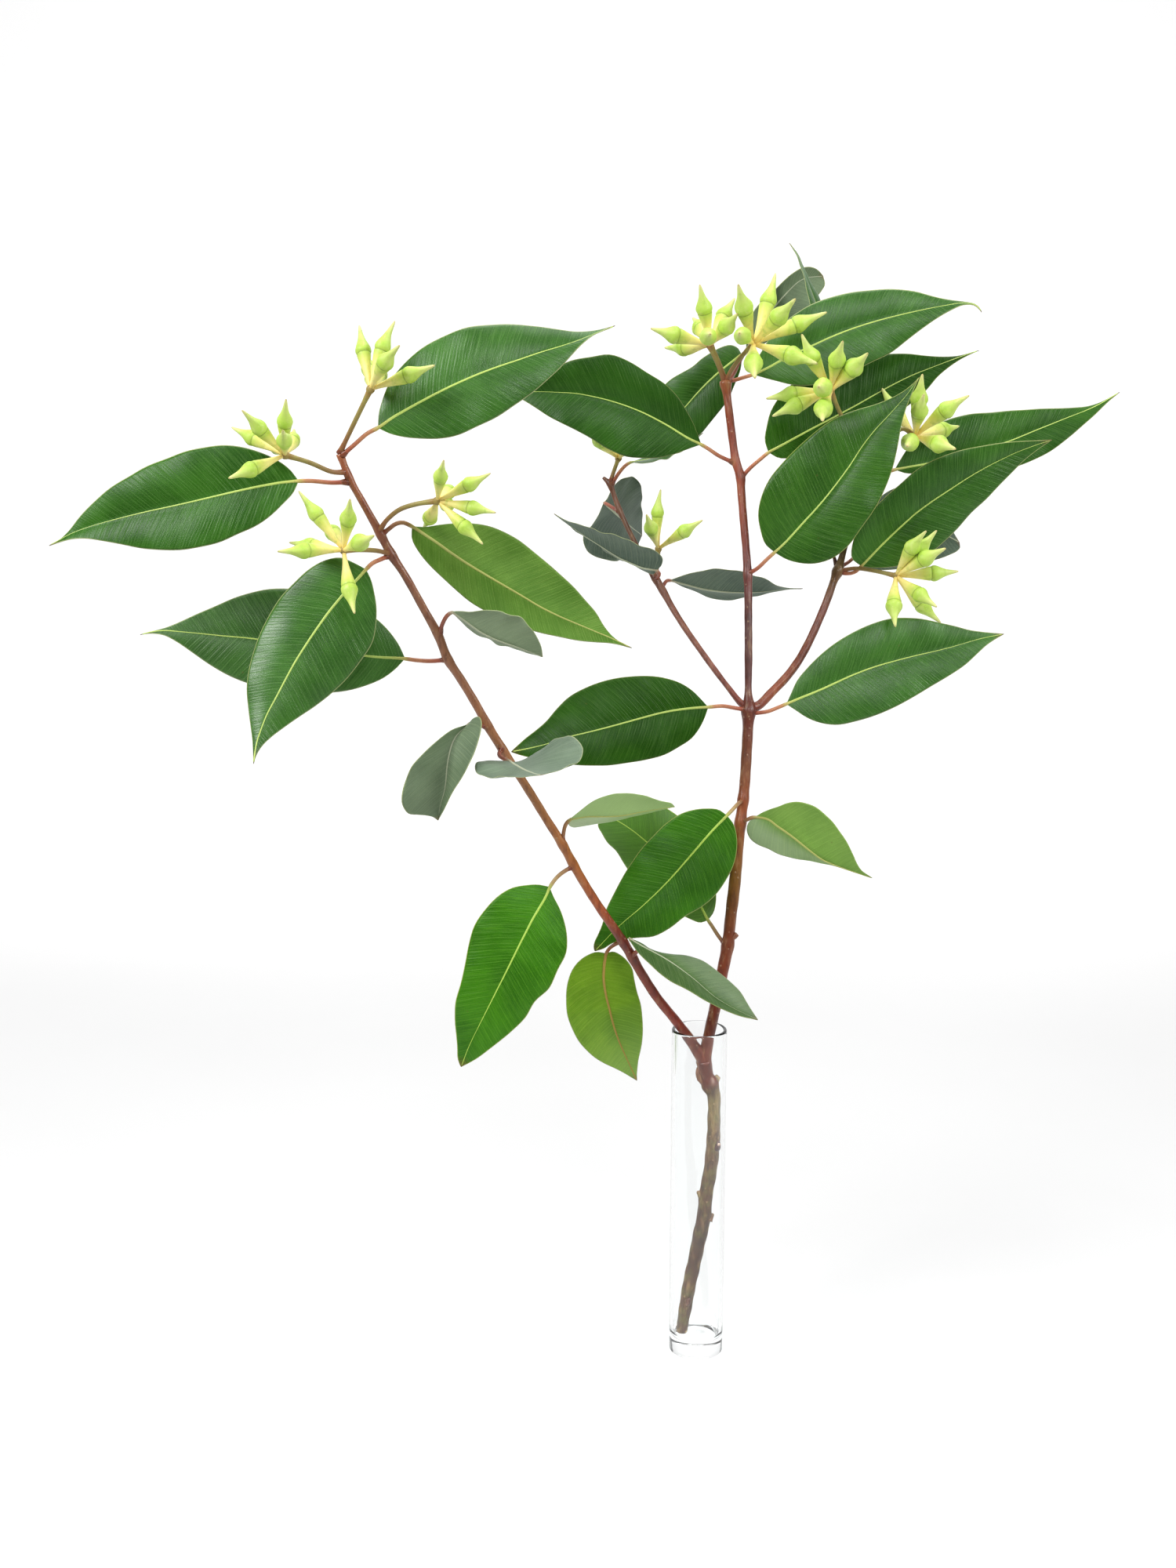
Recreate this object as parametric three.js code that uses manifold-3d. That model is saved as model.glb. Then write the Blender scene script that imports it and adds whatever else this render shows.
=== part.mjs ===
// Cut eucalyptus branch in a slim glass tube vase. Millimetres, +Z up, origin at the centre of the vase's foot, +Y away from the front.
import * as THREE from "three";
import Module from "manifold-3d";

// ---- driving dimensions
const VASE_OD = 30.6, VASE_HEIGHT = 191, VASE_WALL = 2.4, VASE_BASE = 9, VASE_FILLET = 4, VASE_SIDES = 40;
const BLADE_MID_HALF = 0.17;   // half thickness of a blade at its midrib, near the tip
const BLADE_RIB = 0.15;        // what the midrib adds towards the stalk
const BLADE_EDGE_HALF = 0.13;  // half thickness at the margin
const PETIOLE_R = 0.95;        // leaf stalk
const PEDUNCLE_R = 0.95;       // stalk of a bud cluster
const HUB_R = 1.7;             // knuckle where the buds of a cluster meet
const BUD_R = 3.8;             // widest point of a bud
const STEM_SIDES = 8, STALK_SIDES = 5;
const GAP = 0.15;              // clearance left where pieces meet

// bud outline: [fraction of its length, fraction of BUD_R]
const BUD_PROFILE = [[0.02, 0.22], [0.27, 0.32], [0.565, 1.02], [0.72, 0.68], [1.0, 0.07]];

// ---- woody stems: x, y, z, radius along each axis
const STEMS = {
  main_stem: [[-8.2,1.0,10.1,3.2],[-6.7,1.0,21.3,3.53],[-5.0,0.6,33.4,3.68],[-2.8,0.3,45.0,3.67],[-0.3,0.0,58.0,3.69],[2.0,-0.3,70.8,3.9],[3.8,-0.5,82.0,3.89],[4.6,-0.5,93.3,3.84],[6.5,-0.3,104.5,3.76],[8.1,0.0,115.5,3.98],[8.8,0.3,126.5,4.06],[8.8,0.4,139.0,3.9],[8.8,0.5,151.4,3.91],[6.6,0.5,158.5,4.65],[4.5,0.5,164.6,4.08],[2.7,0.3,172.4,4.33]],
  left_branch: [[3.8,0.4,166.9,3.51],[1.8,0.0,173.8,3.72],[-2.2,-1.0,180.4,3.17],[-7.0,-2.0,187.7,2.83],[-12.9,-4.0,196.0,2.6],[-23.7,-8.0,210.7,2.5],[-32.2,-12.0,225.0,2.52],[-39.5,-16.0,239.0,2.5],[-47.7,-20.0,252.8,2.44],[-56.3,-23.0,266.2,2.37],[-64.1,-26.0,279.7,2.39],[-70.0,-29.0,290.8,2.4],[-75.6,-32.0,302.0,2.39],[-83.2,-35.0,314.9,2.25],[-90.8,-38.0,328.4,2.22],[-97.1,-41.0,339.1,2.18],[-104.6,-44.0,351.8,2.17],[-111.8,-47.0,364.1,2.24],[-118.3,-50.0,376.9,2.16],[-125.9,-53.0,390.5,2.15],[-132.2,-56.0,401.0,2.23],[-136.5,-58.5,413.0,2.18],[-143.4,-62.0,426.8,2.03],[-151.4,-66.0,442.4,2.0],[-158.0,-68.0,453.1,2.06],[-163.2,-70.5,463.8,1.94],[-170.1,-73.5,477.2,1.79],[-175.6,-75.5,487.7,1.69],[-178.1,-76.5,494.2,1.59],[-180.2,-77.5,500.4,1.49]],
  right_branch: [[3.5,0.4,167.9,3.51],[3.5,0.3,175.2,3.72],[4.8,0.5,183.3,3.37],[6.9,1.0,194.0,3.27],[9.4,3.0,204.8,3.32],[12.7,5.0,221.3,3.32],[15.6,7.0,235.2,3.32],[17.2,9.0,250.5,3.2],[18.8,11.0,264.5,3.31],[20.3,13.0,278.5,3.22],[21.4,15.0,292.3,3.16],[23.0,17.0,306.3,3.05],[24.2,19.0,316.8,2.96],[25.3,21.0,328.2,3.01],[26.3,24.0,343.4,3.03],[27.2,27.0,358.8,3.18],[27.5,29.0,366.9,3.6],[27.3,31.0,375.0,2.18],[27.6,35.0,393.1,2.21],[27.7,40.0,415.1,2.17],[27.6,43.5,431.9,2.24],[27.4,45.5,440.9,2.33],[26.7,48.0,452.8,2.11],[25.7,50.0,465.0,2.2],[24.6,52.0,477.4,2.2],[23.8,53.5,487.3,2.31],[23.4,54.5,494.3,2.42],[20.7,56.0,502.9,2.31],[19.8,56.5,508.5,2.28],[18.0,58.0,522.1,2.3],[16.5,59.0,533.2,2.26],[15.5,60.0,540.9,2.19],[14.7,60.5,546.9,2.08]],
  inner_twig: [[27.5,29.0,366.9,1.75],[23.3,30.0,369.5,1.86],[16.4,34.0,377.8,1.58],[8.4,40.0,388.3,1.7],[0.6,46.0,399.1,1.7],[-7.5,52.0,410.7,1.76],[-14.0,57.0,421.0,1.83],[-18.7,61.0,429.6,2.01],[-23.6,64.0,437.8,1.84],[-30.1,67.0,448.0,1.57],[-36.0,70.0,459.5,1.46],[-39.7,72.0,467.0,1.42],[-44.1,74.0,476.5,1.53],[-47.6,76.0,486.2,1.35],[-49.6,77.0,491.1,1.46],[-53.2,78.0,494.6,0.9]],
  outer_twig: [[27.5,29.0,366.9,2.4],[33.0,31.0,368.0,2.52],[40.9,34.0,375.2,2.41],[49.0,37.0,383.2,2.37],[56.1,41.0,391.9,2.31],[62.2,45.0,402.0,2.25],[68.8,49.0,415.4,2.21],[73.4,52.0,426.1,2.22],[77.2,54.5,436.3,2.22],[79.5,56.0,441.8,2.44],[82.4,58.0,451.6,1.78],[87.2,60.0,468.3,1.55],[90.6,61.5,482.3,1.46],[92.7,62.5,495.4,1.37],[92.2,63.0,505.0,1.22]]
};

// ---- leaves: stalk points, then midrib and both margins from base to tip
const LEAVES = {
  leaf_far_left: { kind: "adult", pet: [[-176.7,-75.5,487.3],[-184.3,-78.0,486.9],[-193.4,-80.0,487.6]],
    M: [[-199.5,-81.0,487.6],[-205.7,-81.2,486.9],[-215.4,-81.4,485.5],[-228.8,-81.4,482.8],[-244.7,-80.9,479.2],[-262.0,-79.9,475.4],[-279.6,-78.3,471.7],[-296.0,-76.4,467.7],[-309.8,-74.4,463.3],[-318.3,-72.9,459.3],[-323.2,-72.0,456.9]],
    A: [[-199.5,-81.0,487.6],[-206.5,-80.2,495.3],[-218.5,-79.6,501.3],[-235.0,-78.8,504.3],[-253.5,-78.0,501.2],[-271.9,-77.0,495.0],[-288.3,-75.8,485.8],[-301.9,-74.6,475.5],[-311.8,-73.3,465.1],[-318.6,-72.5,459.3],[-323.2,-72.0,456.9]],
    B: [[-199.5,-81.0,487.6],[-204.3,-83.5,479.2],[-213.3,-85.7,470.4],[-227.0,-87.3,463.0],[-243.3,-87.8,456.8],[-261.3,-86.7,454.9],[-278.9,-84.2,456.7],[-295.1,-80.6,459.5],[-309.1,-76.8,460.2],[-318.1,-73.9,458.4],[-323.2,-72.0,456.9]] },
  leaf_top_left: { kind: "adult", pet: [[-179.4,-77.5,499.4],[-172.9,-80.0,504.4],[-166.2,-82.0,509.6]],
    M: [[-161.0,-83.0,512.0],[-155.9,-83.6,515.5],[-147.3,-84.3,520.4],[-135.3,-84.8,526.5],[-121.0,-84.8,533.3],[-105.2,-83.9,539.6],[-89.1,-82.2,545.1],[-74.0,-79.8,550.0],[-61.4,-77.1,554.7],[-53.4,-75.2,558.1],[-48.9,-74.0,560.0]],
    A: [[-161.0,-83.0,512.0],[-159.8,-81.3,522.3],[-154.6,-80.1,534.6],[-143.4,-78.9,546.7],[-127.6,-77.9,555.7],[-109.3,-77.1,559.7],[-91.3,-76.3,559.9],[-75.2,-75.6,557.8],[-61.8,-74.8,557.2],[-53.5,-74.2,558.7],[-48.9,-74.0,560.0]],
    B: [[-161.0,-83.0,512.0],[-151.7,-84.6,508.3],[-139.0,-86.1,506.8],[-123.5,-87.4,508.2],[-107.8,-87.8,515.3],[-93.0,-86.8,524.4],[-79.7,-84.7,534.6],[-69.3,-81.5,545.8],[-60.2,-78.2,554.5],[-53.0,-75.6,558.1],[-48.9,-74.0,560.0]] },
  leaf_left_drooping: { kind: "adult", pet: [[-158.6,-68.0,452.3],[-162.4,-73.0,450.5],[-166.0,-76.0,448.7]],
    M: [[-169.0,-77.0,445.9],[-172.7,-77.0,441.8],[-178.8,-77.2,435.4],[-186.8,-78.0,426.1],[-195.1,-79.6,414.6],[-203.4,-82.2,401.8],[-210.5,-85.6,388.4],[-216.8,-89.6,376.1],[-220.5,-93.5,365.2],[-221.7,-96.3,358.0],[-221.9,-98.0,353.8]],
    A: [[-169.0,-77.0,445.9],[-178.1,-75.4,450.5],[-190.9,-74.2,449.5],[-203.9,-73.8,439.7],[-215.5,-74.7,426.2],[-223.2,-77.3,409.9],[-227.0,-81.5,393.3],[-225.9,-86.6,378.1],[-223.5,-91.8,365.8],[-222.5,-95.6,358.1],[-221.9,-98.0,353.8]],
    B: [[-169.0,-77.0,445.9],[-166.1,-76.0,437.6],[-164.5,-75.4,426.1],[-166.6,-75.5,411.8],[-175.0,-76.7,398.2],[-186.1,-79.3,386.6],[-198.3,-83.2,377.5],[-209.3,-87.8,369.9],[-217.6,-92.5,363.1],[-221.1,-95.9,357.5],[-221.9,-98.0,353.8]] },
  leaf_left_behind: { kind: "adult", pet: [[-132.2,-56.0,400.6],[-141.1,-55.0,399.8],[-148.4,-54.0,400.2]],
    M: [[-153.7,-53.0,400.9],[-160.5,-52.2,401.2],[-171.3,-51.2,401.9],[-186.1,-50.2,403.9],[-203.4,-49.7,406.7],[-221.9,-50.0,409.5],[-240.4,-51.2,411.7],[-257.2,-53.1,413.5],[-271.3,-55.3,414.9],[-280.2,-57.0,414.4],[-285.1,-58.0,413.0]],
    A: [[-153.7,-53.0,400.9],[-159.1,-50.9,410.9],[-169.2,-48.7,421.3],[-185.2,-46.8,429.9],[-204.6,-45.8,434.7],[-225.0,-46.1,435.0],[-243.5,-47.9,429.2],[-259.4,-50.7,422.4],[-272.2,-53.9,416.7],[-280.5,-56.4,414.3],[-285.1,-58.0,413.0]],
    B: [[-153.7,-53.0,400.9],[-161.6,-53.2,393.1],[-174.5,-53.0,386.9],[-191.8,-52.7,383.7],[-211.1,-52.7,383.9],[-230.3,-53.0,387.5],[-247.3,-53.7,395.0],[-260.8,-54.9,404.7],[-272.0,-56.3,412.1],[-280.3,-57.4,413.6],[-285.1,-58.0,413.0]] },
  leaf_left_hanging: { kind: "bright", pet: [[-162.4,-70.0,462.2],[-158.7,-71.0,464.8],[-155.1,-71.0,467.4],[-151.6,-70.0,468.1]],
    M: [[-147.5,-68.0,466.4],[-142.6,-66.0,463.1],[-134.8,-63.1,457.6],[-124.1,-59.3,449.8],[-110.6,-55.4,441.3],[-95.6,-51.8,432.4],[-80.3,-48.8,423.6],[-65.2,-46.5,416.9],[-52.2,-45.1,411.4],[-44.1,-44.4,407.6],[-39.4,-44.0,405.4]],
    A: [[-147.5,-68.0,466.4],[-138.0,-63.4,466.6],[-125.8,-58.2,467.9],[-110.4,-52.5,466.3],[-94.9,-47.5,458.6],[-81.0,-44.0,446.9],[-68.2,-42.1,434.9],[-57.6,-41.7,423.1],[-50.4,-42.3,412.1],[-43.6,-43.2,407.4],[-39.4,-44.0,405.4]],
    B: [[-147.5,-68.0,466.4],[-146.3,-67.0,457.1],[-139.1,-64.9,447.0],[-127.8,-61.9,436.1],[-114.2,-58.4,425.3],[-97.8,-54.7,417.8],[-81.1,-51.2,412.6],[-65.5,-48.3,409.3],[-52.2,-46.1,408.2],[-44.0,-44.8,406.6],[-39.4,-44.0,405.4]] },
  leaf_left_grey_small: { kind: "grey", pet: [[-135.7,-58.5,414.0],[-133.7,-63.0,419.1],[-131.3,-66.0,422.9]],
    M: [[-128.9,-67.0,425.1],[-126.8,-67.7,423.7],[-123.5,-68.7,421.4],[-118.9,-69.6,418.2],[-113.6,-70.1,414.5],[-107.2,-70.0,411.5],[-100.7,-69.2,409.1],[-94.5,-67.8,406.8],[-89.4,-66.1,404.8],[-86.1,-64.8,403.4],[-84.3,-64.0,402.6]],
    A: [[-128.9,-67.0,425.1],[-124.2,-71.0,425.5],[-118.4,-74.7,425.5],[-111.4,-78.1,426.2],[-103.9,-80.0,425.9],[-96.8,-79.7,423.4],[-90.8,-77.5,419.3],[-87.2,-73.7,413.7],[-85.0,-69.5,408.3],[-84.5,-66.3,404.7],[-84.3,-64.0,402.6]],
    B: [[-128.9,-67.0,425.1],[-126.7,-62.8,421.9],[-123.4,-59.5,418.3],[-118.9,-56.8,414.2],[-113.0,-55.3,410.9],[-106.4,-55.3,408.3],[-100.0,-56.7,406.3],[-94.0,-58.8,404.7],[-89.1,-61.0,403.6],[-86.0,-62.6,402.9],[-84.3,-64.0,402.6]] },
  leaf_left_grey_cupped: { kind: "grey", pet: [[-113.5,-47.0,365.7],[-117.6,-52.0,367.4],[-119.7,-54.0,368.8]],
    M: [[-121.6,-55.0,368.3],[-123.6,-56.9,366.8],[-126.5,-59.5,364.3],[-129.6,-62.4,359.9],[-131.3,-64.8,353.5],[-132.4,-66.0,346.4],[-133.1,-66.0,338.9],[-134.9,-64.7,332.0],[-136.6,-62.8,325.9],[-137.3,-61.1,321.9],[-137.8,-60.0,319.5]],
    A: [[-121.6,-55.0,368.3],[-126.8,-60.8,367.1],[-133.0,-66.8,364.4],[-139.7,-72.6,359.2],[-146.5,-76.6,352.4],[-151.6,-77.8,343.5],[-154.0,-76.0,333.3],[-150.8,-71.9,324.9],[-143.9,-66.9,323.4],[-139.7,-62.9,321.7],[-137.8,-60.0,319.5]],
    B: [[-121.6,-55.0,368.3],[-118.0,-60.8,372.6],[-114.7,-66.8,369.2],[-115.8,-72.6,362.4],[-118.5,-76.6,355.1],[-122.2,-77.8,347.4],[-126.7,-76.0,340.0],[-130.9,-71.9,332.8],[-134.1,-66.9,326.2],[-136.4,-62.9,322.0],[-137.8,-60.0,319.5]] },
  leaf_stem_crossing: { kind: "grey", pet: [[-106.3,-45.0,354.4],[-107.1,-51.0,351.8],[-104.7,-56.0,350.6]],
    M: [[-101.4,-59.0,349.7],[-100.5,-62.0,349.7],[-99.1,-66.9,349.6],[-97.2,-74.0,349.7],[-94.9,-82.8,349.9],[-92.4,-92.7,350.3],[-89.8,-103.3,351.0],[-87.5,-113.5,351.9],[-85.5,-122.6,352.8],[-84.2,-128.5,353.4],[-83.5,-132.0,353.9]],
    A: [[-101.4,-59.0,349.7],[-105.5,-60.7,350.2],[-110.5,-64.5,350.9],[-116.4,-70.6,350.4],[-115.6,-78.8,346.2],[-107.9,-88.8,346.3],[-100.5,-99.9,347.9],[-93.9,-111.1,349.8],[-88.6,-121.2,351.7],[-85.3,-128.0,353.1],[-83.5,-132.0,353.9]],
    B: [[-101.4,-59.0,349.7],[-96.0,-60.7,349.7],[-89.9,-64.5,353.5],[-83.0,-70.6,359.4],[-74.5,-78.8,364.2],[-65.8,-88.8,363.4],[-65.8,-99.9,356.9],[-71.9,-111.1,354.2],[-77.8,-121.2,353.8],[-81.4,-128.0,353.8],[-83.5,-132.0,353.9]] },
  leaf_inner_dark: { kind: "adult", pet: [[25.7,28.0,366.1],[20.6,25.0,367.1],[12.6,23.0,368.6]],
    M: [[4.5,22.0,368.1],[-1.1,21.3,367.9],[-10.1,19.9,367.2],[-22.4,17.3,365.3],[-36.5,13.2,362.0],[-51.6,7.6,358.6],[-66.5,0.7,355.8],[-80.1,-6.8,352.8],[-91.4,-14.0,350.6],[-98.6,-19.0,349.7],[-102.6,-22.0,349.3]],
    A: [[4.5,22.0,368.1],[-2.2,22.3,375.3],[-12.7,21.7,382.2],[-27.9,19.8,385.5],[-44.9,16.1,384.9],[-61.5,10.5,380.8],[-75.3,3.2,372.9],[-85.1,-5.0,362.8],[-94.3,-13.0,356.1],[-99.7,-18.6,351.8],[-102.6,-22.0,349.3]],
    B: [[4.5,22.0,368.1],[1.1,20.0,359.5],[-6.0,17.5,350.2],[-19.0,13.9,343.2],[-34.8,9.2,339.7],[-51.3,3.6,338.3],[-67.0,-2.6,339.3],[-81.0,-9.2,341.9],[-92.1,-15.4,345.1],[-98.9,-19.6,347.6],[-102.6,-22.0,349.3]] },
  leaf_low_pale: { kind: "bright", pet: [[-75.4,-32.0,301.6],[-74.9,-33.0,307.1],[-73.7,-34.0,312.5]],
    M: [[-71.4,-35.0,315.7],[-68.7,-34.9,316.1],[-64.3,-34.7,316.8],[-58.2,-34.2,317.0],[-51.0,-33.3,316.8],[-43.2,-31.9,317.1],[-35.5,-30.1,318.3],[-28.4,-28.1,319.4],[-22.2,-26.2,320.0],[-18.3,-24.8,320.2],[-16.0,-24.0,320.3]],
    A: [[-71.4,-35.0,315.7],[-67.8,-40.4,319.6],[-63.3,-45.0,324.1],[-57.3,-48.7,328.6],[-49.9,-50.0,331.2],[-42.0,-48.5,331.6],[-34.2,-44.3,330.0],[-27.3,-38.3,326.9],[-21.4,-32.0,324.3],[-17.6,-27.3,322.4],[-16.0,-24.0,320.3]],
    B: [[-71.4,-35.0,315.7],[-71.5,-28.4,310.3],[-65.6,-22.6,309.4],[-58.3,-17.2,309.6],[-50.2,-13.5,310.4],[-41.9,-12.4,311.9],[-34.1,-13.5,314.0],[-27.1,-16.2,316.2],[-21.4,-19.4,318.1],[-17.9,-21.9,319.5],[-16.0,-24.0,320.3]] },
  leaf_low_behind: { kind: "young", pet: [[14.6,7.0,236.5],[10.4,10.0,241.7],[7.3,13.0,246.2]],
    M: [[5.2,15.0,248.9],[3.4,16.7,252.4],[0.3,19.0,258.1],[-4.3,21.4,265.8],[-11.3,23.3,274.3],[-19.6,24.0,283.0],[-28.4,23.4,291.5],[-37.2,21.6,298.9],[-45.1,19.2,304.5],[-50.3,17.3,307.9],[-53.3,16.0,309.8]],
    A: [[5.2,15.0,248.9],[9.4,17.3,255.8],[9.8,20.2,266.2],[7.1,23.1,279.0],[1.5,25.3,292.6],[-8.3,26.0,304.0],[-20.6,25.1,312.1],[-33.5,22.8,315.1],[-44.2,19.9,314.4],[-50.4,17.6,312.1],[-53.3,16.0,309.8]],
    B: [[5.2,15.0,248.9],[-1.5,17.3,247.6],[-9.7,20.2,250.7],[-19.6,23.1,255.4],[-29.2,25.3,263.2],[-37.7,26.0,272.9],[-44.1,25.1,283.8],[-51.7,22.8,292.5],[-56.2,19.9,301.2],[-55.2,17.6,306.9],[-53.3,16.0,309.8]] },
  leaf_low_right_front: { kind: "young", pet: [[24.0,19.0,316.4],[20.2,10.0,315.7],[17.0,5.0,313.5]],
    M: [[13.9,2.0,311.0],[10.4,2.1,307.2],[4.7,2.0,301.1],[-2.8,1.3,292.5],[-11.6,-0.2,282.3],[-21.4,-2.1,271.8],[-32.0,-4.2,262.0],[-42.3,-5.8,253.4],[-50.5,-6.7,245.5],[-55.5,-7.0,240.1],[-58.3,-7.0,237.0]],
    A: [[13.9,2.0,311.0],[6.1,2.8,314.6],[-5.2,3.2,313.7],[-17.9,3.0,307.5],[-29.2,1.8,296.6],[-38.9,-0.2,284.1],[-46.5,-2.5,270.9],[-52.5,-4.6,258.5],[-55.8,-6.0,247.6],[-58.8,-6.7,241.0],[-58.3,-7.0,237.0]],
    B: [[13.9,2.0,311.0],[18.6,1.2,303.2],[19.2,0.2,291.3],[14.5,-1.2,277.5],[4.8,-3.1,264.7],[-9.2,-5.1,256.0],[-22.1,-6.7,247.0],[-36.2,-7.6,244.6],[-47.8,-7.7,242.2],[-54.2,-7.4,238.3],[-58.3,-7.0,237.0]] },
  leaf_low_left: { kind: "young", pet: [[-69.3,-29.0,289.5],[-74.9,-31.0,286.7],[-78.7,-32.0,283.6]],
    M: [[-82.2,-33.0,279.1],[-84.0,-34.6,274.4],[-88.2,-36.8,267.5],[-93.9,-39.2,257.6],[-100.0,-41.1,245.5],[-106.6,-42.0,232.1],[-113.4,-41.8,218.3],[-119.9,-40.5,205.1],[-125.2,-38.6,193.5],[-128.2,-37.0,185.7],[-129.9,-36.0,181.1]],
    A: [[-82.2,-33.0,279.1],[-91.5,-33.3,280.3],[-103.3,-34.4,278.3],[-114.9,-35.8,269.0],[-123.4,-37.2,255.0],[-126.9,-38.1,238.2],[-130.9,-38.5,221.9],[-132.6,-38.1,206.7],[-131.7,-37.2,193.8],[-131.4,-36.5,185.5],[-129.9,-36.0,181.1]],
    B: [[-82.2,-33.0,279.1],[-78.4,-35.5,271.2],[-74.1,-38.6,260.9],[-73.2,-41.8,246.9],[-79.6,-44.1,232.7],[-89.8,-45.0,220.2],[-98.6,-44.3,206.7],[-109.8,-42.3,196.7],[-119.4,-39.6,188.4],[-125.9,-37.5,183.5],[-129.9,-36.0,181.1]] },
  leaf_low_yellow: { kind: "yellow", pet: [[-43.3,-17.5,245.5],[-47.1,-8.0,241.3],[-50.3,0.0,236.6]],
    M: [[-52.0,4.0,232.9],[-52.6,4.6,228.9],[-53.2,5.6,222.6],[-52.9,6.9,213.8],[-51.0,8.4,203.4],[-48.4,10.1,192.4],[-45.1,11.8,181.4],[-41.2,13.4,171.4],[-37.6,14.7,163.1],[-35.3,15.5,157.8],[-34.0,16.0,154.7]],
    A: [[-52.0,4.0,232.9],[-59.7,5.6,232.6],[-68.1,7.4,226.4],[-73.5,9.4,214.3],[-74.2,11.4,199.4],[-70.2,13.1,184.8],[-62.4,14.3,172.7],[-52.2,15.2,165.0],[-42.9,15.7,160.2],[-37.2,16.0,156.7],[-34.0,16.0,154.7]],
    B: [[-52.0,4.0,232.9],[-46.0,5.6,232.8],[-39.7,7.4,227.2],[-36.1,9.4,217.2],[-33.4,11.4,205.7],[-31.3,13.1,193.8],[-31.0,14.3,182.1],[-32.4,15.2,171.7],[-33.8,15.7,163.2],[-34.1,16.0,157.8],[-34.0,16.0,154.7]] },
  leaf_low_grey_front: { kind: "grey", pet: [[-38.1,-16.0,236.8],[-35.1,-21.0,242.0],[-37.6,-24.5,246.7]],
    M: [[-40.6,-26.0,249.7],[-37.1,-27.1,247.8],[-31.4,-28.8,244.9],[-23.5,-30.6,240.9],[-14.5,-32.1,235.4],[-5.3,-33.0,228.4],[3.4,-33.1,220.6],[12.5,-32.5,214.3],[20.7,-31.5,209.7],[26.1,-30.6,206.9],[29.2,-30.0,205.2]],
    A: [[-40.6,-26.0,249.7],[-34.4,-22.9,246.4],[-27.2,-20.9,241.2],[-16.9,-19.5,238.7],[-5.5,-19.3,237.2],[4.9,-20.4,231.9],[13.8,-22.3,225.2],[20.7,-24.8,218.3],[24.9,-27.1,211.5],[27.7,-28.7,207.4],[29.2,-30.0,205.2]],
    B: [[-40.6,-26.0,249.7],[-37.4,-31.4,245.5],[-32.1,-36.7,240.7],[-25.0,-41.7,235.1],[-16.1,-45.0,229.7],[-6.2,-45.7,224.4],[3.3,-44.0,218.3],[12.5,-40.3,213.0],[20.7,-36.0,208.8],[26.1,-32.5,206.6],[29.2,-30.0,205.2]] },
  leaf_low_right: { kind: "bright", pet: [[22.8,17.0,304.4],[26.1,13.0,306.6],[28.1,12.0,307.9]],
    M: [[30.1,11.0,308.5],[33.7,9.5,308.4],[38.9,7.4,306.6],[45.2,5.1,302.1],[52.8,3.1,296.6],[60.8,1.9,290.3],[69.6,1.8,284.7],[78.8,2.6,281.2],[86.8,4.0,278.1],[92.0,5.2,276.2],[95.0,6.0,275.1]],
    A: [[30.1,11.0,308.5],[35.4,7.2,312.5],[42.7,3.2,316.0],[52.0,-0.9,319.1],[62.1,-3.8,315.7],[70.8,-4.9,308.2],[77.8,-4.0,299.0],[82.9,-1.6,289.3],[87.5,1.6,281.1],[92.2,4.2,277.2],[95.0,6.0,275.1]],
    B: [[30.1,11.0,308.5],[26.0,12.8,303.4],[28.1,13.5,295.3],[37.3,13.6,290.3],[47.8,12.9,285.9],[59.1,11.7,283.8],[70.0,10.2,282.1],[79.6,8.6,279.8],[87.5,7.4,277.5],[92.3,6.7,275.9],[95.0,6.0,275.1]] },
  leaf_right_lower: { kind: "adult", pet: [[28.5,29.0,363.8],[37.5,26.0,365.2],[43.3,26.0,367.4]],
    M: [[48.0,26.0,369.4],[53.9,27.0,371.8],[63.5,28.5,375.6],[76.5,30.3,381.2],[92.0,32.3,387.5],[109.3,34.1,392.7],[126.9,35.6,396.9],[143.2,36.7,400.8],[156.8,37.5,404.7],[165.6,37.8,406.5],[170.7,38.0,407.5]],
    A: [[48.0,26.0,369.4],[52.4,27.9,379.1],[60.6,30.3,390.0],[73.4,32.9,401.2],[89.7,35.3,410.7],[108.2,37.0,416.3],[126.9,38.1,415.2],[143.5,38.5,411.7],[157.2,38.5,408.7],[165.8,38.3,407.9],[170.7,38.0,407.5]],
    B: [[48.0,26.0,369.4],[56.7,25.0,363.6],[69.1,24.8,358.6],[85.6,25.2,359.5],[103.0,26.4,365.0],[119.7,28.3,373.5],[135.4,30.6,382.6],[149.1,33.1,391.4],[159.2,35.4,400.4],[166.4,37.0,405.1],[170.7,38.0,407.5]] },
  leaf_right_centre: { kind: "adult", pet: [[27.5,45.5,440.5],[32.4,42.0,443.6],[37.4,40.0,448.6]],
    M: [[41.5,39.0,452.5],[46.0,37.7,456.7],[52.5,35.8,464.1],[61.3,33.6,474.1],[71.2,31.5,486.3],[81.0,29.9,500.1],[90.1,29.1,514.2],[100.6,28.9,525.9],[109.4,29.2,535.8],[114.4,29.7,542.6],[117.1,30.0,546.6]],
    A: [[41.5,39.0,452.5],[34.6,38.3,460.8],[31.9,37.0,474.6],[36.8,35.3,491.0],[48.5,33.5,505.6],[62.7,31.9,518.3],[78.5,30.7,527.6],[94.5,30.1,532.2],[107.0,29.9,537.9],[113.8,30.0,543.1],[117.1,30.0,546.6]],
    B: [[41.5,39.0,452.5],[51.2,35.4,447.6],[64.8,31.5,446.8],[79.3,27.6,455.0],[90.0,24.6,470.2],[98.8,23.1,487.0],[104.3,23.2,504.5],[107.1,24.7,520.9],[111.3,26.8,534.1],[114.9,28.6,542.1],[117.1,30.0,546.6]] },
  leaf_right_outer: { kind: "adult", pet: [[79.5,56.0,441.6],[83.4,54.0,440.5],[88.6,52.0,441.4]],
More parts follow.
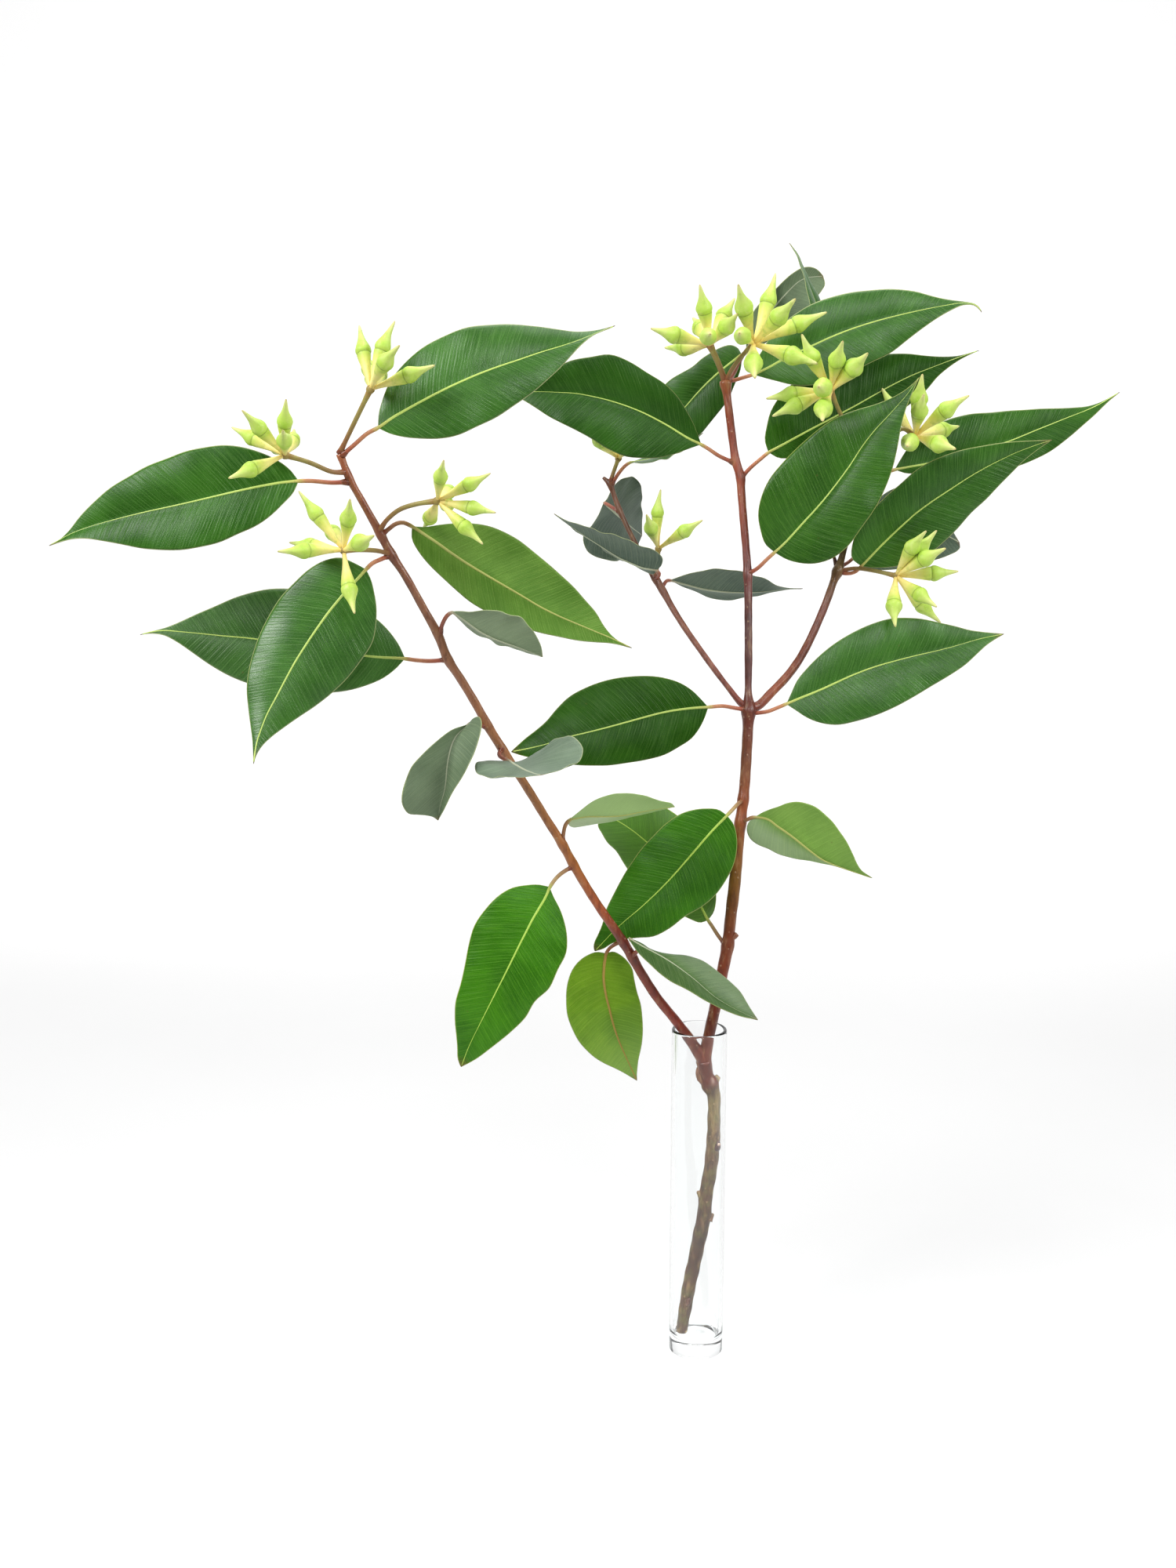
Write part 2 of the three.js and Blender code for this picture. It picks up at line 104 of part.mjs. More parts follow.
    M: [[91.9,51.0,444.7],[96.2,50.5,449.4],[103.1,49.7,456.8],[112.9,48.7,466.6],[125.2,47.8,477.3],[139.6,47.0,487.2],[154.4,46.4,496.6],[168.8,46.1,504.2],[181.5,46.0,509.7],[189.8,46.0,512.5],[194.7,46.0,514.0]],
    A: [[91.9,51.0,444.7],[85.6,48.8,452.9],[89.5,46.6,466.4],[100.0,44.5,480.1],[114.0,42.8,492.8],[130.1,42.1,503.8],[148.3,42.2,509.1],[165.5,43.1,512.2],[180.1,44.3,513.4],[189.4,45.2,513.8],[194.7,46.0,514.0]],
    B: [[91.9,51.0,444.7],[102.2,51.4,443.8],[115.1,51.5,445.2],[129.6,51.3,451.4],[142.5,50.7,462.9],[154.3,49.9,475.8],[165.8,48.9,487.8],[176.0,47.9,498.6],[184.9,47.0,507.1],[191.1,46.4,511.5],[194.7,46.0,514.0]] },
  leaf_right_far: { kind: "adult", pet: [[92.2,62.3,492.8],[99.1,66.0,494.2],[106.0,70.0,496.6]],
    M: [[113.2,73.0,498.9],[120.2,74.4,500.1],[131.4,76.5,502.0],[146.6,79.2,505.4],[164.4,81.8,510.1],[183.1,84.2,516.2],[201.2,85.9,523.5],[217.9,87.1,530.1],[231.9,87.7,535.8],[240.1,87.9,540.6],[244.7,88.0,543.4]],
    A: [[113.2,73.0,498.9],[118.9,75.4,508.2],[128.5,78.4,518.5],[143.9,81.7,527.1],[163.0,84.8,531.2],[183.1,87.1,532.8],[202.3,88.4,533.9],[219.4,88.9,534.6],[233.0,88.7,537.3],[240.6,88.4,541.1],[244.7,88.0,543.4]],
    B: [[113.2,73.0,498.9],[123.8,73.4,496.8],[138.1,74.7,495.3],[155.9,76.6,495.1],[175.3,78.8,498.1],[194.3,81.2,504.5],[210.9,83.4,513.9],[224.0,85.3,524.8],[234.3,86.7,534.3],[240.8,87.5,540.2],[244.7,88.0,543.4]] },
  leaf_top_right: { kind: "adult", pet: [[14.7,60.5,546.5],[20.4,61.0,547.6],[25.6,61.0,549.1]],
    M: [[30.4,61.0,550.4],[36.7,61.4,553.2],[46.3,61.9,558.4],[59.8,62.1,564.8],[75.9,61.9,571.9],[93.6,60.9,578.0],[111.7,59.2,582.6],[128.4,57.1,585.9],[142.6,54.8,588.0],[151.4,53.0,586.7],[154.6,52.0,582.5]],
    A: [[30.4,61.0,550.4],[33.7,62.0,561.2],[41.5,63.1,573.4],[55.4,63.8,584.8],[73.6,63.8,592.7],[93.5,62.9,596.3],[112.9,60.9,596.2],[129.8,58.3,592.1],[143.7,55.4,589.2],[152.1,53.3,586.9],[154.6,52.0,582.5]],
    B: [[30.4,61.0,550.4],[40.9,60.4,547.5],[54.3,60.0,544.5],[71.2,59.6,545.9],[88.1,58.9,553.1],[105.0,58.0,561.1],[119.0,56.8,571.8],[132.0,55.3,580.7],[143.5,53.7,586.5],[151.4,52.6,586.0],[154.6,52.0,582.5]] },
  leaf_right_upper: { kind: "adult", pet: [[23.7,54.5,493.4],[29.0,56.0,499.1],[34.9,58.0,504.1]],
    M: [[39.4,59.5,507.9],[45.4,61.4,511.0],[54.9,64.3,516.1],[68.1,67.8,523.1],[83.7,71.2,531.2],[100.3,74.2,540.3],[116.9,76.3,549.1],[132.9,77.5,555.8],[146.6,78.0,560.9],[155.3,78.1,563.9],[160.3,78.0,565.5]],
    A: [[39.4,59.5,507.9],[38.2,62.7,518.7],[42.1,66.7,532.9],[54.1,71.2,547.0],[72.5,75.2,556.6],[93.0,78.1,562.1],[113.2,79.6,563.9],[131.5,79.9,562.7],[146.4,79.4,562.3],[155.4,78.7,564.2],[160.3,78.0,565.5]],
    B: [[39.4,59.5,507.9],[49.0,60.8,504.7],[62.8,63.1,505.6],[79.1,66.1,510.4],[96.0,69.3,518.5],[112.1,72.2,528.7],[126.5,74.6,539.9],[137.7,76.3,551.6],[148.4,77.3,559.7],[155.9,77.8,563.6],[160.3,78.0,565.5]] },
  leaf_top_rounded: { kind: "grey", pet: [[14.9,60.5,545.2],[19.2,68.0,551.1],[24.3,76.0,559.6]],
    M: [[28.5,84.0,566.6],[30.3,86.2,569.5],[33.2,89.7,574.2],[37.4,94.6,580.6],[42.7,100.3,588.0],[48.9,106.4,595.8],[55.6,112.6,603.2],[62.5,118.3,609.6],[69.9,123.2,612.6],[74.9,126.2,613.4],[77.8,128.0,614.0]],
    A: [[28.5,84.0,566.6],[28.3,85.2,572.2],[29.4,87.9,579.4],[32.7,92.0,588.0],[39.4,97.3,596.1],[47.5,103.5,603.6],[55.3,110.1,611.1],[63.5,116.5,616.7],[71.5,122.1,617.7],[75.8,125.8,615.6],[77.8,128.0,614.0]],
    B: [[28.5,84.0,566.6],[33.7,87.8,568.1],[40.0,92.8,571.0],[47.0,98.8,576.1],[54.6,105.2,582.1],[62.1,111.3,588.5],[68.8,116.8,595.2],[74.1,121.3,601.8],[78.2,124.9,607.5],[78.3,127.0,611.6],[77.8,128.0,614.0]] },
  leaf_top_edge_on: { kind: "adult", pet: [[92.6,62.7,498.9],[93.8,76.0,506.0],[93.1,90.0,518.7]],
    M: [[90.4,95.0,530.6],[89.0,94.9,535.7],[86.8,94.8,543.8],[83.5,94.4,554.8],[78.9,93.8,567.5],[73.7,92.9,581.1],[68.2,91.8,594.4],[62.9,90.6,606.5],[58.6,89.4,616.8],[54.8,88.5,622.8],[52.2,88.0,626.0]],
    A: [[90.4,95.0,530.6],[86.7,90.4,537.7],[82.2,86.3,546.7],[77.3,82.5,558.0],[72.4,80.0,570.5],[67.1,79.3,583.2],[62.6,80.2,595.7],[59.6,82.2,607.4],[56.8,84.6,617.0],[54.0,86.5,622.7],[52.2,88.0,626.0]],
    B: [[90.4,95.0,530.6],[89.8,97.9,538.8],[88.8,100.2,549.1],[85.8,102.1,561.6],[80.9,102.7,574.8],[76.0,101.7,588.1],[70.3,99.3,600.3],[63.7,96.0,610.4],[58.9,92.4,618.9],[54.8,89.8,623.5],[52.2,88.0,626.0]] },
  leaf_top_back: { kind: "adult", pet: [[14.9,60.3,543.5],[19.1,76.0,549.2],[23.9,90.0,557.6]],
    M: [[26.9,95.0,565.1],[24.2,96.3,563.2],[19.9,98.1,560.0],[14.1,100.2,555.4],[7.4,102.0,549.4],[0.7,103.0,542.5],[-5.9,103.3,535.1],[-12.4,102.7,528.5],[-17.7,101.6,522.6],[-21.0,100.6,518.8],[-22.9,100.0,516.6]],
    A: [[26.9,95.0,565.1],[22.9,97.3,570.5],[14.7,100.0,569.4],[5.6,102.8,564.4],[-3.6,104.9,557.6],[-14.1,106.0,551.7],[-21.8,105.8,543.1],[-25.5,104.5,533.3],[-26.0,102.6,524.6],[-24.4,101.1,519.4],[-22.9,100.0,516.6]],
    B: [[26.9,95.0,565.1],[26.9,95.7,559.1],[24.9,96.9,551.8],[21.2,98.5,543.0],[15.5,100.0,534.2],[8.7,101.1,525.5],[1.1,101.6,518.1],[-7.6,101.5,513.9],[-15.7,100.9,513.2],[-20.3,100.3,515.3],[-22.9,100.0,516.6]] },
  leaf_upper_left_twisted: { kind: "adult", pet: [[19.6,56.0,502.0],[10.6,52.0,505.8],[5.6,50.0,508.9]],
    M: [[0.9,48.5,511.6],[-4.2,47.3,513.8],[-11.9,45.6,518.0],[-22.5,43.8,523.9],[-35.4,42.5,529.9],[-49.8,42.0,534.7],[-64.7,42.5,538.1],[-78.9,43.8,539.3],[-90.9,45.6,539.8],[-98.6,47.1,539.4],[-103.0,48.0,539.0]],
    A: [[0.9,48.5,511.6],[-2.8,46.0,520.7],[-9.1,43.2,531.6],[-19.3,40.4,543.2],[-34.1,38.5,552.1],[-50.2,38.1,558.8],[-67.0,39.2,556.5],[-81.2,41.4,551.5],[-92.1,44.2,545.1],[-99.0,46.5,541.2],[-103.0,48.0,539.0]],
    B: [[0.9,48.5,511.6],[-7.5,46.0,508.6],[-18.1,43.2,505.0],[-31.8,40.4,503.7],[-46.5,38.5,506.3],[-59.8,38.1,513.9],[-72.7,39.2,520.7],[-84.6,41.4,526.8],[-93.8,44.2,532.9],[-99.8,46.5,536.7],[-103.0,48.0,539.0]] },
  leaf_inner_top_edge_on: { kind: "adult", pet: [[-48.9,76.8,489.7],[-44.4,79.0,496.9],[-40.7,81.0,501.2]],
    M: [[-38.0,83.0,503.3],[-35.6,84.5,503.7],[-31.9,87.1,504.4],[-26.7,90.6,505.5],[-20.7,94.7,507.3],[-14.2,99.3,509.7],[-7.9,104.0,512.5],[-2.3,108.4,515.7],[2.2,112.2,518.9],[5.1,114.6,521.0],[6.7,116.0,522.1]],
    A: [[-38.0,83.0,503.3],[-34.5,88.5,504.6],[-30.1,94.3,506.2],[-24.5,100.8,508.2],[-18.3,106.6,510.2],[-12.1,111.0,512.7],[-6.4,114.0,515.4],[-1.3,115.6,517.9],[2.8,116.3,520.0],[5.3,116.3,521.4],[6.7,116.0,522.1]],
    B: [[-38.0,83.0,503.3],[-34.4,80.0,502.9],[-29.9,78.6,502.7],[-24.2,78.6,503.4],[-18.1,80.9,505.2],[-11.8,85.7,507.6],[-5.9,92.4,510.8],[-1.0,100.0,514.7],[2.8,107.4,518.4],[5.3,112.6,520.8],[6.7,116.0,522.1]] },
  leaf_inner_back: { kind: "grey", pet: [[-44.0,74.0,475.5],[-47.0,80.0,477.1],[-50.1,85.0,479.2]],
    M: [[-52.8,90.0,480.7],[-51.7,92.6,479.7],[-49.9,97.0,478.2],[-47.3,103.6,476.2],[-44.3,112.3,473.7],[-40.9,122.8,470.9],[-37.3,134.3,468.2],[-33.9,146.0,465.7],[-30.8,156.7,463.7],[-28.8,163.8,462.3],[-27.6,168.0,461.6]],
    A: [[-52.8,90.0,480.7],[-50.0,93.2,484.4],[-47.2,98.2,489.7],[-41.9,105.3,495.0],[-33.9,114.3,495.9],[-29.9,124.7,489.0],[-28.9,136.0,481.2],[-28.4,147.2,473.9],[-28.0,157.4,467.7],[-27.8,164.1,463.8],[-27.6,168.0,461.6]],
    B: [[-52.8,90.0,480.7],[-55.0,93.2,475.7],[-58.3,98.2,469.5],[-63.4,105.3,462.3],[-63.5,114.3,453.2],[-54.9,124.7,447.8],[-44.9,136.0,446.4],[-36.2,147.2,449.2],[-31.1,157.4,454.8],[-28.9,164.1,459.1],[-27.6,168.0,461.6]] },
  leaf_inner_left: { kind: "grey", pet: [[-23.5,64.0,437.3],[-22.3,60.0,438.4],[-21.5,57.0,440.2]],
    M: [[-22.9,55.0,442.5],[-26.3,53.8,442.9],[-31.7,52.0,443.8],[-38.6,49.8,446.6],[-46.4,47.7,450.5],[-54.3,45.9,455.5],[-62.1,44.7,460.5],[-69.3,44.0,465.3],[-75.2,43.8,469.5],[-78.9,43.9,472.2],[-81.0,44.0,473.8]],
    A: [[-22.9,55.0,442.5],[-19.9,48.6,447.0],[-23.8,42.3,452.8],[-32.1,36.2,456.4],[-41.4,31.9,459.6],[-50.7,30.3,462.9],[-59.8,31.4,465.6],[-68.0,34.4,467.9],[-74.7,38.4,470.4],[-78.7,41.6,472.5],[-81.0,44.0,473.8]],
    B: [[-22.9,55.0,442.5],[-26.8,60.0,440.3],[-32.8,63.5,443.2],[-40.4,66.0,446.6],[-48.5,66.4,451.0],[-56.5,64.4,456.2],[-64.1,60.5,461.3],[-70.8,55.4,465.8],[-76.0,50.3,469.8],[-79.2,46.7,472.4],[-81.0,44.0,473.8]] },
  leaf_inner_right: { kind: "grey", pet: [[-20.1,62.0,431.0],[-18.1,67.0,434.4],[-16.6,70.0,435.9]],
    M: [[-14.6,73.0,436.2],[-10.8,74.7,435.1],[-4.6,77.2,433.3],[4.0,80.4,431.1],[14.3,83.5,429.4],[25.6,86.2,428.6],[36.9,88.1,428.8],[47.2,89.3,429.7],[56.0,89.9,430.6],[61.5,90.0,430.7],[64.7,90.0,430.8]],
    A: [[-14.6,73.0,436.2],[-9.1,70.2,438.3],[-1.9,68.7,440.7],[7.4,68.4,442.5],[18.0,69.7,442.0],[28.9,72.5,440.8],[39.2,76.5,437.3],[48.1,81.0,432.8],[56.3,85.1,431.2],[61.6,88.0,430.9],[64.7,90.0,430.8]],
    B: [[-14.6,73.0,436.2],[-8.8,79.9,433.2],[-1.2,87.0,429.8],[8.5,94.0,426.1],[19.5,99.3,423.8],[30.8,101.8,424.2],[41.1,101.4,426.8],[50.3,98.9,428.8],[57.7,95.3,430.0],[62.2,92.3,430.5],[64.7,90.0,430.8]] },
  leaf_right_behind: { kind: "grey", pet: [[79.5,56.3,442.9],[83.8,63.0,444.9],[87.7,68.0,446.8]],
    M: [[90.9,71.0,449.2],[93.8,72.3,451.0],[98.6,74.3,453.8],[105.3,76.9,457.1],[113.6,79.6,460.7],[122.8,82.2,463.5],[132.5,84.3,464.7],[141.5,86.0,463.8],[148.6,87.1,461.1],[152.9,87.7,458.9],[155.4,88.0,457.6]],
    A: [[90.9,71.0,449.2],[91.9,73.3,456.9],[94.5,76.2,466.4],[100.2,79.5,477.2],[110.6,82.6,486.1],[124.1,85.1,489.4],[136.6,86.8,483.8],[145.0,87.8,474.8],[150.3,88.1,466.1],[153.5,88.1,460.7],[155.4,88.0,457.6]],
    B: [[90.9,71.0,449.2],[94.5,73.3,445.0],[101.3,76.2,442.4],[110.3,79.5,441.7],[120.1,82.6,442.5],[129.9,85.1,444.4],[139.1,86.8,446.7],[147.1,87.8,449.4],[153.3,88.1,452.1],[155.8,88.1,455.2],[155.4,88.0,457.6]] }
};

// ---- bud clusters: stalk points ending at the hub, then the tip of every bud
const CLUSTERS = {
  buds_far_left: { ped: [[-177.4,-76.0,491.9],[-183.4,-82.0,491.8],[-192.8,-88.0,495.8],[-203.6,-92.0,499.1]],
    tips: [[-198.4,-113.7,522.8],[-218.2,-114.2,517.9],[-230.7,-80.1,512.6],[-225.9,-112.7,487.6],[-204.1,-62.4,512.6],[-198.3,-122.7,508.4],[-216.0,-62.6,505.9]] },
  buds_top_left: { ped: [[-180.3,-77.5,500.6],[-172.3,-85.0,513.5],[-163.0,-92.0,529.0]],
    tips: [[-169.4,-79.2,559.4],[-152.0,-87.5,560.4],[-146.7,-115.7,546.3],[-132.1,-100.6,539.0],[-159.9,-61.4,542.6],[-168.4,-64.6,547.8],[-165.1,-60.2,539.4]] },
  buds_left_centre: { ped: [[-163.2,-70.5,463.7],[-158.8,-76.0,469.1],[-152.2,-80.0,474.0],[-143.8,-84.0,476.6],[-133.0,-88.0,478.1]],
    tips: [[-127.6,-113.5,495.8],[-107.0,-100.7,490.4],[-104.7,-100.7,472.4],[-111.1,-98.3,457.9],[-142.5,-60.6,465.7],[-128.9,-57.5,485.1],[-128.7,-56.8,476.0]] },
  buds_left_low: { ped: [[-158.2,-68.0,452.9],[-162.9,-77.0,454.6],[-169.2,-87.0,455.2],[-177.1,-93.0,455.1]],
    tips: [[-197.6,-93.0,482.6],[-169.9,-116.6,478.5],[-205.9,-75.4,458.6],[-204.4,-113.2,454.8],[-159.1,-121.2,461.8],[-170.4,-109.2,425.9],[-191.2,-65.0,468.4]] },
  buds_top_centre: { ped: [[14.7,60.5,546.5],[10.3,57.0,556.4],[5.3,53.0,565.6]],
    tips: [[-1.9,34.5,595.0],[-27.9,43.0,573.2],[-18.1,79.8,567.0],[-2.2,82.4,584.1],[20.1,70.0,593.1],[17.6,22.1,578.2],[2.4,17.5,567.6]] },
  buds_top_right: { ped: [[15.1,60.5,546.1],[16.8,56.0,550.8],[21.3,49.0,557.6],[28.2,42.0,565.0]],
    tips: [[16.6,12.6,591.9],[40.9,50.8,603.5],[46.7,10.1,584.2],[67.9,42.0,581.7],[60.2,18.9,552.0],[16.3,2.2,566.1],[25.5,6.5,543.5]] },
  buds_right_upper: { ped: [[92.3,63.0,504.6],[87.3,55.0,513.6],[79.2,47.0,524.6],[73.7,41.0,533.4],[70.2,36.0,539.7]],
    tips: [[71.2,6.8,562.5],[84.7,6.1,556.2],[51.2,20.2,567.3],[34.1,29.3,534.9],[37.4,26.7,525.4],[58.3,0.9,538.6],[61.0,5.1,521.3]] },
  buds_right_far: { ped: [[92.6,62.6,496.7],[99.9,58.0,507.8],[107.8,55.0,516.6],[113.6,54.0,520.4],[120.3,54.0,516.4]],
    tips: [[119.2,34.2,548.2],[117.8,22.3,536.5],[144.9,34.8,537.3],[150.0,76.0,523.3],[135.7,20.8,507.6],[109.1,18.8,509.1],[104.7,74.2,543.9]] },
  buds_right_low: { ped: [[79.7,56.0,441.6],[88.3,52.0,443.4],[98.3,46.0,442.2],[109.5,40.0,439.6]],
    tips: [[120.5,18.7,464.5],[127.9,24.7,464.5],[131.6,18.5,455.1],[144.2,40.0,442.0],[135.1,40.0,413.3],[127.2,15.0,423.4],[105.5,18.9,412.6]] },
  buds_inner: { ped: [[-23.3,64.0,436.8],[-22.2,68.0,444.4],[-21.7,67.0,454.2]],
    tips: [[-21.4,60.2,487.5],[-29.7,40.0,473.3],[2.0,48.7,470.3]] },
  buds_inner_top: { ped: [[-49.6,77.0,491.1],[-47.1,79.0,498.2],[-44.4,82.0,505.6]],
    tips: [[-55.6,97.1,535.2],[-46.6,89.0,539.9],[-36.5,60.9,532.5],[-62.0,55.3,520.1],[-33.7,49.8,514.6]] }
};

// ---- where two pieces meet, the first is trimmed back from the second
const TRIMS = [["leaf_left_drooping", "buds_left_low"], ["leaf_left_hanging", "buds_left_centre"], ["leaf_right_outer", "buds_right_low"], ["leaf_top_right", "buds_top_centre"], ["leaf_top_right", "buds_top_right"], ["leaf_inner_top_edge_on", "buds_inner_top"], ["buds_top_centre", "buds_top_right"]];

const wasm = await Module();
wasm.setup();
const V = (p) => new THREE.Vector3(p[0], p[1], p[2]);

// closed solid through rings of equal point count, capped at both ends
function loft(rings, sheet) {
  const n = rings[0].length, verts = [], tris = [];
  for (const r of rings) for (const p of r) verts.push(p.x, p.y, p.z);
  for (let i = 0; i + 1 < rings.length; i++)
    for (let j = 0; j < n; j++) {
      const a = i * n + j, b = i * n + ((j + 1) % n), c = a + n, d = b + n;
      // the two faces of a sheet share their diagonals, so a twisted panel keeps its thickness
      if (sheet && j >= n / 2) tris.push(a, b, c, b, d, c);
      else tris.push(a, b, d, a, d, c);
    }
  const last = (rings.length - 1) * n;
  for (let j = 1; j + 1 < n; j++) {
    tris.push(0, j + 1, j);
    tris.push(last, last + j, last + j + 1);
  }
  const make = (t) => new wasm.Manifold(new wasm.Mesh({ numProp: 3, vertProperties: new Float32Array(verts), triVerts: new Uint32Array(t) }));
  let solid = make(tris);
  if (solid.volume() < 0) {
    for (let i = 0; i < tris.length; i += 3) [tris[i + 1], tris[i + 2]] = [tris[i + 2], tris[i + 1]];
    solid = make(tris);
  }
  return solid;
}

// tangents of a polyline
function tangents(pts) {
  return pts.map((p, i) => {
    const a = pts[Math.max(0, i - 1)], b = pts[Math.min(pts.length - 1, i + 1)];
    return b.clone().sub(a).normalize();
  });
}

// round rod along a polyline with a radius at each point
function rod(pts, radii, sides) {
  const ts = tangents(pts);
  let u = Math.abs(ts[0].z) < 0.8 ? new THREE.Vector3(0, 0, 1) : new THREE.Vector3(1, 0, 0);
  const rings = pts.map((p, i) => {
    u = u.clone().addScaledVector(ts[i], -u.dot(ts[i])).normalize();
    const w = ts[i].clone().cross(u);
    return Array.from({ length: sides }, (_, k) => {
      const a = (2 * Math.PI * k) / sides;
      return p.clone().addScaledVector(u, radii[i] * Math.cos(a)).addScaledVector(w, radii[i] * Math.sin(a));
    });
  });
  return loft(rings);
}

const union = (list) => list.reduce((a, b) => a.add(b));
const biggest = (solid) => {
  const bodies = solid.decompose();
  return bodies.sort((a, b) => b.volume() - a.volume())[0];
};

// the whole woody branch is one grown piece
function stem(grow) {
  return union(Object.values(STEMS).map((s) => rod(s.map(V), s.map((p) => p[3] + grow), STEM_SIDES)));
}

// one leaf: round stalk flattening into a blade stretched over midrib and margins
const HEX = [[0.866, 0.5], [0, 1], [-0.866, 0.5], [-0.866, -0.5], [0, -1], [0.866, -0.5]];
function leaf(l, grow) {
  const M = l.M.map(V), A = l.A.map(V), B = l.B.map(V), n = M.length - 1;
  const tm = tangents(M), rings = [];
  const side = A[2].clone().sub(B[2]).normalize();
  const pet = l.pet.map(V).concat([M[0]]), tp = tangents(pet);
  tp[tp.length - 1].add(tm[0]).normalize();
  pet.forEach((p, i) => {
    const s = side.clone().addScaledVector(tp[i], -side.dot(tp[i])).normalize();
    const nn = s.clone().cross(tp[i]);
    const r = PETIOLE_R * (i === pet.length - 1 ? 0.9 : 1) + grow;
    rings.push(HEX.map(([a, b]) => p.clone().addScaledVector(s, r * a).addScaledVector(nn, r * b)));
  });
  for (let k = 1; k < n; k++) {
    // each half keeps its own normal, and the midrib takes the one between them
    const na = A[k].clone().sub(M[k]).cross(tm[k]).normalize(), nb = M[k].clone().sub(B[k]).cross(tm[k]).normalize();
    const nm = na.clone().add(nb).normalize(), lift = 1 / Math.max(0.5, nm.dot(na));
    const h = (BLADE_MID_HALF + (BLADE_RIB * (n - k)) / n + grow) * lift, e = BLADE_EDGE_HALF + grow;
    rings.push([
      A[k].clone().addScaledVector(na, e), M[k].clone().addScaledVector(nm, h), B[k].clone().addScaledVector(nb, e),
      B[k].clone().addScaledVector(nb, -e), M[k].clone().addScaledVector(nm, -h), A[k].clone().addScaledVector(na, -e),
    ]);
  }
  const s = A[n - 1].clone().sub(B[n - 1]);
  s.addScaledVector(tm[n], -s.dot(tm[n])).normalize();
  const nn = s.clone().cross(tm[n]);
  rings.push(HEX.map(([a, b]) => M[n].clone().addScaledVector(s, (0.25 + grow) * a).addScaledVector(nn, (0.25 + grow) * b)));
  return loft(rings, true);
}

// one cluster: stalk, knuckle, and buds that widen to a rim and close to a beak
function cluster(c, grow) {
  const ped = c.ped.map(V), hub = ped[ped.length - 1];
  const parts = [rod(ped, ped.map(() => PEDUNCLE_R + grow), STALK_SIDES)];
  const ball = wasm.Manifold.sphere(HUB_R + grow, 6).translate(hub.x, hub.y, hub.z);
  parts.push(ball);
  for (const t of c.tips) {
    const tip = V(t), d = tip.clone().sub(hub), len = d.length(), k = Math.min(1.08, len / 35);
    parts.push(rod(BUD_PROFILE.map(([f]) => hub.clone().addScaledVector(d, f)), BUD_PROFILE.map(([, r]) => r * BUD_R * k + grow), STALK_SIDES));
  }
  return union(parts);
}

// tube vase: one turned profile with a thick foot
function vase() {
  const R = VASE_OD / 2, r = R - VASE_WALL, p = [new THREE.Vector2(0, 0), new THREE.Vector2(R - 0.4, 0), new THREE.Vector2(R, 0.5), new THREE.Vector2(R, VASE_HEIGHT - 0.5), new THREE.Vector2(R - 0.5, VASE_HEIGHT), new THREE.Vector2(r + 0.3, VASE_HEIGHT), new THREE.Vector2(r, VASE_HEIGHT - 0.4)];
  for (let i = 0; i <= 4; i++) {
    const a = (i / 4) * Math.PI / 2;
    p.push(new THREE.Vector2(r - VASE_FILLET + VASE_FILLET * Math.cos(a), VASE_BASE + VASE_FILLET - VASE_FILLET * Math.sin(a)));
  }
  p.push(new THREE.Vector2(0, VASE_BASE));
  const rings = p.slice(1, -1).map((q) => Array.from({ length: VASE_SIDES }, (_, k) => {
    const a = (2 * Math.PI * k) / VASE_SIDES;
    return new THREE.Vector3(q.x * Math.cos(a), q.x * Math.sin(a), q.y);
  }));
  return loft(rings);
}

// ---- assemble
const solids = { vase: vase(), stem: biggest(stem(0)) };
const cutter = stem(GAP);
for (const [name, l] of Object.entries(LEAVES)) solids[name] = biggest(leaf(l, 0).subtract(cutter));
for (const [name, c] of Object.entries(CLUSTERS)) solids[name] = biggest(cluster(c, 0).subtract(cutter));
for (const [name, other] of TRIMS) {
  const by = LEAVES[other] ? leaf(LEAVES[other], GAP) : CLUSTERS[other] ? cluster(CLUSTERS[other], GAP) : cutter;
  solids[name] = biggest(solids[name].subtract(by));
}

const COLOURS = { adult: 0x1c4a24, young: 0x2c6a16, bright: 0x5f8440, grey: 0x5d6f66, yellow: 0x6f8f2a, buds: 0xb4bd6a, stem: 0x5a4632, vase: 0xdfe8e8 };
const group = new THREE.Group();
group.name = "eucalyptus_branch";
for (const [name, solid] of Object.entries(solids)) {
  const m = solid.getMesh(), g = new THREE.BufferGeometry();
  const pos = new Float32Array(m.numVert * 3);
  for (let i = 0; i < m.numVert; i++) for (let k = 0; k < 3; k++) pos[3 * i + k] = m.vertProperties[i * m.numProp + k];
  g.setAttribute("position", new THREE.BufferAttribute(pos, 3));
  g.setIndex(new THREE.BufferAttribute(new Uint32Array(m.triVerts), 1));
  g.computeVertexNormals();
  const key = LEAVES[name] ? LEAVES[name].kind : CLUSTERS[name] ? "buds" : name;
  const mesh = new THREE.Mesh(g, new THREE.MeshStandardMaterial({ color: COLOURS[key], roughness: name === "vase" ? 0.05 : 0.5, transparent: name === "vase", opacity: name === "vase" ? 0.35 : 1 }));
  mesh.name = name;
  group.add(mesh);
}
export default group;
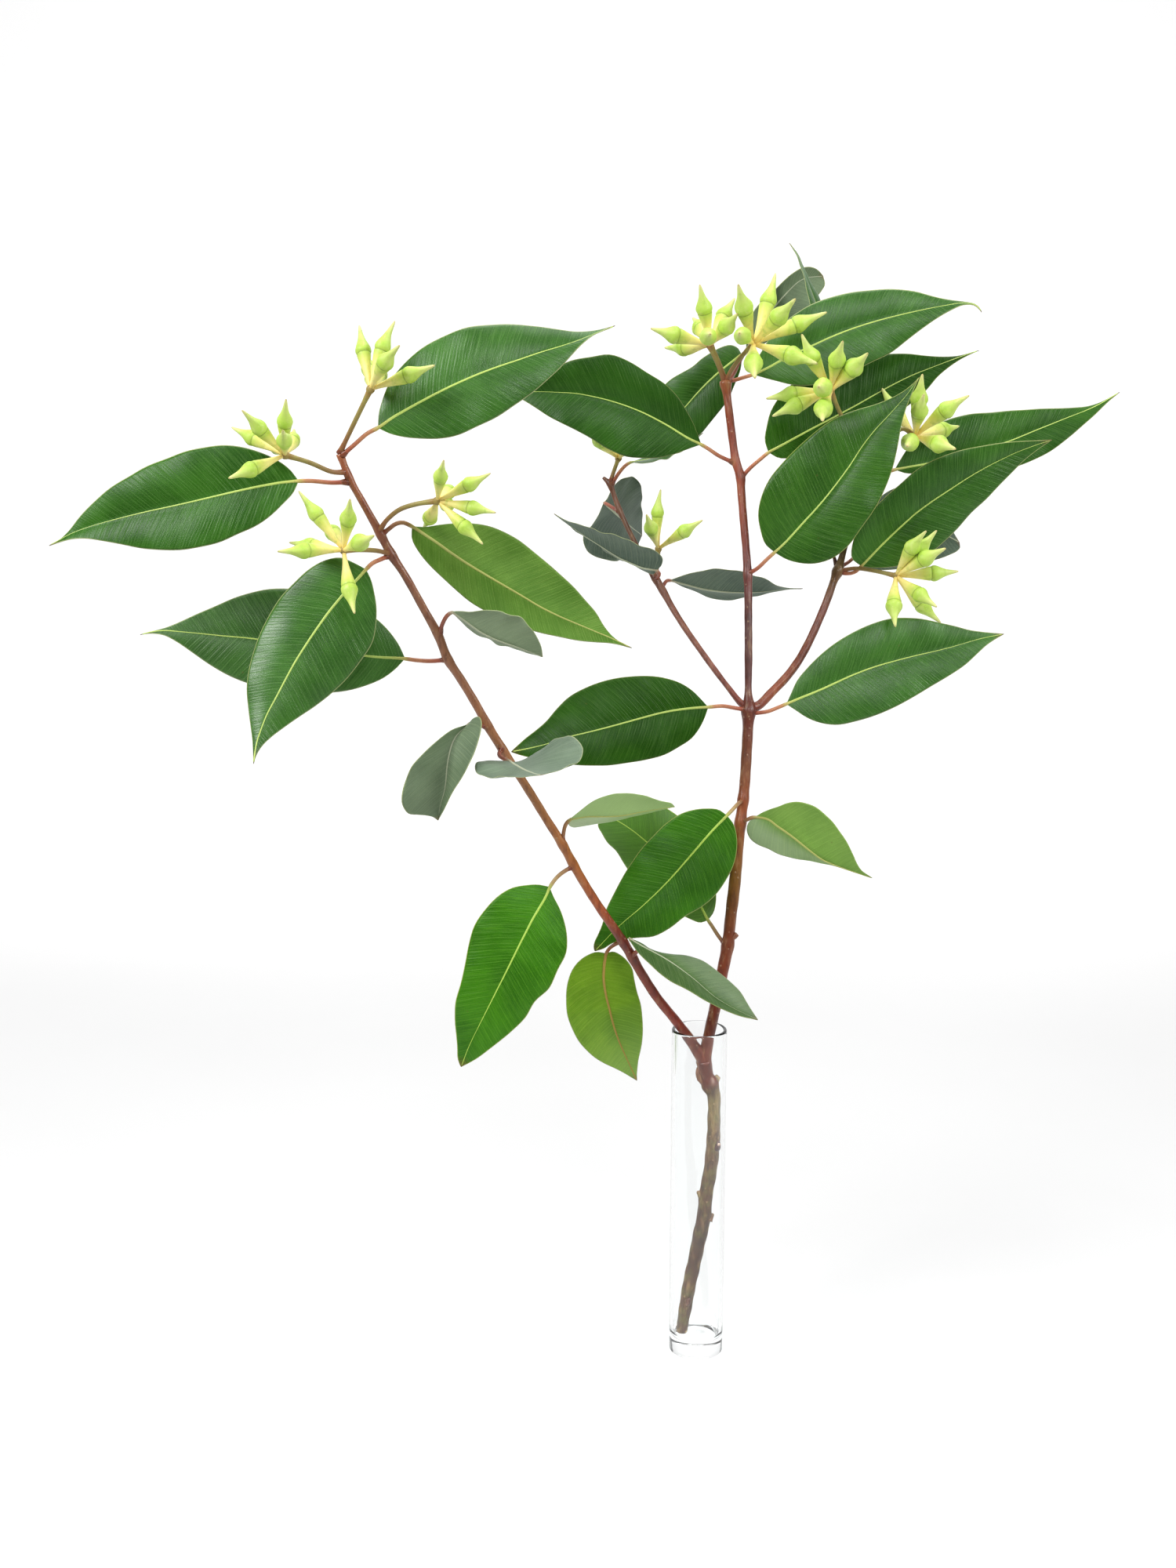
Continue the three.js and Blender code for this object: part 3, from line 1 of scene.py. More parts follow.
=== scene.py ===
# Looks for the cut eucalyptus branch in a glass tube vase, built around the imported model. Metres, +Z up.
import bpy, math
import numpy as np
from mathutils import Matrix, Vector


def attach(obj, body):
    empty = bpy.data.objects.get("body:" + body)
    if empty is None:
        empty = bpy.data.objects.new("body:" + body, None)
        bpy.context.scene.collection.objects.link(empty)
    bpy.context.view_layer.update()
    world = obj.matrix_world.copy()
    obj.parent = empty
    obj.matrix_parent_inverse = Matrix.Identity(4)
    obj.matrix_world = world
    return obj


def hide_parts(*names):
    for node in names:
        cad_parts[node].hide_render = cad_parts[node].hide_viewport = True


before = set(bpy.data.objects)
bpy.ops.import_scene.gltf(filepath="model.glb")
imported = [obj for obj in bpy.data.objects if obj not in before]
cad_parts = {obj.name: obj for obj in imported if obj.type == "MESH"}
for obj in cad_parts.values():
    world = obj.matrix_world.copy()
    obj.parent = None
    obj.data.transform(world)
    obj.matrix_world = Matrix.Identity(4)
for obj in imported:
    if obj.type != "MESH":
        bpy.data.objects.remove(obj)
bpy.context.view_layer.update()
MM = 0.001

# ------------------------------------------------------------------ layout tables, millimetres
STEMS = {
    "main_stem": [[-8.2,1.0,10.1,3.2],[-6.7,1.0,21.3,3.53],[-5.0,0.6,33.4,3.68],[-2.8,0.3,45.0,3.67],[-0.3,0.0,58.0,3.69],[2.0,-0.3,70.8,3.9],[3.8,-0.5,82.0,3.89],[4.6,-0.5,93.3,3.84],[6.5,-0.3,104.5,3.76],[8.1,0.0,115.5,3.98],[8.8,0.3,126.5,4.06],[8.8,0.4,139.0,3.9],[8.8,0.5,151.4,3.91],[6.6,0.5,158.5,4.65],[4.5,0.5,164.6,4.08],[2.7,0.3,172.4,4.33]],
    "left_branch": [[3.8,0.4,166.9,3.51],[1.8,0.0,173.8,3.72],[-2.2,-1.0,180.4,3.17],[-7.0,-2.0,187.7,2.83],[-12.9,-4.0,196.0,2.6],[-23.7,-8.0,210.7,2.5],[-32.2,-12.0,225.0,2.52],[-39.5,-16.0,239.0,2.5],[-47.7,-20.0,252.8,2.44],[-56.3,-23.0,266.2,2.37],[-64.1,-26.0,279.7,2.39],[-70.0,-29.0,290.8,2.4],[-75.6,-32.0,302.0,2.39],[-83.2,-35.0,314.9,2.25],[-90.8,-38.0,328.4,2.22],[-97.1,-41.0,339.1,2.18],[-104.6,-44.0,351.8,2.17],[-111.8,-47.0,364.1,2.24],[-118.3,-50.0,376.9,2.16],[-125.9,-53.0,390.5,2.15],[-132.2,-56.0,401.0,2.23],[-136.5,-58.5,413.0,2.18],[-143.4,-62.0,426.8,2.03],[-151.4,-66.0,442.4,2.0],[-158.0,-68.0,453.1,2.06],[-163.2,-70.5,463.8,1.94],[-170.1,-73.5,477.2,1.79],[-175.6,-75.5,487.7,1.69],[-178.1,-76.5,494.2,1.59],[-180.2,-77.5,500.4,1.49]],
    "right_branch": [[3.5,0.4,167.9,3.51],[3.5,0.3,175.2,3.72],[4.8,0.5,183.3,3.37],[6.9,1.0,194.0,3.27],[9.4,3.0,204.8,3.32],[12.7,5.0,221.3,3.32],[15.6,7.0,235.2,3.32],[17.2,9.0,250.5,3.2],[18.8,11.0,264.5,3.31],[20.3,13.0,278.5,3.22],[21.4,15.0,292.3,3.16],[23.0,17.0,306.3,3.05],[24.2,19.0,316.8,2.96],[25.3,21.0,328.2,3.01],[26.3,24.0,343.4,3.03],[27.2,27.0,358.8,3.18],[27.5,29.0,366.9,3.6],[27.3,31.0,375.0,2.18],[27.6,35.0,393.1,2.21],[27.7,40.0,415.1,2.17],[27.6,43.5,431.9,2.24],[27.4,45.5,440.9,2.33],[26.7,48.0,452.8,2.11],[25.7,50.0,465.0,2.2],[24.6,52.0,477.4,2.2],[23.8,53.5,487.3,2.31],[23.4,54.5,494.3,2.42],[20.7,56.0,502.9,2.31],[19.8,56.5,508.5,2.28],[18.0,58.0,522.1,2.3],[16.5,59.0,533.2,2.26],[15.5,60.0,540.9,2.19],[14.7,60.5,546.9,2.08]],
    "inner_twig": [[27.5,29.0,366.9,1.75],[23.3,30.0,369.5,1.86],[16.4,34.0,377.8,1.58],[8.4,40.0,388.3,1.7],[0.6,46.0,399.1,1.7],[-7.5,52.0,410.7,1.76],[-14.0,57.0,421.0,1.83],[-18.7,61.0,429.6,2.01],[-23.6,64.0,437.8,1.84],[-30.1,67.0,448.0,1.57],[-36.0,70.0,459.5,1.46],[-39.7,72.0,467.0,1.42],[-44.1,74.0,476.5,1.53],[-47.6,76.0,486.2,1.35],[-49.6,77.0,491.1,1.46],[-53.2,78.0,494.6,0.9]],
    "outer_twig": [[27.5,29.0,366.9,2.4],[33.0,31.0,368.0,2.52],[40.9,34.0,375.2,2.41],[49.0,37.0,383.2,2.37],[56.1,41.0,391.9,2.31],[62.2,45.0,402.0,2.25],[68.8,49.0,415.4,2.21],[73.4,52.0,426.1,2.22],[77.2,54.5,436.3,2.22],[79.5,56.0,441.8,2.44],[82.4,58.0,451.6,1.78],[87.2,60.0,468.3,1.55],[90.6,61.5,482.3,1.46],[92.7,62.5,495.4,1.37],[92.2,63.0,505.0,1.22]],
}
# per leaf: a darkening amount that is painted shade on inner leaves and painted light when negative, lists of painted
# shade on halves and ends, and pale patches that are part waxy bloom and part painted sheen
LEAVES = {
    "leaf_far_left": {"kind": "adult", "face": 1, "tone": 0.15, "gloss": 0.4, "pet": [[-176.7,-75.5,487.3],[-184.3,-78.0,486.9],[-193.4,-80.0,487.6]],
        "M": [[-199.5,-81.0,487.6],[-203.2,-81.1,487.2],[-208.1,-81.3,486.7],[-214.2,-81.4,485.7],[-221.5,-81.5,484.3],[-230.0,-81.4,482.5],[-239.8,-81.1,480.3],[-250.8,-80.6,477.8],[-262.0,-79.9,475.4],[-273.3,-79.0,473.1],[-284.6,-77.8,470.5],[-294.7,-76.5,468.0],[-303.6,-75.3,465.5],[-311.1,-74.2,462.8],[-317.1,-73.1,459.9],[-320.7,-72.5,458.1],[-323.2,-72.0,456.9]],
        "A": [[-199.5,-81.0,487.6],[-203.6,-80.5,492.9],[-209.4,-80.1,497.2],[-216.9,-79.7,500.8],[-226.0,-79.2,503.4],[-236.5,-78.8,504.2],[-248.0,-78.2,502.5],[-260.3,-77.6,499.3],[-271.9,-77.0,495.0],[-282.6,-76.3,489.4],[-292.7,-75.5,482.8],[-301.0,-74.7,476.3],[-307.5,-73.9,470.0],[-312.6,-73.2,464.2],[-317.5,-72.6,459.9],[-320.9,-72.2,458.1],[-323.2,-72.0,456.9]],
        "B": [[-199.5,-81.0,487.6],[-202.0,-82.7,481.9],[-206.6,-84.1,476.8],[-212.2,-85.4,471.4],[-219.4,-86.6,466.5],[-228.3,-87.5,462.5],[-238.2,-87.8,458.4],[-249.7,-87.6,455.6],[-261.3,-86.7,454.9],[-272.7,-85.2,455.7],[-283.9,-83.2,457.6],[-293.9,-80.9,459.3],[-302.7,-78.6,460.4],[-310.4,-76.4,460.1],[-316.8,-74.3,458.7],[-320.6,-73.0,457.6],[-323.2,-72.0,456.9]]},
    "leaf_top_left": {"kind": "adult", "face": 1, "pet": [[-179.4,-77.5,499.4],[-172.9,-80.0,504.4],[-166.2,-82.0,509.6]],
        "M": [[-161.0,-83.0,512.0],[-157.9,-83.4,514.1],[-153.8,-83.8,516.8],[-148.4,-84.2,519.8],[-141.9,-84.6,523.2],[-134.3,-84.9,527.1],[-125.5,-84.9,531.3],[-115.4,-84.6,535.7],[-105.2,-83.9,539.6],[-94.8,-82.9,543.1],[-84.5,-81.5,546.7],[-75.2,-80.0,549.6],[-67.0,-78.4,552.4],[-60.2,-76.9,555.2],[-54.5,-75.5,557.6],[-51.1,-74.6,559.0],[-48.9,-74.0,560.0]],
        "A": [[-161.0,-83.0,512.0],[-160.7,-81.8,518.7],[-158.7,-81.0,525.6],[-155.4,-80.2,533.2],[-149.9,-79.5,540.7],[-142.3,-78.8,547.6],[-132.7,-78.2,553.5],[-121.1,-77.6,557.7],[-109.3,-77.1,559.7],[-97.7,-76.6,560.1],[-86.3,-76.1,559.6],[-76.5,-75.6,558.0],[-67.9,-75.1,557.0],[-60.6,-74.7,557.3],[-54.6,-74.3,558.4],[-51.2,-74.0,559.4],[-48.9,-74.0,560.0]],
        "B": [[-161.0,-83.0,512.0],[-155.2,-84.1,509.3],[-148.4,-85.0,507.7],[-140.6,-86.0,506.9],[-131.7,-86.8,506.8],[-122.2,-87.5,508.6],[-112.5,-87.8,513.0],[-102.3,-87.6,518.4],[-93.0,-86.8,524.4],[-84.2,-85.6,530.8],[-76.4,-83.8,538.0],[-70.1,-81.8,544.9],[-64.6,-79.8,550.8],[-59.2,-77.8,555.1],[-54.1,-76.0,557.6],[-50.9,-74.8,559.0],[-48.9,-74.0,560.0]]},
    "leaf_left_drooping": {"kind": "adult", "face": 1, "gloss": 1.0, "pet": [[-158.6,-68.0,452.3],[-162.4,-73.0,450.5],[-166.0,-76.0,448.7]],
        "M": [[-169.0,-77.0,445.9],[-171.2,-77.0,443.4],[-174.2,-77.0,440.2],[-178.1,-77.2,436.2],[-182.5,-77.5,431.2],[-187.4,-78.1,425.3],[-192.6,-79.1,418.2],[-198.2,-80.5,410.0],[-203.4,-82.2,401.8],[-208.1,-84.3,393.2],[-212.5,-86.8,384.6],[-216.4,-89.3,377.1],[-219.0,-91.7,370.2],[-220.8,-93.9,364.2],[-221.6,-95.9,359.0],[-221.8,-97.2,355.9],[-221.9,-98.0,353.8]],
        "A": [[-169.0,-77.0,445.9],[-174.9,-75.8,448.9],[-181.4,-75.0,451.4],[-189.4,-74.3,450.0],[-197.4,-73.9,445.6],[-204.9,-73.8,438.7],[-212.4,-74.3,430.6],[-218.7,-75.5,420.5],[-223.2,-77.3,409.9],[-226.1,-79.8,399.2],[-227.2,-82.9,388.5],[-226.1,-86.2,379.2],[-224.6,-89.4,371.3],[-223.3,-92.3,364.7],[-222.6,-95.0,359.2],[-222.2,-96.8,356.0],[-221.9,-98.0,353.8]],
        "B": [[-169.0,-77.0,445.9],[-166.7,-76.3,440.7],[-165.4,-75.8,434.6],[-164.5,-75.5,427.5],[-165.0,-75.3,419.4],[-167.0,-75.5,410.6],[-172.2,-76.2,402.1],[-178.8,-77.5,393.7],[-186.1,-79.3,386.6],[-194.0,-81.6,380.6],[-201.8,-84.5,375.1],[-208.5,-87.4,370.5],[-214.0,-90.3,366.4],[-218.2,-93.0,362.4],[-220.7,-95.4,358.4],[-221.6,-96.9,355.7],[-221.9,-98.0,353.8]]},
    "leaf_left_behind": {"kind": "adult", "face": 1, "tone": -0.05, "pet": [[-132.2,-56.0,400.6],[-141.1,-55.0,399.8],[-148.4,-54.0,400.2]],
        "M": [[-153.7,-53.0,400.9],[-157.7,-52.5,401.1],[-163.2,-51.9,401.3],[-170.0,-51.3,401.7],[-178.1,-50.6,402.6],[-187.4,-50.1,404.1],[-198.1,-49.8,405.9],[-210.1,-49.7,407.7],[-221.9,-50.0,409.5],[-233.8,-50.7,411.1],[-245.6,-51.7,412.2],[-255.9,-53.0,413.4],[-264.9,-54.2,414.3],[-272.6,-55.5,415.0],[-278.9,-56.7,414.6],[-282.6,-57.5,413.7],[-285.1,-58.0,413.0]],
        "A": [[-153.7,-53.0,400.9],[-156.8,-51.6,407.5],[-161.4,-50.3,413.9],[-167.8,-49.0,420.2],[-176.4,-47.7,425.7],[-186.7,-46.7,430.4],[-198.7,-45.9,433.8],[-212.0,-45.7,435.4],[-225.0,-46.1,435.0],[-237.2,-47.1,431.9],[-248.5,-48.7,427.1],[-258.2,-50.5,422.9],[-266.4,-52.4,419.1],[-273.4,-54.3,416.3],[-279.3,-56.0,414.7],[-282.8,-57.1,413.7],[-285.1,-58.0,413.0]],
        "B": [[-153.7,-53.0,400.9],[-158.6,-53.2,395.7],[-164.8,-53.1,391.1],[-172.9,-53.0,387.5],[-182.4,-52.9,384.8],[-193.3,-52.7,383.6],[-205.3,-52.7,383.6],[-218.2,-52.7,384.7],[-230.3,-53.0,387.5],[-241.6,-53.4,391.9],[-251.6,-54.0,397.8],[-259.8,-54.8,403.9],[-266.8,-55.6,409.0],[-273.1,-56.5,412.6],[-279.1,-57.2,413.6],[-282.7,-57.7,413.4],[-285.1,-58.0,413.0]]},
    "leaf_left_hanging": {"kind": "bright", "face": -1, "tone": 0.1, "shade": [[0.4, 1, 0.75, 0.1], [0.2, 0, 0.4, 0]], "pet": [[-162.4,-70.0,462.2],[-158.7,-71.0,464.8],[-155.1,-71.0,467.4],[-151.6,-70.0,468.1]],
        "M": [[-147.5,-68.0,466.4],[-144.6,-66.8,464.4],[-140.7,-65.3,461.7],[-135.8,-63.4,458.3],[-130.0,-61.3,454.0],[-123.0,-59.0,449.1],[-114.8,-56.5,443.9],[-105.2,-54.0,438.1],[-95.6,-51.8,432.4],[-85.9,-49.8,426.5],[-75.7,-48.0,421.4],[-66.4,-46.7,417.4],[-58.1,-45.7,413.9],[-51.0,-45.0,410.9],[-45.2,-44.4,408.2],[-41.8,-44.2,406.5],[-39.4,-44.0,405.4]],
        "A": [[-147.5,-68.0,466.4],[-141.4,-65.0,466.1],[-134.8,-62.0,467.1],[-127.2,-58.8,467.9],[-118.6,-55.4,467.8],[-109.1,-52.1,465.9],[-99.3,-48.9,461.3],[-89.6,-46.0,454.7],[-81.0,-44.0,446.9],[-72.6,-42.6,439.4],[-64.8,-41.9,431.4],[-58.3,-41.7,424.1],[-54.0,-42.0,416.8],[-49.5,-42.4,411.3],[-44.7,-43.0,407.9],[-41.5,-43.5,406.4],[-39.4,-44.0,405.4]],
        "B": [[-147.5,-68.0,466.4],[-147.7,-67.5,460.3],[-144.8,-66.5,454.2],[-140.1,-65.2,448.1],[-133.9,-63.5,441.9],[-126.8,-61.6,435.1],[-118.6,-59.4,428.2],[-108.4,-57.0,422.3],[-97.8,-54.7,417.8],[-87.1,-52.5,414.1],[-76.3,-50.3,411.4],[-66.7,-48.5,409.5],[-58.2,-47.1,408.6],[-51.1,-45.9,408.1],[-45.2,-45.0,406.9],[-41.7,-44.4,405.9],[-39.4,-44.0,405.4]]},
    "leaf_left_grey_small": {"kind": "grey", "face": -1, "tone": -0.55, "warm": 0.15, "pet": [[-135.7,-58.5,414.0],[-133.7,-63.0,419.1],[-131.3,-66.0,422.9]],
        "M": [[-128.9,-67.0,425.1],[-127.6,-67.4,424.2],[-126.0,-68.0,423.1],[-123.9,-68.5,421.7],[-121.4,-69.1,420.0],[-118.5,-69.6,417.9],[-115.3,-70.0,415.6],[-111.4,-70.1,413.4],[-107.2,-70.0,411.5],[-103.0,-69.5,409.9],[-98.8,-68.8,408.4],[-95.0,-67.9,407.0],[-91.7,-66.9,405.7],[-88.9,-65.9,404.6],[-86.6,-65.0,403.6],[-85.2,-64.4,402.9],[-84.3,-64.0,402.6]],
        "A": [[-128.9,-67.0,425.1],[-125.9,-69.7,425.4],[-122.7,-72.0,425.5],[-119.1,-74.3,425.4],[-115.2,-76.5,425.8],[-110.8,-78.3,426.2],[-106.1,-79.6,426.1],[-101.2,-80.1,425.3],[-96.8,-79.7,423.4],[-92.7,-78.5,421.0],[-89.5,-76.5,417.7],[-87.4,-74.1,414.1],[-85.9,-71.5,410.8],[-84.9,-69.1,407.8],[-84.5,-66.8,405.2],[-84.4,-65.2,403.6],[-84.3,-64.0,402.6]],
        "B": [[-128.9,-67.0,425.1],[-127.5,-64.0,423.0],[-125.9,-61.9,421.0],[-123.8,-59.9,418.8],[-121.4,-58.1,416.4],[-118.5,-56.6,413.9],[-114.8,-55.6,411.8],[-110.6,-55.1,409.9],[-106.4,-55.3,408.3],[-102.3,-56.1,407.0],[-98.1,-57.2,405.8],[-94.5,-58.6,404.9],[-91.3,-59.9,404.1],[-88.7,-61.2,403.5],[-86.5,-62.4,403.0],[-85.2,-63.2,402.7],[-84.3,-64.0,402.6]]},
    "leaf_left_grey_cupped": {"kind": "grey", "face": -1, "tone": -0.2, "warm": 0.2, "pet": [[-113.5,-47.0,365.7],[-117.6,-52.0,367.4],[-119.7,-54.0,368.8]],
        "M": [[-121.6,-55.0,368.3],[-122.8,-56.1,367.4],[-124.3,-57.6,366.2],[-126.2,-59.2,364.6],[-128.2,-60.9,362.4],[-129.8,-62.6,359.4],[-130.9,-64.2,355.5],[-131.8,-65.4,351.0],[-132.4,-66.0,346.4],[-132.8,-66.2,341.6],[-133.5,-65.7,336.8],[-134.7,-64.9,332.5],[-135.9,-63.8,328.7],[-136.7,-62.6,325.3],[-137.2,-61.4,322.4],[-137.6,-60.6,320.7],[-137.8,-60.0,319.5]],
        "A": [[-121.6,-55.0,368.3],[-125.0,-58.9,367.5],[-128.6,-62.5,366.6],[-132.3,-66.1,364.8],[-136.2,-69.7,362.1],[-140.2,-73.0,358.7],[-144.5,-75.7,354.5],[-148.7,-77.4,349.5],[-151.6,-77.8,343.5],[-153.5,-76.9,337.1],[-153.9,-75.0,330.3],[-151.4,-72.3,325.3],[-147.0,-69.3,324.1],[-143.2,-66.3,323.3],[-140.2,-63.5,322.1],[-138.7,-61.5,320.6],[-137.8,-60.0,319.5]],
        "B": [[-121.6,-55.0,368.3],[-119.6,-58.9,371.4],[-116.3,-62.5,372.7],[-114.7,-66.1,369.9],[-115.0,-69.7,366.1],[-116.0,-73.0,361.8],[-117.6,-75.7,357.3],[-119.7,-77.4,352.3],[-122.2,-77.8,347.4],[-125.0,-76.9,342.6],[-128.1,-75.0,337.9],[-130.6,-72.3,333.4],[-132.6,-69.3,329.2],[-134.4,-66.3,325.6],[-136.1,-63.5,322.6],[-137.1,-61.5,320.8],[-137.8,-60.0,319.5]]},
    "leaf_stem_crossing": {"kind": "grey", "face": -1, "tone": -0.2, "pet": [[-106.3,-45.0,354.4],[-107.1,-51.0,351.8],[-104.7,-56.0,350.6]],
        "M": [[-101.4,-59.0,349.7],[-100.9,-60.8,349.7],[-100.2,-63.2,349.6],[-99.3,-66.3,349.6],[-98.3,-70.1,349.6],[-97.0,-74.6,349.7],[-95.6,-80.0,349.8],[-94.0,-86.2,350.0],[-92.4,-92.7,350.3],[-90.8,-99.4,350.7],[-89.1,-106.4,351.3],[-87.7,-112.7,351.8],[-86.4,-118.4,352.3],[-85.3,-123.4,352.9],[-84.4,-127.7,353.4],[-83.8,-130.3,353.7],[-83.5,-132.0,353.9]],
        "A": [[-101.4,-59.0,349.7],[-104.1,-59.9,350.0],[-106.8,-61.6,350.4],[-110.0,-64.0,350.8],[-113.4,-67.1,351.1],[-116.9,-71.2,350.2],[-117.4,-76.2,347.2],[-112.9,-82.2,346.0],[-107.9,-88.8,346.3],[-103.1,-95.8,347.3],[-98.4,-103.3,348.4],[-94.4,-110.2,349.6],[-91.0,-116.6,350.8],[-88.1,-122.2,351.9],[-85.8,-127.0,352.9],[-84.4,-129.9,353.5],[-83.5,-132.0,353.9]],
        "B": [[-101.4,-59.0,349.7],[-98.0,-59.9,349.3],[-94.3,-61.6,350.5],[-90.6,-64.0,353.0],[-86.7,-67.1,356.2],[-82.4,-71.2,359.9],[-77.2,-76.2,363.2],[-71.1,-82.2,364.7],[-65.8,-88.8,363.4],[-64.6,-95.8,359.2],[-67.2,-103.3,355.4],[-71.4,-110.2,354.3],[-75.1,-116.6,353.9],[-78.3,-122.2,353.8],[-80.9,-127.0,353.8],[-82.5,-129.9,353.8],[-83.5,-132.0,353.9]]},
    "leaf_inner_dark": {"kind": "adult", "face": 1, "tone": 0.75, "warm": 0.35, "gloss": 0.6, "pet": [[25.7,28.0,366.1],[20.6,25.0,367.1],[12.6,23.0,368.6]],
        "M": [[4.5,22.0,368.1],[1.1,21.6,368.0],[-3.4,21.0,367.8],[-9.0,20.1,367.3],[-15.7,18.8,366.5],[-23.5,17.0,365.1],[-32.1,14.6,363.1],[-41.9,11.3,360.8],[-51.6,7.6,358.6],[-61.2,3.3,356.7],[-70.8,-1.5,355.0],[-79.0,-6.2,353.0],[-86.2,-10.7,351.4],[-92.4,-14.7,350.4],[-97.5,-18.3,349.8],[-100.6,-20.5,349.5],[-102.6,-22.0,349.3]],
        "A": [[4.5,22.0,368.1],[0.2,22.3,372.8],[-4.7,22.2,377.5],[-11.3,21.8,381.6],[-19.6,21.0,384.3],[-29.2,19.6,385.6],[-39.8,17.4,385.5],[-51.0,14.3,383.9],[-61.5,10.5,380.8],[-70.9,6.0,376.3],[-78.6,0.8,369.9],[-84.3,-4.3,363.6],[-90.1,-9.3,359.0],[-95.1,-13.8,355.5],[-99.0,-17.8,352.4],[-101.2,-20.2,350.6],[-102.6,-22.0,349.3]],
        "B": [[4.5,22.0,368.1],[2.5,20.7,362.5],[-0.4,19.4,356.8],[-5.0,17.8,351.1],[-11.9,15.9,346.7],[-20.1,13.5,342.7],[-29.9,10.7,340.4],[-40.8,7.3,339.1],[-51.3,3.6,338.3],[-61.5,-0.3,338.7],[-71.4,-4.6,340.0],[-79.9,-8.7,341.7],[-87.1,-12.5,343.5],[-93.1,-16.0,345.4],[-98.0,-19.0,347.2],[-100.8,-20.8,348.4],[-102.6,-22.0,349.3]]},
    "leaf_low_pale": {"kind": "bright", "face": -1, "tone": -0.95, "warm": 0.25, "bloom": [[0.22, 0, -0.1, 0], [0.42, 1, 0.7, 0]], "wave": 0.12, "pet": [[-75.4,-32.0,301.6],[-74.9,-33.0,307.1],[-73.7,-34.0,312.5]],
        "M": [[-71.4,-35.0,315.7],[-69.7,-35.0,316.0],[-67.6,-34.9,316.3],[-64.8,-34.7,316.7],[-61.5,-34.5,317.0],[-57.6,-34.1,316.9],[-53.2,-33.6,316.8],[-48.2,-32.8,316.8],[-43.2,-31.9,317.1],[-38.3,-30.8,317.9],[-33.3,-29.6,318.7],[-28.9,-28.3,319.3],[-25.0,-27.1,319.7],[-21.7,-26.0,320.0],[-18.8,-25.0,320.2],[-17.1,-24.4,320.3],[-16.0,-24.0,320.3]],
        "A": [[-71.4,-35.0,315.7],[-69.1,-38.9,318.3],[-66.6,-41.8,320.8],[-63.8,-44.6,323.6],[-60.6,-47.0,326.5],[-56.8,-48.9,328.9],[-52.2,-49.9,330.7],[-47.1,-49.8,331.6],[-42.0,-48.5,331.6],[-36.9,-46.0,330.8],[-32.0,-42.6,329.2],[-27.8,-38.8,327.1],[-24.1,-35.0,325.3],[-20.8,-31.4,324.1],[-18.1,-28.0,322.9],[-16.8,-25.8,321.4],[-16.0,-24.0,320.3]],
        "B": [[-71.4,-35.0,315.7],[-72.2,-30.4,311.9],[-69.9,-26.7,309.8],[-66.3,-23.2,309.4],[-62.2,-19.8,309.5],[-57.7,-16.8,309.7],[-52.6,-14.4,310.1],[-47.2,-12.8,310.8],[-41.9,-12.4,311.9],[-36.9,-12.9,313.2],[-31.9,-14.2,314.6],[-27.6,-15.9,316.0],[-24.0,-17.8,317.2],[-20.9,-19.7,318.3],[-18.4,-21.5,319.3],[-17.0,-22.8,319.9],[-16.0,-24.0,320.3]]},
    "leaf_low_behind": {"kind": "young", "face": 1, "tone": -0.2, "warm": 0.5, "pet": [[14.6,7.0,236.5],[10.4,10.0,241.7],[7.3,13.0,246.2]],
        "M": [[5.2,15.0,248.9],[4.1,16.0,251.0],[2.7,17.3,253.8],[0.7,18.7,257.4],[-1.7,20.2,261.6],[-4.8,21.6,266.5],[-9.0,22.9,271.8],[-14.2,23.7,277.4],[-19.6,24.0,283.0],[-25.3,23.8,288.5],[-31.1,23.0,293.8],[-36.5,21.8,298.4],[-41.4,20.4,302.1],[-45.8,19.0,305.0],[-49.5,17.6,307.4],[-51.8,16.6,308.9],[-53.3,16.0,309.8]],
        "A": [[5.2,15.0,248.9],[8.4,16.5,253.1],[9.8,18.1,258.5],[9.9,19.9,265.0],[8.9,21.7,272.2],[6.7,23.4,280.1],[3.4,24.8,288.5],[-1.3,25.7,297.3],[-8.3,26.0,304.0],[-16.0,25.6,309.6],[-24.5,24.5,313.5],[-32.5,23.0,315.0],[-39.4,21.3,315.0],[-45.2,19.6,314.2],[-49.6,17.9,312.6],[-51.8,16.8,310.9],[-53.3,16.0,309.8]],
        "B": [[5.2,15.0,248.9],[0.9,16.5,247.2],[-3.6,18.1,248.4],[-8.7,19.9,250.4],[-14.4,21.7,252.6],[-20.4,23.4,256.0],[-26.5,24.8,260.6],[-32.3,25.7,266.6],[-37.7,26.0,272.9],[-42.1,25.6,279.8],[-46.3,24.5,286.7],[-51.2,23.0,291.8],[-54.2,21.3,297.2],[-56.5,19.6,302.0],[-55.6,17.9,306.2],[-54.2,16.8,308.3],[-53.3,16.0,309.8]]},
    "leaf_low_right_front": {"kind": "young", "face": 1, "tone": 0.26, "warm": 0.35, "shade": [[0.15, 0, 0.5, 1]], "pet": [[24.0,19.0,316.4],[20.2,10.0,315.7],[17.0,5.0,313.5]],
        "M": [[13.9,2.0,311.0],[11.8,2.1,308.7],[8.9,2.1,305.7],[5.4,2.1,301.9],[1.3,1.8,297.2],[-3.4,1.2,291.7],[-8.9,0.3,285.4],[-15.0,-0.8,278.5],[-21.4,-2.1,271.8],[-28.2,-3.5,265.4],[-35.1,-4.7,259.3],[-41.5,-5.7,254.1],[-46.9,-6.4,249.2],[-51.2,-6.8,244.8],[-54.8,-7.0,240.9],[-56.9,-7.0,238.6],[-58.3,-7.0,237.0]],
        "A": [[13.9,2.0,311.0],[9.3,2.6,314.1],[3.1,3.0,314.7],[-3.9,3.2,314.0],[-11.5,3.2,311.6],[-18.8,3.0,306.7],[-25.9,2.3,300.0],[-33.0,1.2,292.3],[-38.9,-0.2,284.1],[-44.0,-1.7,275.6],[-48.5,-3.2,267.1],[-52.2,-4.5,259.5],[-54.0,-5.4,252.4],[-56.3,-6.1,246.7],[-58.5,-6.6,242.0],[-58.9,-6.8,239.0],[-58.3,-7.0,237.0]],
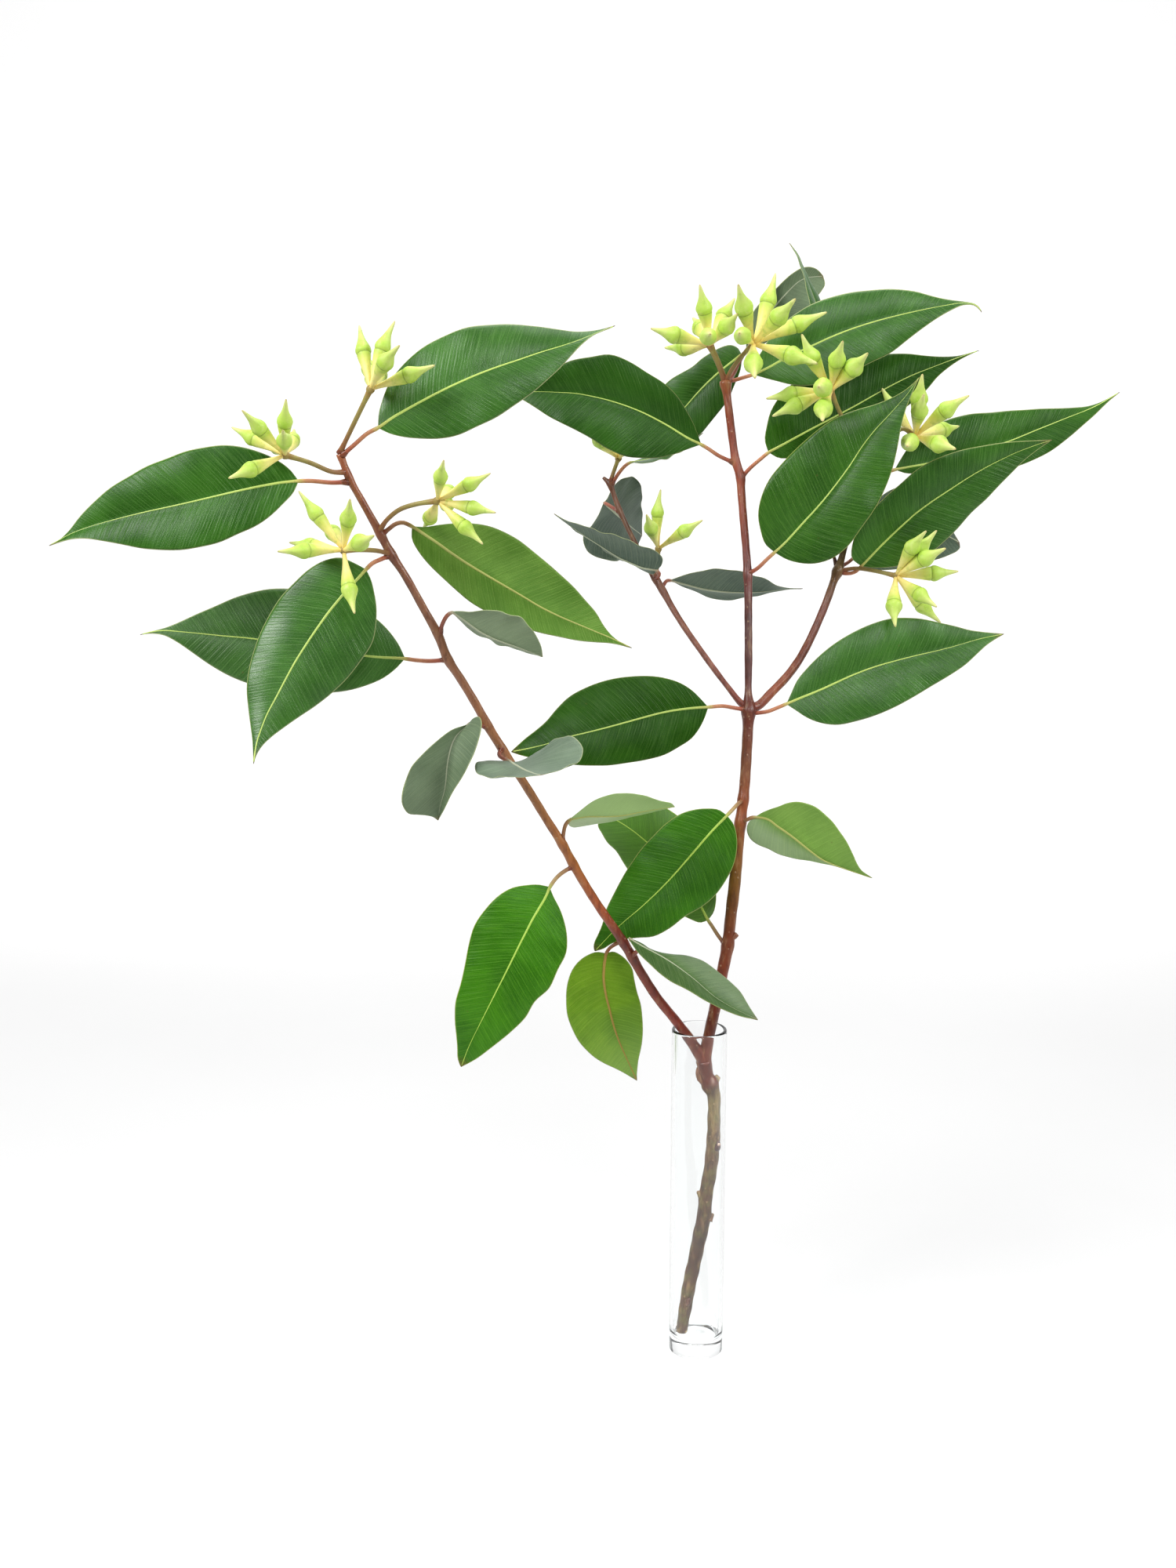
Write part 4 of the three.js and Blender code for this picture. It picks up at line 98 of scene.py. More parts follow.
        "B": [[13.9,2.0,311.0],[17.5,1.4,306.3],[19.2,0.9,300.1],[19.4,0.3,292.7],[17.8,-0.4,284.6],[13.9,-1.4,276.4],[8.3,-2.5,268.1],[0.1,-3.8,261.0],[-9.2,-5.1,256.0],[-17.3,-6.2,249.8],[-26.3,-7.0,245.4],[-35.1,-7.5,244.7],[-42.7,-7.8,243.8],[-48.7,-7.7,241.7],[-53.3,-7.5,238.7],[-56.3,-7.2,237.6],[-58.3,-7.0,237.0]]},
    "leaf_low_left": {"kind": "young", "face": 1, "tone": 0.08, "warm": 0.5, "gloss": 0.6, "pet": [[-69.3,-29.0,289.5],[-74.9,-31.0,286.7],[-78.7,-32.0,283.6]],
        "M": [[-82.2,-33.0,279.1],[-83.2,-34.0,276.3],[-85.0,-35.2,272.7],[-87.7,-36.5,268.3],[-90.9,-38.0,263.1],[-94.3,-39.4,256.7],[-98.1,-40.6,249.3],[-102.3,-41.6,240.8],[-106.6,-42.0,232.1],[-111.0,-42.0,223.3],[-115.4,-41.5,214.3],[-119.4,-40.6,206.1],[-122.9,-39.5,198.8],[-125.7,-38.4,192.4],[-127.8,-37.3,186.8],[-129.0,-36.5,183.4],[-129.9,-36.0,181.1]],
        "A": [[-82.2,-33.0,279.1],[-88.2,-33.0,280.3],[-94.7,-33.5,280.1],[-102.0,-34.2,278.8],[-109.2,-35.0,274.6],[-115.7,-35.9,268.0],[-121.5,-36.8,259.6],[-125.0,-37.6,249.0],[-126.9,-38.1,238.2],[-129.3,-38.4,227.7],[-132.1,-38.4,217.3],[-132.7,-38.1,207.9],[-132.1,-37.7,199.7],[-131.7,-37.1,192.6],[-131.6,-36.6,186.7],[-130.8,-36.2,183.3],[-129.9,-36.0,181.1]],
        "B": [[-82.2,-33.0,279.1],[-80.0,-34.6,273.9],[-77.0,-36.4,268.6],[-74.5,-38.3,262.1],[-73.0,-40.2,254.5],[-73.4,-42.0,245.7],[-77.7,-43.5,237.1],[-82.2,-44.6,227.4],[-89.8,-45.0,220.2],[-95.0,-44.7,211.2],[-102.1,-43.8,203.7],[-108.9,-42.5,197.5],[-115.0,-41.0,192.2],[-120.3,-39.4,187.6],[-125.0,-37.8,184.2],[-127.9,-36.8,182.4],[-129.9,-36.0,181.1]]},
    "leaf_low_yellow": {"kind": "yellow", "face": -1, "wave": 0.5, "shade": [[0.45, 0, 0.5, 0.02], [-0.25, 0, 0.45, 0.95]], "tone": -0.05, "pet": [[-43.3,-17.5,245.5],[-47.1,-8.0,241.3],[-50.3,0.0,236.6]],
        "M": [[-52.0,4.0,232.9],[-52.3,4.4,230.5],[-52.8,4.8,227.4],[-53.1,5.4,223.4],[-53.3,6.2,218.6],[-52.8,7.0,213.0],[-51.7,8.0,206.6],[-50.0,9.0,199.5],[-48.4,10.1,192.4],[-46.4,11.2,185.3],[-44.0,12.3,178.3],[-41.5,13.2,172.2],[-39.3,14.1,166.9],[-37.3,14.8,162.4],[-35.7,15.4,158.6],[-34.7,15.8,156.3],[-34.0,16.0,154.7]],
        "A": [[-52.0,4.0,232.9],[-57.0,5.0,233.4],[-62.1,6.1,231.4],[-67.2,7.2,227.3],[-71.3,8.4,221.1],[-73.7,9.6,213.1],[-74.3,10.8,203.9],[-73.5,12.0,193.9],[-70.2,13.1,184.8],[-65.6,13.9,176.6],[-59.5,14.6,170.0],[-53.0,15.1,165.5],[-47.0,15.5,162.5],[-42.0,15.8,159.7],[-38.0,15.9,157.2],[-35.6,16.0,155.7],[-34.0,16.0,154.7]],
        "B": [[-52.0,4.0,232.9],[-48.1,5.0,233.6],[-44.1,6.1,231.6],[-40.3,7.2,228.0],[-37.3,8.4,222.9],[-36.0,9.6,216.3],[-34.5,10.8,209.1],[-32.3,12.0,201.4],[-31.3,13.1,193.8],[-30.9,13.9,186.2],[-31.2,14.6,178.8],[-32.2,15.1,172.5],[-33.3,15.5,167.1],[-33.8,15.8,162.4],[-34.1,15.9,158.6],[-34.0,16.0,156.2],[-34.0,16.0,154.7]]},
    "leaf_low_grey_front": {"kind": "grey", "face": 1, "wave": 0.25, "tone": 0.42, "warm": 0.2, "shade": [[0.25, 1, 1, 0.3]], "bloom": [[0.15, -1, 0.1, 0.4]], "gloss": 0.5, "pet": [[-38.1,-16.0,236.8],[-35.1,-21.0,242.0],[-37.6,-24.5,246.7]],
        "M": [[-40.6,-26.0,249.7],[-38.5,-26.7,248.6],[-35.7,-27.6,247.1],[-32.1,-28.6,245.2],[-27.8,-29.7,243.1],[-22.8,-30.8,240.6],[-17.2,-31.7,237.2],[-11.2,-32.5,233.0],[-5.3,-33.0,228.4],[0.3,-33.2,223.4],[6.1,-33.0,218.5],[11.8,-32.6,214.8],[16.9,-32.0,211.7],[21.5,-31.4,209.3],[25.4,-30.8,207.3],[27.7,-30.3,206.1],[29.2,-30.0,205.2]],
        "A": [[-40.6,-26.0,249.7],[-36.6,-23.7,247.6],[-32.4,-22.3,245.2],[-28.1,-21.1,241.8],[-22.5,-20.1,239.5],[-16.0,-19.5,238.7],[-8.8,-19.2,238.1],[-1.5,-19.6,235.7],[4.9,-20.4,231.9],[10.7,-21.5,227.6],[16.1,-23.0,223.2],[20.2,-24.6,218.9],[23.0,-26.0,214.6],[25.3,-27.3,210.9],[27.3,-28.5,208.0],[28.5,-29.3,206.3],[29.2,-30.0,205.2]],
        "B": [[-40.6,-26.0,249.7],[-38.5,-29.7,247.0],[-36.1,-32.9,244.2],[-32.8,-36.1,241.3],[-28.8,-39.2,238.2],[-24.4,-42.0,234.6],[-19.0,-44.2,231.0],[-12.4,-45.5,228.1],[-6.2,-45.7,224.4],[-0.2,-44.9,220.4],[6.1,-43.0,216.7],[11.8,-40.7,213.4],[16.9,-38.1,210.6],[21.4,-35.5,208.5],[25.3,-33.0,207.0],[27.6,-31.4,206.0],[29.2,-30.0,205.2]]},
    "leaf_low_right": {"kind": "bright", "face": -1, "tone": -0.25, "wave": 0.5, "warm": 0.15, "bloom": [[0.4, 1, 1.0, 0.1]], "shade": [[-0.15, -1, -0.1, 0]], "pet": [[22.8,17.0,304.4],[26.1,13.0,306.6],[28.1,12.0,307.9]],
        "M": [[30.1,11.0,308.5],[32.2,10.1,308.4],[35.1,9.0,308.2],[38.3,7.7,307.0],[41.6,6.3,304.4],[45.8,4.9,301.7],[50.5,3.6,298.4],[55.6,2.6,294.4],[60.8,1.9,290.3],[66.3,1.8,286.4],[72.4,2.0,283.6],[78.1,2.5,281.4],[83.2,3.3,279.5],[87.6,4.2,277.9],[91.3,5.0,276.5],[93.5,5.6,275.7],[95.0,6.0,275.1]],
        "A": [[30.1,11.0,308.5],[33.4,8.5,311.2],[37.3,6.1,313.5],[41.9,3.6,315.6],[46.9,1.1,318.1],[52.9,-1.2,319.1],[59.3,-3.1,317.4],[65.5,-4.4,313.3],[70.8,-4.9,308.2],[75.5,-4.5,302.4],[79.4,-3.4,296.1],[82.5,-1.8,290.1],[85.1,0.1,284.7],[88.1,1.9,280.4],[91.5,3.8,277.7],[93.6,5.0,276.2],[95.0,6.0,275.1]],
        "B": [[30.1,11.0,308.5],[27.0,12.4,305.6],[25.8,13.0,301.2],[27.6,13.4,296.1],[32.1,13.6,292.4],[38.1,13.6,289.9],[44.5,13.2,287.0],[51.9,12.6,284.9],[59.1,11.7,283.8],[66.2,10.7,282.6],[73.0,9.7,281.5],[78.9,8.7,280.0],[83.9,8.0,278.6],[88.2,7.3,277.3],[91.6,6.8,276.2],[93.7,6.4,275.5],[95.0,6.0,275.1]]},
    "leaf_right_lower": {"kind": "adult", "face": 1, "pet": [[28.5,29.0,363.8],[37.5,26.0,365.2],[43.3,26.0,367.4]],
        "M": [[48.0,26.0,369.4],[51.6,26.6,370.9],[56.3,27.4,372.8],[62.3,28.3,375.1],[69.5,29.3,378.0],[77.7,30.5,381.7],[87.1,31.7,385.7],[98.1,33.0,389.6],[109.3,34.1,392.7],[120.6,35.1,395.5],[132.0,36.0,398.0],[142.0,36.7,400.5],[150.6,37.2,403.0],[158.1,37.5,405.0],[164.4,37.8,406.3],[168.2,37.9,407.0],[170.7,38.0,407.5]],
        "A": [[48.0,26.0,369.4],[50.9,27.3,375.7],[54.1,28.6,382.3],[59.5,30.0,388.8],[66.3,31.6,395.5],[74.6,33.1,402.1],[84.6,34.6,408.1],[96.2,36.0,413.3],[108.2,37.0,416.3],[120.3,37.8,416.1],[132.1,38.3,414.2],[142.3,38.5,412.0],[150.9,38.5,409.7],[158.4,38.5,408.6],[164.6,38.3,408.0],[168.2,38.2,407.7],[170.7,38.0,407.5]],
        "B": [[48.0,26.0,369.4],[53.6,25.2,365.7],[59.7,24.9,361.8],[67.5,24.8,358.9],[76.8,24.9,357.9],[87.0,25.3,359.9],[97.9,26.0,363.1],[109.2,27.0,367.9],[119.7,28.3,373.5],[129.8,29.7,379.4],[139.8,31.4,385.1],[148.2,32.9,390.6],[154.7,34.4,396.3],[160.2,35.6,401.2],[165.3,36.7,404.5],[168.5,37.4,406.3],[170.7,38.0,407.5]]},
    "leaf_right_centre": {"kind": "adult", "face": 1, "tone": 0.42, "warm": 0.4, "gloss": 1.0, "pet": [[27.5,45.5,440.5],[32.4,42.0,443.6],[37.4,40.0,448.6]],
        "M": [[41.5,39.0,452.5],[44.2,38.2,455.0],[47.7,37.2,458.5],[51.7,36.0,463.1],[56.5,34.7,468.7],[62.1,33.4,475.0],[68.3,32.0,482.5],[74.8,30.8,491.2],[81.0,29.9,500.1],[86.7,29.3,509.3],[93.2,28.9,517.9],[99.8,28.9,525.0],[105.4,29.0,531.2],[110.2,29.3,536.7],[113.7,29.6,541.6],[115.8,29.8,544.6],[117.1,30.0,546.6]],
        "A": [[41.5,39.0,452.5],[36.2,38.7,457.1],[33.4,38.0,464.4],[31.8,37.2,473.0],[33.3,36.2,482.5],[37.5,35.1,492.3],[44.7,34.0,501.4],[53.4,32.8,510.4],[62.7,31.9,518.3],[72.6,31.1,524.8],[83.4,30.5,529.1],[93.3,30.1,531.8],[101.5,29.9,535.0],[108.0,29.9,538.5],[112.9,29.9,542.3],[115.5,30.0,544.9],[117.1,30.0,546.6]],
        "B": [[41.5,39.0,452.5],[47.5,36.6,448.9],[54.7,34.4,446.8],[63.2,32.0,446.5],[72.2,29.6,449.4],[80.3,27.3,456.1],[86.8,25.3,465.6],[93.7,23.8,476.0],[98.8,23.1,487.0],[102.7,23.0,498.2],[105.1,23.6,509.6],[106.8,24.5,519.7],[109.0,25.8,528.2],[111.8,27.1,535.2],[114.3,28.4,540.9],[116.0,29.3,544.3],[117.1,30.0,546.6]]},
    "leaf_right_outer": {"kind": "adult", "face": 1, "tone": 0.2, "warm": 0.2, "pet": [[79.5,56.0,441.6],[83.4,54.0,440.5],[88.6,52.0,441.4]],
        "M": [[91.9,51.0,444.7],[94.5,50.7,447.5],[97.9,50.3,451.2],[102.2,49.8,455.9],[107.5,49.2,461.3],[113.8,48.6,467.4],[121.2,48.0,474.2],[130.2,47.4,480.9],[139.6,47.0,487.2],[149.0,46.6,493.4],[158.7,46.3,499.1],[167.7,46.1,503.7],[175.6,46.0,507.4],[182.7,46.0,510.1],[188.6,46.0,512.2],[192.3,46.0,513.2],[194.7,46.0,514.0]],
        "A": [[91.9,51.0,444.7],[86.3,49.5,448.9],[86.0,48.2,456.6],[88.7,46.9,464.9],[93.8,45.5,473.2],[101.1,44.3,481.1],[109.9,43.2,488.9],[119.3,42.4,497.5],[130.1,42.1,503.8],[141.7,42.1,507.6],[153.6,42.4,510.2],[164.2,43.0,512.0],[173.4,43.7,513.0],[181.4,44.4,513.4],[188.0,45.1,513.7],[192.0,45.6,513.9],[194.7,46.0,514.0]],
        "B": [[91.9,51.0,444.7],[98.5,51.4,443.8],[105.6,51.5,443.9],[113.6,51.5,444.9],[122.2,51.4,447.4],[130.7,51.2,452.2],[138.8,50.9,459.2],[146.8,50.4,467.4],[154.3,49.9,475.8],[161.7,49.2,483.6],[168.9,48.6,491.2],[175.2,48.0,497.8],[180.7,47.4,503.4],[185.8,46.9,507.7],[190.2,46.5,510.9],[192.9,46.2,512.7],[194.7,46.0,514.0]]},
    "leaf_right_far": {"kind": "adult", "face": 1, "tone": 0.5, "warm": 0.2, "gloss": 0.6, "pet": [[92.2,62.3,492.8],[99.1,66.0,494.2],[106.0,70.0,496.6]],
        "M": [[113.2,73.0,498.9],[117.4,73.9,499.6],[123.0,75.0,500.6],[130.0,76.3,501.8],[138.3,77.8,503.5],[148.0,79.4,505.7],[158.9,81.0,508.6],[171.2,82.7,512.1],[183.1,84.2,516.2],[194.7,85.4,520.9],[206.3,86.3,525.5],[216.7,87.0,529.6],[225.7,87.5,533.0],[233.1,87.8,536.5],[238.9,87.9,539.9],[242.4,88.0,542.0],[244.7,88.0,543.4]],
        "A": [[113.2,73.0,498.9],[116.8,74.5,504.9],[121.1,76.2,511.2],[127.2,78.0,517.4],[135.3,80.0,523.1],[145.3,82.0,527.6],[157.1,83.9,530.6],[170.3,85.7,531.9],[183.1,87.1,532.8],[195.5,88.0,533.6],[207.6,88.7,534.2],[218.1,88.9,534.6],[227.0,88.9,535.5],[234.1,88.7,537.7],[239.5,88.4,540.5],[242.7,88.2,542.2],[244.7,88.0,543.4]],
        "B": [[113.2,73.0,498.9],[119.8,73.2,496.8],[127.6,73.7,496.6],[136.4,74.5,495.5],[146.4,75.6,494.9],[157.5,76.8,495.1],[169.6,78.2,496.7],[182.3,79.7,500.1],[194.3,81.2,504.5],[205.3,82.7,510.1],[215.0,84.0,517.2],[223.0,85.2,524.0],[229.8,86.1,529.9],[235.2,86.8,535.2],[239.8,87.4,539.4],[242.8,87.7,541.8],[244.7,88.0,543.4]]},
    "leaf_top_right": {"kind": "adult", "face": 1, "warm": 0.1, "pet": [[14.7,60.5,546.5],[20.4,61.0,547.6],[25.6,61.0,549.1]],
        "M": [[30.4,61.0,550.4],[34.2,61.2,552.1],[39.1,61.5,554.5],[45.1,61.8,557.8],[52.4,62.0,561.4],[61.1,62.1,565.3],[70.9,62.0,569.8],[82.2,61.6,574.3],[93.6,60.9,578.0],[105.2,59.9,581.1],[116.8,58.6,583.7],[127.1,57.3,585.7],[136.2,55.9,587.2],[143.9,54.5,588.1],[150.3,53.3,587.3],[153.3,52.5,584.8],[154.6,52.0,582.5]],
        "A": [[30.4,61.0,550.4],[31.9,61.7,557.6],[35.6,62.4,564.5],[40.5,63.0,572.1],[47.6,63.5,579.2],[56.8,63.9,585.7],[67.9,63.9,590.9],[80.8,63.6,594.5],[93.5,62.9,596.3],[106.1,61.7,596.5],[118.3,60.2,595.3],[128.5,58.5,592.4],[137.4,56.8,590.3],[145.0,55.1,589.0],[151.0,53.7,587.5],[153.7,52.7,584.9],[154.6,52.0,582.5]],
        "B": [[30.4,61.0,550.4],[37.1,60.6,548.5],[44.4,60.3,546.6],[52.7,60.1,544.7],[62.2,59.8,544.5],[72.6,59.5,546.3],[83.2,59.1,550.6],[94.2,58.6,556.0],[105.0,58.0,561.1],[114.1,57.2,568.0],[122.9,56.3,574.7],[130.9,55.4,580.1],[138.1,54.5,584.2],[144.6,53.6,586.9],[150.3,52.8,586.6],[153.1,52.3,584.4],[154.6,52.0,582.5]]},
    "leaf_right_upper": {"kind": "adult", "face": 1, "tone": 0.75, "warm": 0.3, "gloss": 0.5, "pet": [[23.7,54.5,493.4],[29.0,56.0,499.1],[34.9,58.0,504.1]],
        "M": [[39.4,59.5,507.9],[43.0,60.7,509.7],[47.8,62.2,512.2],[53.7,63.9,515.4],[60.9,65.9,519.3],[69.3,68.1,523.7],[78.9,70.2,528.7],[89.7,72.4,534.4],[100.3,74.2,540.3],[110.9,75.6,546.1],[121.8,76.8,551.4],[131.7,77.5,555.3],[140.4,77.9,558.6],[147.8,78.0,561.3],[154.1,78.1,563.5],[157.8,78.0,564.7],[160.3,78.0,565.5]],
        "A": [[39.4,59.5,507.9],[37.5,61.6,514.6],[38.7,63.8,522.5],[41.2,66.2,531.3],[47.0,68.9,540.0],[55.5,71.5,547.9],[66.7,74.1,554.2],[79.8,76.4,559.0],[93.0,78.1,562.1],[106.0,79.2,563.7],[118.9,79.8,563.7],[130.1,79.9,562.8],[139.7,79.7,562.2],[147.7,79.3,562.5],[154.1,78.8,563.8],[157.8,78.4,564.9],[160.3,78.0,565.5]],
        "B": [[39.4,59.5,507.9],[45.2,60.2,504.8],[52.7,61.4,504.7],[61.1,62.8,505.4],[70.5,64.5,507.4],[80.5,66.3,511.0],[91.0,68.3,515.9],[102.0,70.4,522.0],[112.1,72.2,528.7],[121.6,73.8,535.8],[130.3,75.2,543.3],[136.8,76.2,550.8],[143.4,76.9,556.3],[149.4,77.4,560.3],[154.8,77.7,563.1],[158.1,77.9,564.6],[160.3,78.0,565.5]]},
    "leaf_top_rounded": {"kind": "grey", "face": -1, "tone": -0.1, "warm": 0.3, "pet": [[14.9,60.5,545.2],[19.2,68.0,551.1],[24.3,76.0,559.6]],
        "M": [[28.5,84.0,566.6],[29.6,85.3,568.3],[31.0,87.1,570.7],[32.8,89.3,573.6],[35.0,91.9,577.1],[37.8,95.0,581.1],[41.0,98.5,585.7],[44.9,102.5,590.8],[48.9,106.4,595.8],[53.1,110.4,600.6],[57.6,114.4,605.3],[61.9,117.9,609.2],[66.4,121.0,611.6],[70.6,123.6,612.7],[74.2,125.8,613.3],[76.4,127.1,613.7],[77.8,128.0,614.0]],
        "A": [[28.5,84.0,566.6],[28.4,84.6,570.2],[28.4,85.9,574.1],[29.2,87.5,578.5],[30.7,89.7,583.5],[33.1,92.4,588.7],[37.1,95.6,593.9],[42.3,99.5,598.8],[47.5,103.5,603.6],[52.4,107.7,608.6],[57.7,112.0,613.0],[62.8,116.0,616.4],[67.9,119.6,617.9],[72.2,122.7,617.5],[75.3,125.3,616.0],[76.8,126.9,614.8],[77.8,128.0,614.0]],
        "B": [[28.5,84.0,566.6],[31.9,86.5,567.6],[35.4,89.1,568.8],[39.3,92.2,570.6],[43.4,95.6,573.3],[47.6,99.3,576.6],[52.3,103.3,580.3],[57.4,107.5,584.4],[62.1,111.3,588.5],[66.5,114.9,592.7],[70.5,118.2,597.2],[73.7,121.0,601.3],[76.6,123.3,604.8],[78.5,125.2,608.0],[78.5,126.7,611.0],[78.0,127.5,612.8],[77.8,128.0,614.0]]},
    "leaf_top_edge_on": {"kind": "adult", "face": 1, "pet": [[92.6,62.7,498.9],[93.8,76.0,506.0],[93.1,90.0,518.7]],
        "M": [[90.4,95.0,530.6],[89.6,95.0,533.7],[88.5,94.9,537.7],[87.1,94.8,542.8],[85.3,94.6,548.8],[83.1,94.4,555.8],[80.3,94.0,563.6],[77.1,93.5,572.4],[73.7,92.9,581.1],[70.2,92.2,589.6],[66.6,91.5,598.1],[63.3,90.7,605.6],[60.4,89.9,612.1],[58.2,89.2,617.7],[55.4,88.6,622.0],[53.5,88.3,624.4],[52.2,88.0,626.0]],
        "A": [[90.4,95.0,530.6],[88.0,91.8,535.2],[85.5,89.2,540.1],[82.7,86.7,545.6],[79.8,84.3,551.9],[76.9,82.2,559.0],[73.9,80.6,566.7],[70.6,79.5,575.1],[67.1,79.3,583.2],[63.9,79.7,591.2],[61.7,80.7,599.3],[59.9,82.0,606.5],[58.1,83.4,612.6],[56.5,84.8,617.9],[54.4,86.2,621.9],[53.1,87.1,624.3],[52.2,88.0,626.0]],
        "B": [[90.4,95.0,530.6],[90.0,97.0,535.9],[89.6,98.6,541.5],[89.0,100.0,547.9],[87.7,101.2,555.0],[85.4,102.2,562.7],[82.4,102.7,570.8],[79.1,102.5,579.6],[76.0,101.7,588.1],[72.6,100.3,596.1],[68.3,98.4,603.5],[64.2,96.2,609.6],[60.9,94.1,615.0],[58.4,92.1,619.6],[55.4,90.2,622.9],[53.5,89.0,624.8],[52.2,88.0,626.0]]},
    "leaf_top_back": {"kind": "adult", "face": 1, "tone": 0.4, "pet": [[14.9,60.3,543.5],[19.1,76.0,549.2],[23.9,90.0,557.6]],
        "M": [[26.9,95.0,565.1],[25.3,95.8,564.0],[23.2,96.8,562.4],[20.5,97.9,560.4],[17.3,99.2,558.0],[13.6,100.4,555.0],[9.4,101.5,551.3],[5.0,102.5,547.0],[0.7,103.0,542.5],[-3.5,103.3,537.7],[-7.9,103.2,533.1],[-11.9,102.8,529.0],[-15.4,102.2,525.3],[-18.2,101.5,522.1],[-20.5,100.8,519.4],[-21.9,100.3,517.7],[-22.9,100.0,516.6]],
        "A": [[26.9,95.0,565.1],[24.7,96.5,569.0],[20.7,98.0,570.8],[15.6,99.7,569.8],[10.4,101.3,567.3],[4.9,103.0,563.9],[-0.6,104.4,559.3],[-7.5,105.5,555.6],[-14.1,106.0,551.7],[-19.5,106.0,546.5],[-23.4,105.5,540.2],[-25.4,104.6,534.1],[-26.1,103.5,528.5],[-25.9,102.4,523.8],[-24.8,101.3,520.0],[-23.6,100.6,518.0],[-22.9,100.0,516.6]],
        "B": [[26.9,95.0,565.1],[27.0,95.3,561.3],[26.6,96.0,557.1],[25.2,96.8,552.6],[23.1,97.7,547.7],[20.8,98.6,542.3],[17.5,99.6,536.6],[13.0,100.5,531.0],[8.7,101.1,525.5],[4.1,101.5,520.5],[-1.4,101.6,516.5],[-6.9,101.5,514.1],[-12.0,101.2,513.0],[-16.4,100.8,513.4],[-19.7,100.4,514.9],[-21.6,100.2,516.0],[-22.9,100.0,516.6]]},
    "leaf_upper_left_twisted": {"kind": "adult", "face": 1, "tone": 0.62, "shade": [[0.18, -1, -0.1, 0]], "pet": [[19.6,56.0,502.0],[10.6,52.0,505.8],[5.6,50.0,508.9]],
        "M": [[0.9,48.5,511.6],[-2.2,47.8,512.9],[-6.2,46.8,514.7],[-11.0,45.8,517.4],[-16.7,44.7,520.8],[-23.5,43.7,524.4],[-31.3,42.8,528.2],[-40.5,42.2,531.8],[-49.8,42.0,534.7],[-59.4,42.2,537.0],[-69.0,42.8,538.7],[-77.8,43.7,539.3],[-85.4,44.7,539.7],[-92.0,45.8,539.8],[-97.5,46.8,539.5],[-100.8,47.5,539.2],[-103.0,48.0,539.0]],
        "A": [[0.9,48.5,511.6],[-1.5,46.8,517.5],[-4.3,45.2,523.7],[-8.3,43.5,530.3],[-13.4,41.8,537.4],[-20.5,40.2,544.0],[-29.7,39.0,549.4],[-39.6,38.2,555.3],[-50.2,38.1,558.8],[-61.0,38.6,557.6],[-71.6,39.7,555.8],[-80.2,41.2,552.0],[-87.2,42.9,548.0],[-93.0,44.5,544.5],[-98.0,46.1,541.7],[-101.0,47.2,540.1],[-103.0,48.0,539.0]],
        "B": [[0.9,48.5,511.6],[-4.5,46.8,509.7],[-10.2,45.2,507.6],[-16.8,43.5,505.4],[-24.4,41.8,503.9],[-33.0,40.2,503.8],[-42.3,39.0,504.8],[-51.5,38.2,508.8],[-59.8,38.1,513.9],[-68.1,38.6,518.4],[-76.5,39.7,522.5],[-83.7,41.2,526.3],[-89.6,42.9,530.2],[-94.7,44.5,533.5],[-99.0,46.1,536.1],[-101.4,47.2,537.9],[-103.0,48.0,539.0]]},
    "leaf_inner_top_edge_on": {"kind": "adult", "face": 1, "pet": [[-48.9,76.8,489.7],[-44.4,79.0,496.9],[-40.7,81.0,501.2]],
        "M": [[-38.0,83.0,503.3],[-36.6,83.9,503.5],[-34.7,85.2,503.9],[-32.4,86.8,504.3],[-29.5,88.6,504.8],[-26.3,90.9,505.6],[-22.5,93.5,506.7],[-18.4,96.4,508.1],[-14.2,99.3,509.7],[-10.2,102.3,511.4],[-6.2,105.3,513.4],[-2.7,108.1,515.5],[0.1,110.5,517.4],[2.6,112.5,519.2],[4.7,114.2,520.6],[5.9,115.3,521.5],[6.7,116.0,522.1]],
        "A": [[-38.0,83.0,503.3],[-35.7,86.7,504.1],[-33.3,90.1,505.0],[-30.6,93.7,506.0],[-27.5,97.5,507.1],[-24.0,101.3,508.3],[-20.1,105.0,509.6],[-16.0,108.4,511.0],[-12.1,111.0,512.7],[-8.4,113.1,514.4],[-4.8,114.6,516.2],[-1.7,115.5,517.7],[0.9,116.0,519.1],[3.1,116.3,520.2],[5.0,116.4,521.2],[6.0,116.3,521.8],[6.7,116.0,522.1]],
        "B": [[-38.0,83.0,503.3],[-35.7,80.7,503.1],[-33.2,79.5,502.8],[-30.4,78.7,502.7],[-27.2,78.4,502.9],[-23.7,78.7,503.5],[-19.9,80.0,504.6],[-15.8,82.4,506.0],[-11.8,85.7,507.6],[-7.9,89.8,509.5],[-4.3,94.6,511.9],[-1.4,99.4,514.4],[1.1,103.9,516.7],[3.1,108.1,518.7],[4.9,111.8,520.4],[6.0,114.2,521.4],[6.7,116.0,522.1]]},
    "leaf_inner_back": {"kind": "grey", "face": -1, "pet": [[-44.0,74.0,475.5],[-47.0,80.0,477.1],[-50.1,85.0,479.2]],
        "M": [[-52.8,90.0,480.7],[-52.1,91.5,480.1],[-51.2,93.6,479.4],[-50.1,96.4,478.4],[-48.7,99.9,477.3],[-47.1,104.2,476.0],[-45.2,109.5,474.4],[-43.1,115.9,472.7],[-40.9,122.8,470.9],[-38.6,130.1,469.2],[-36.3,137.8,467.5],[-34.2,145.1,465.9],[-32.2,151.8,464.6],[-30.5,157.7,463.5],[-29.1,162.8,462.5],[-28.2,165.9,461.9],[-27.6,168.0,461.6]],
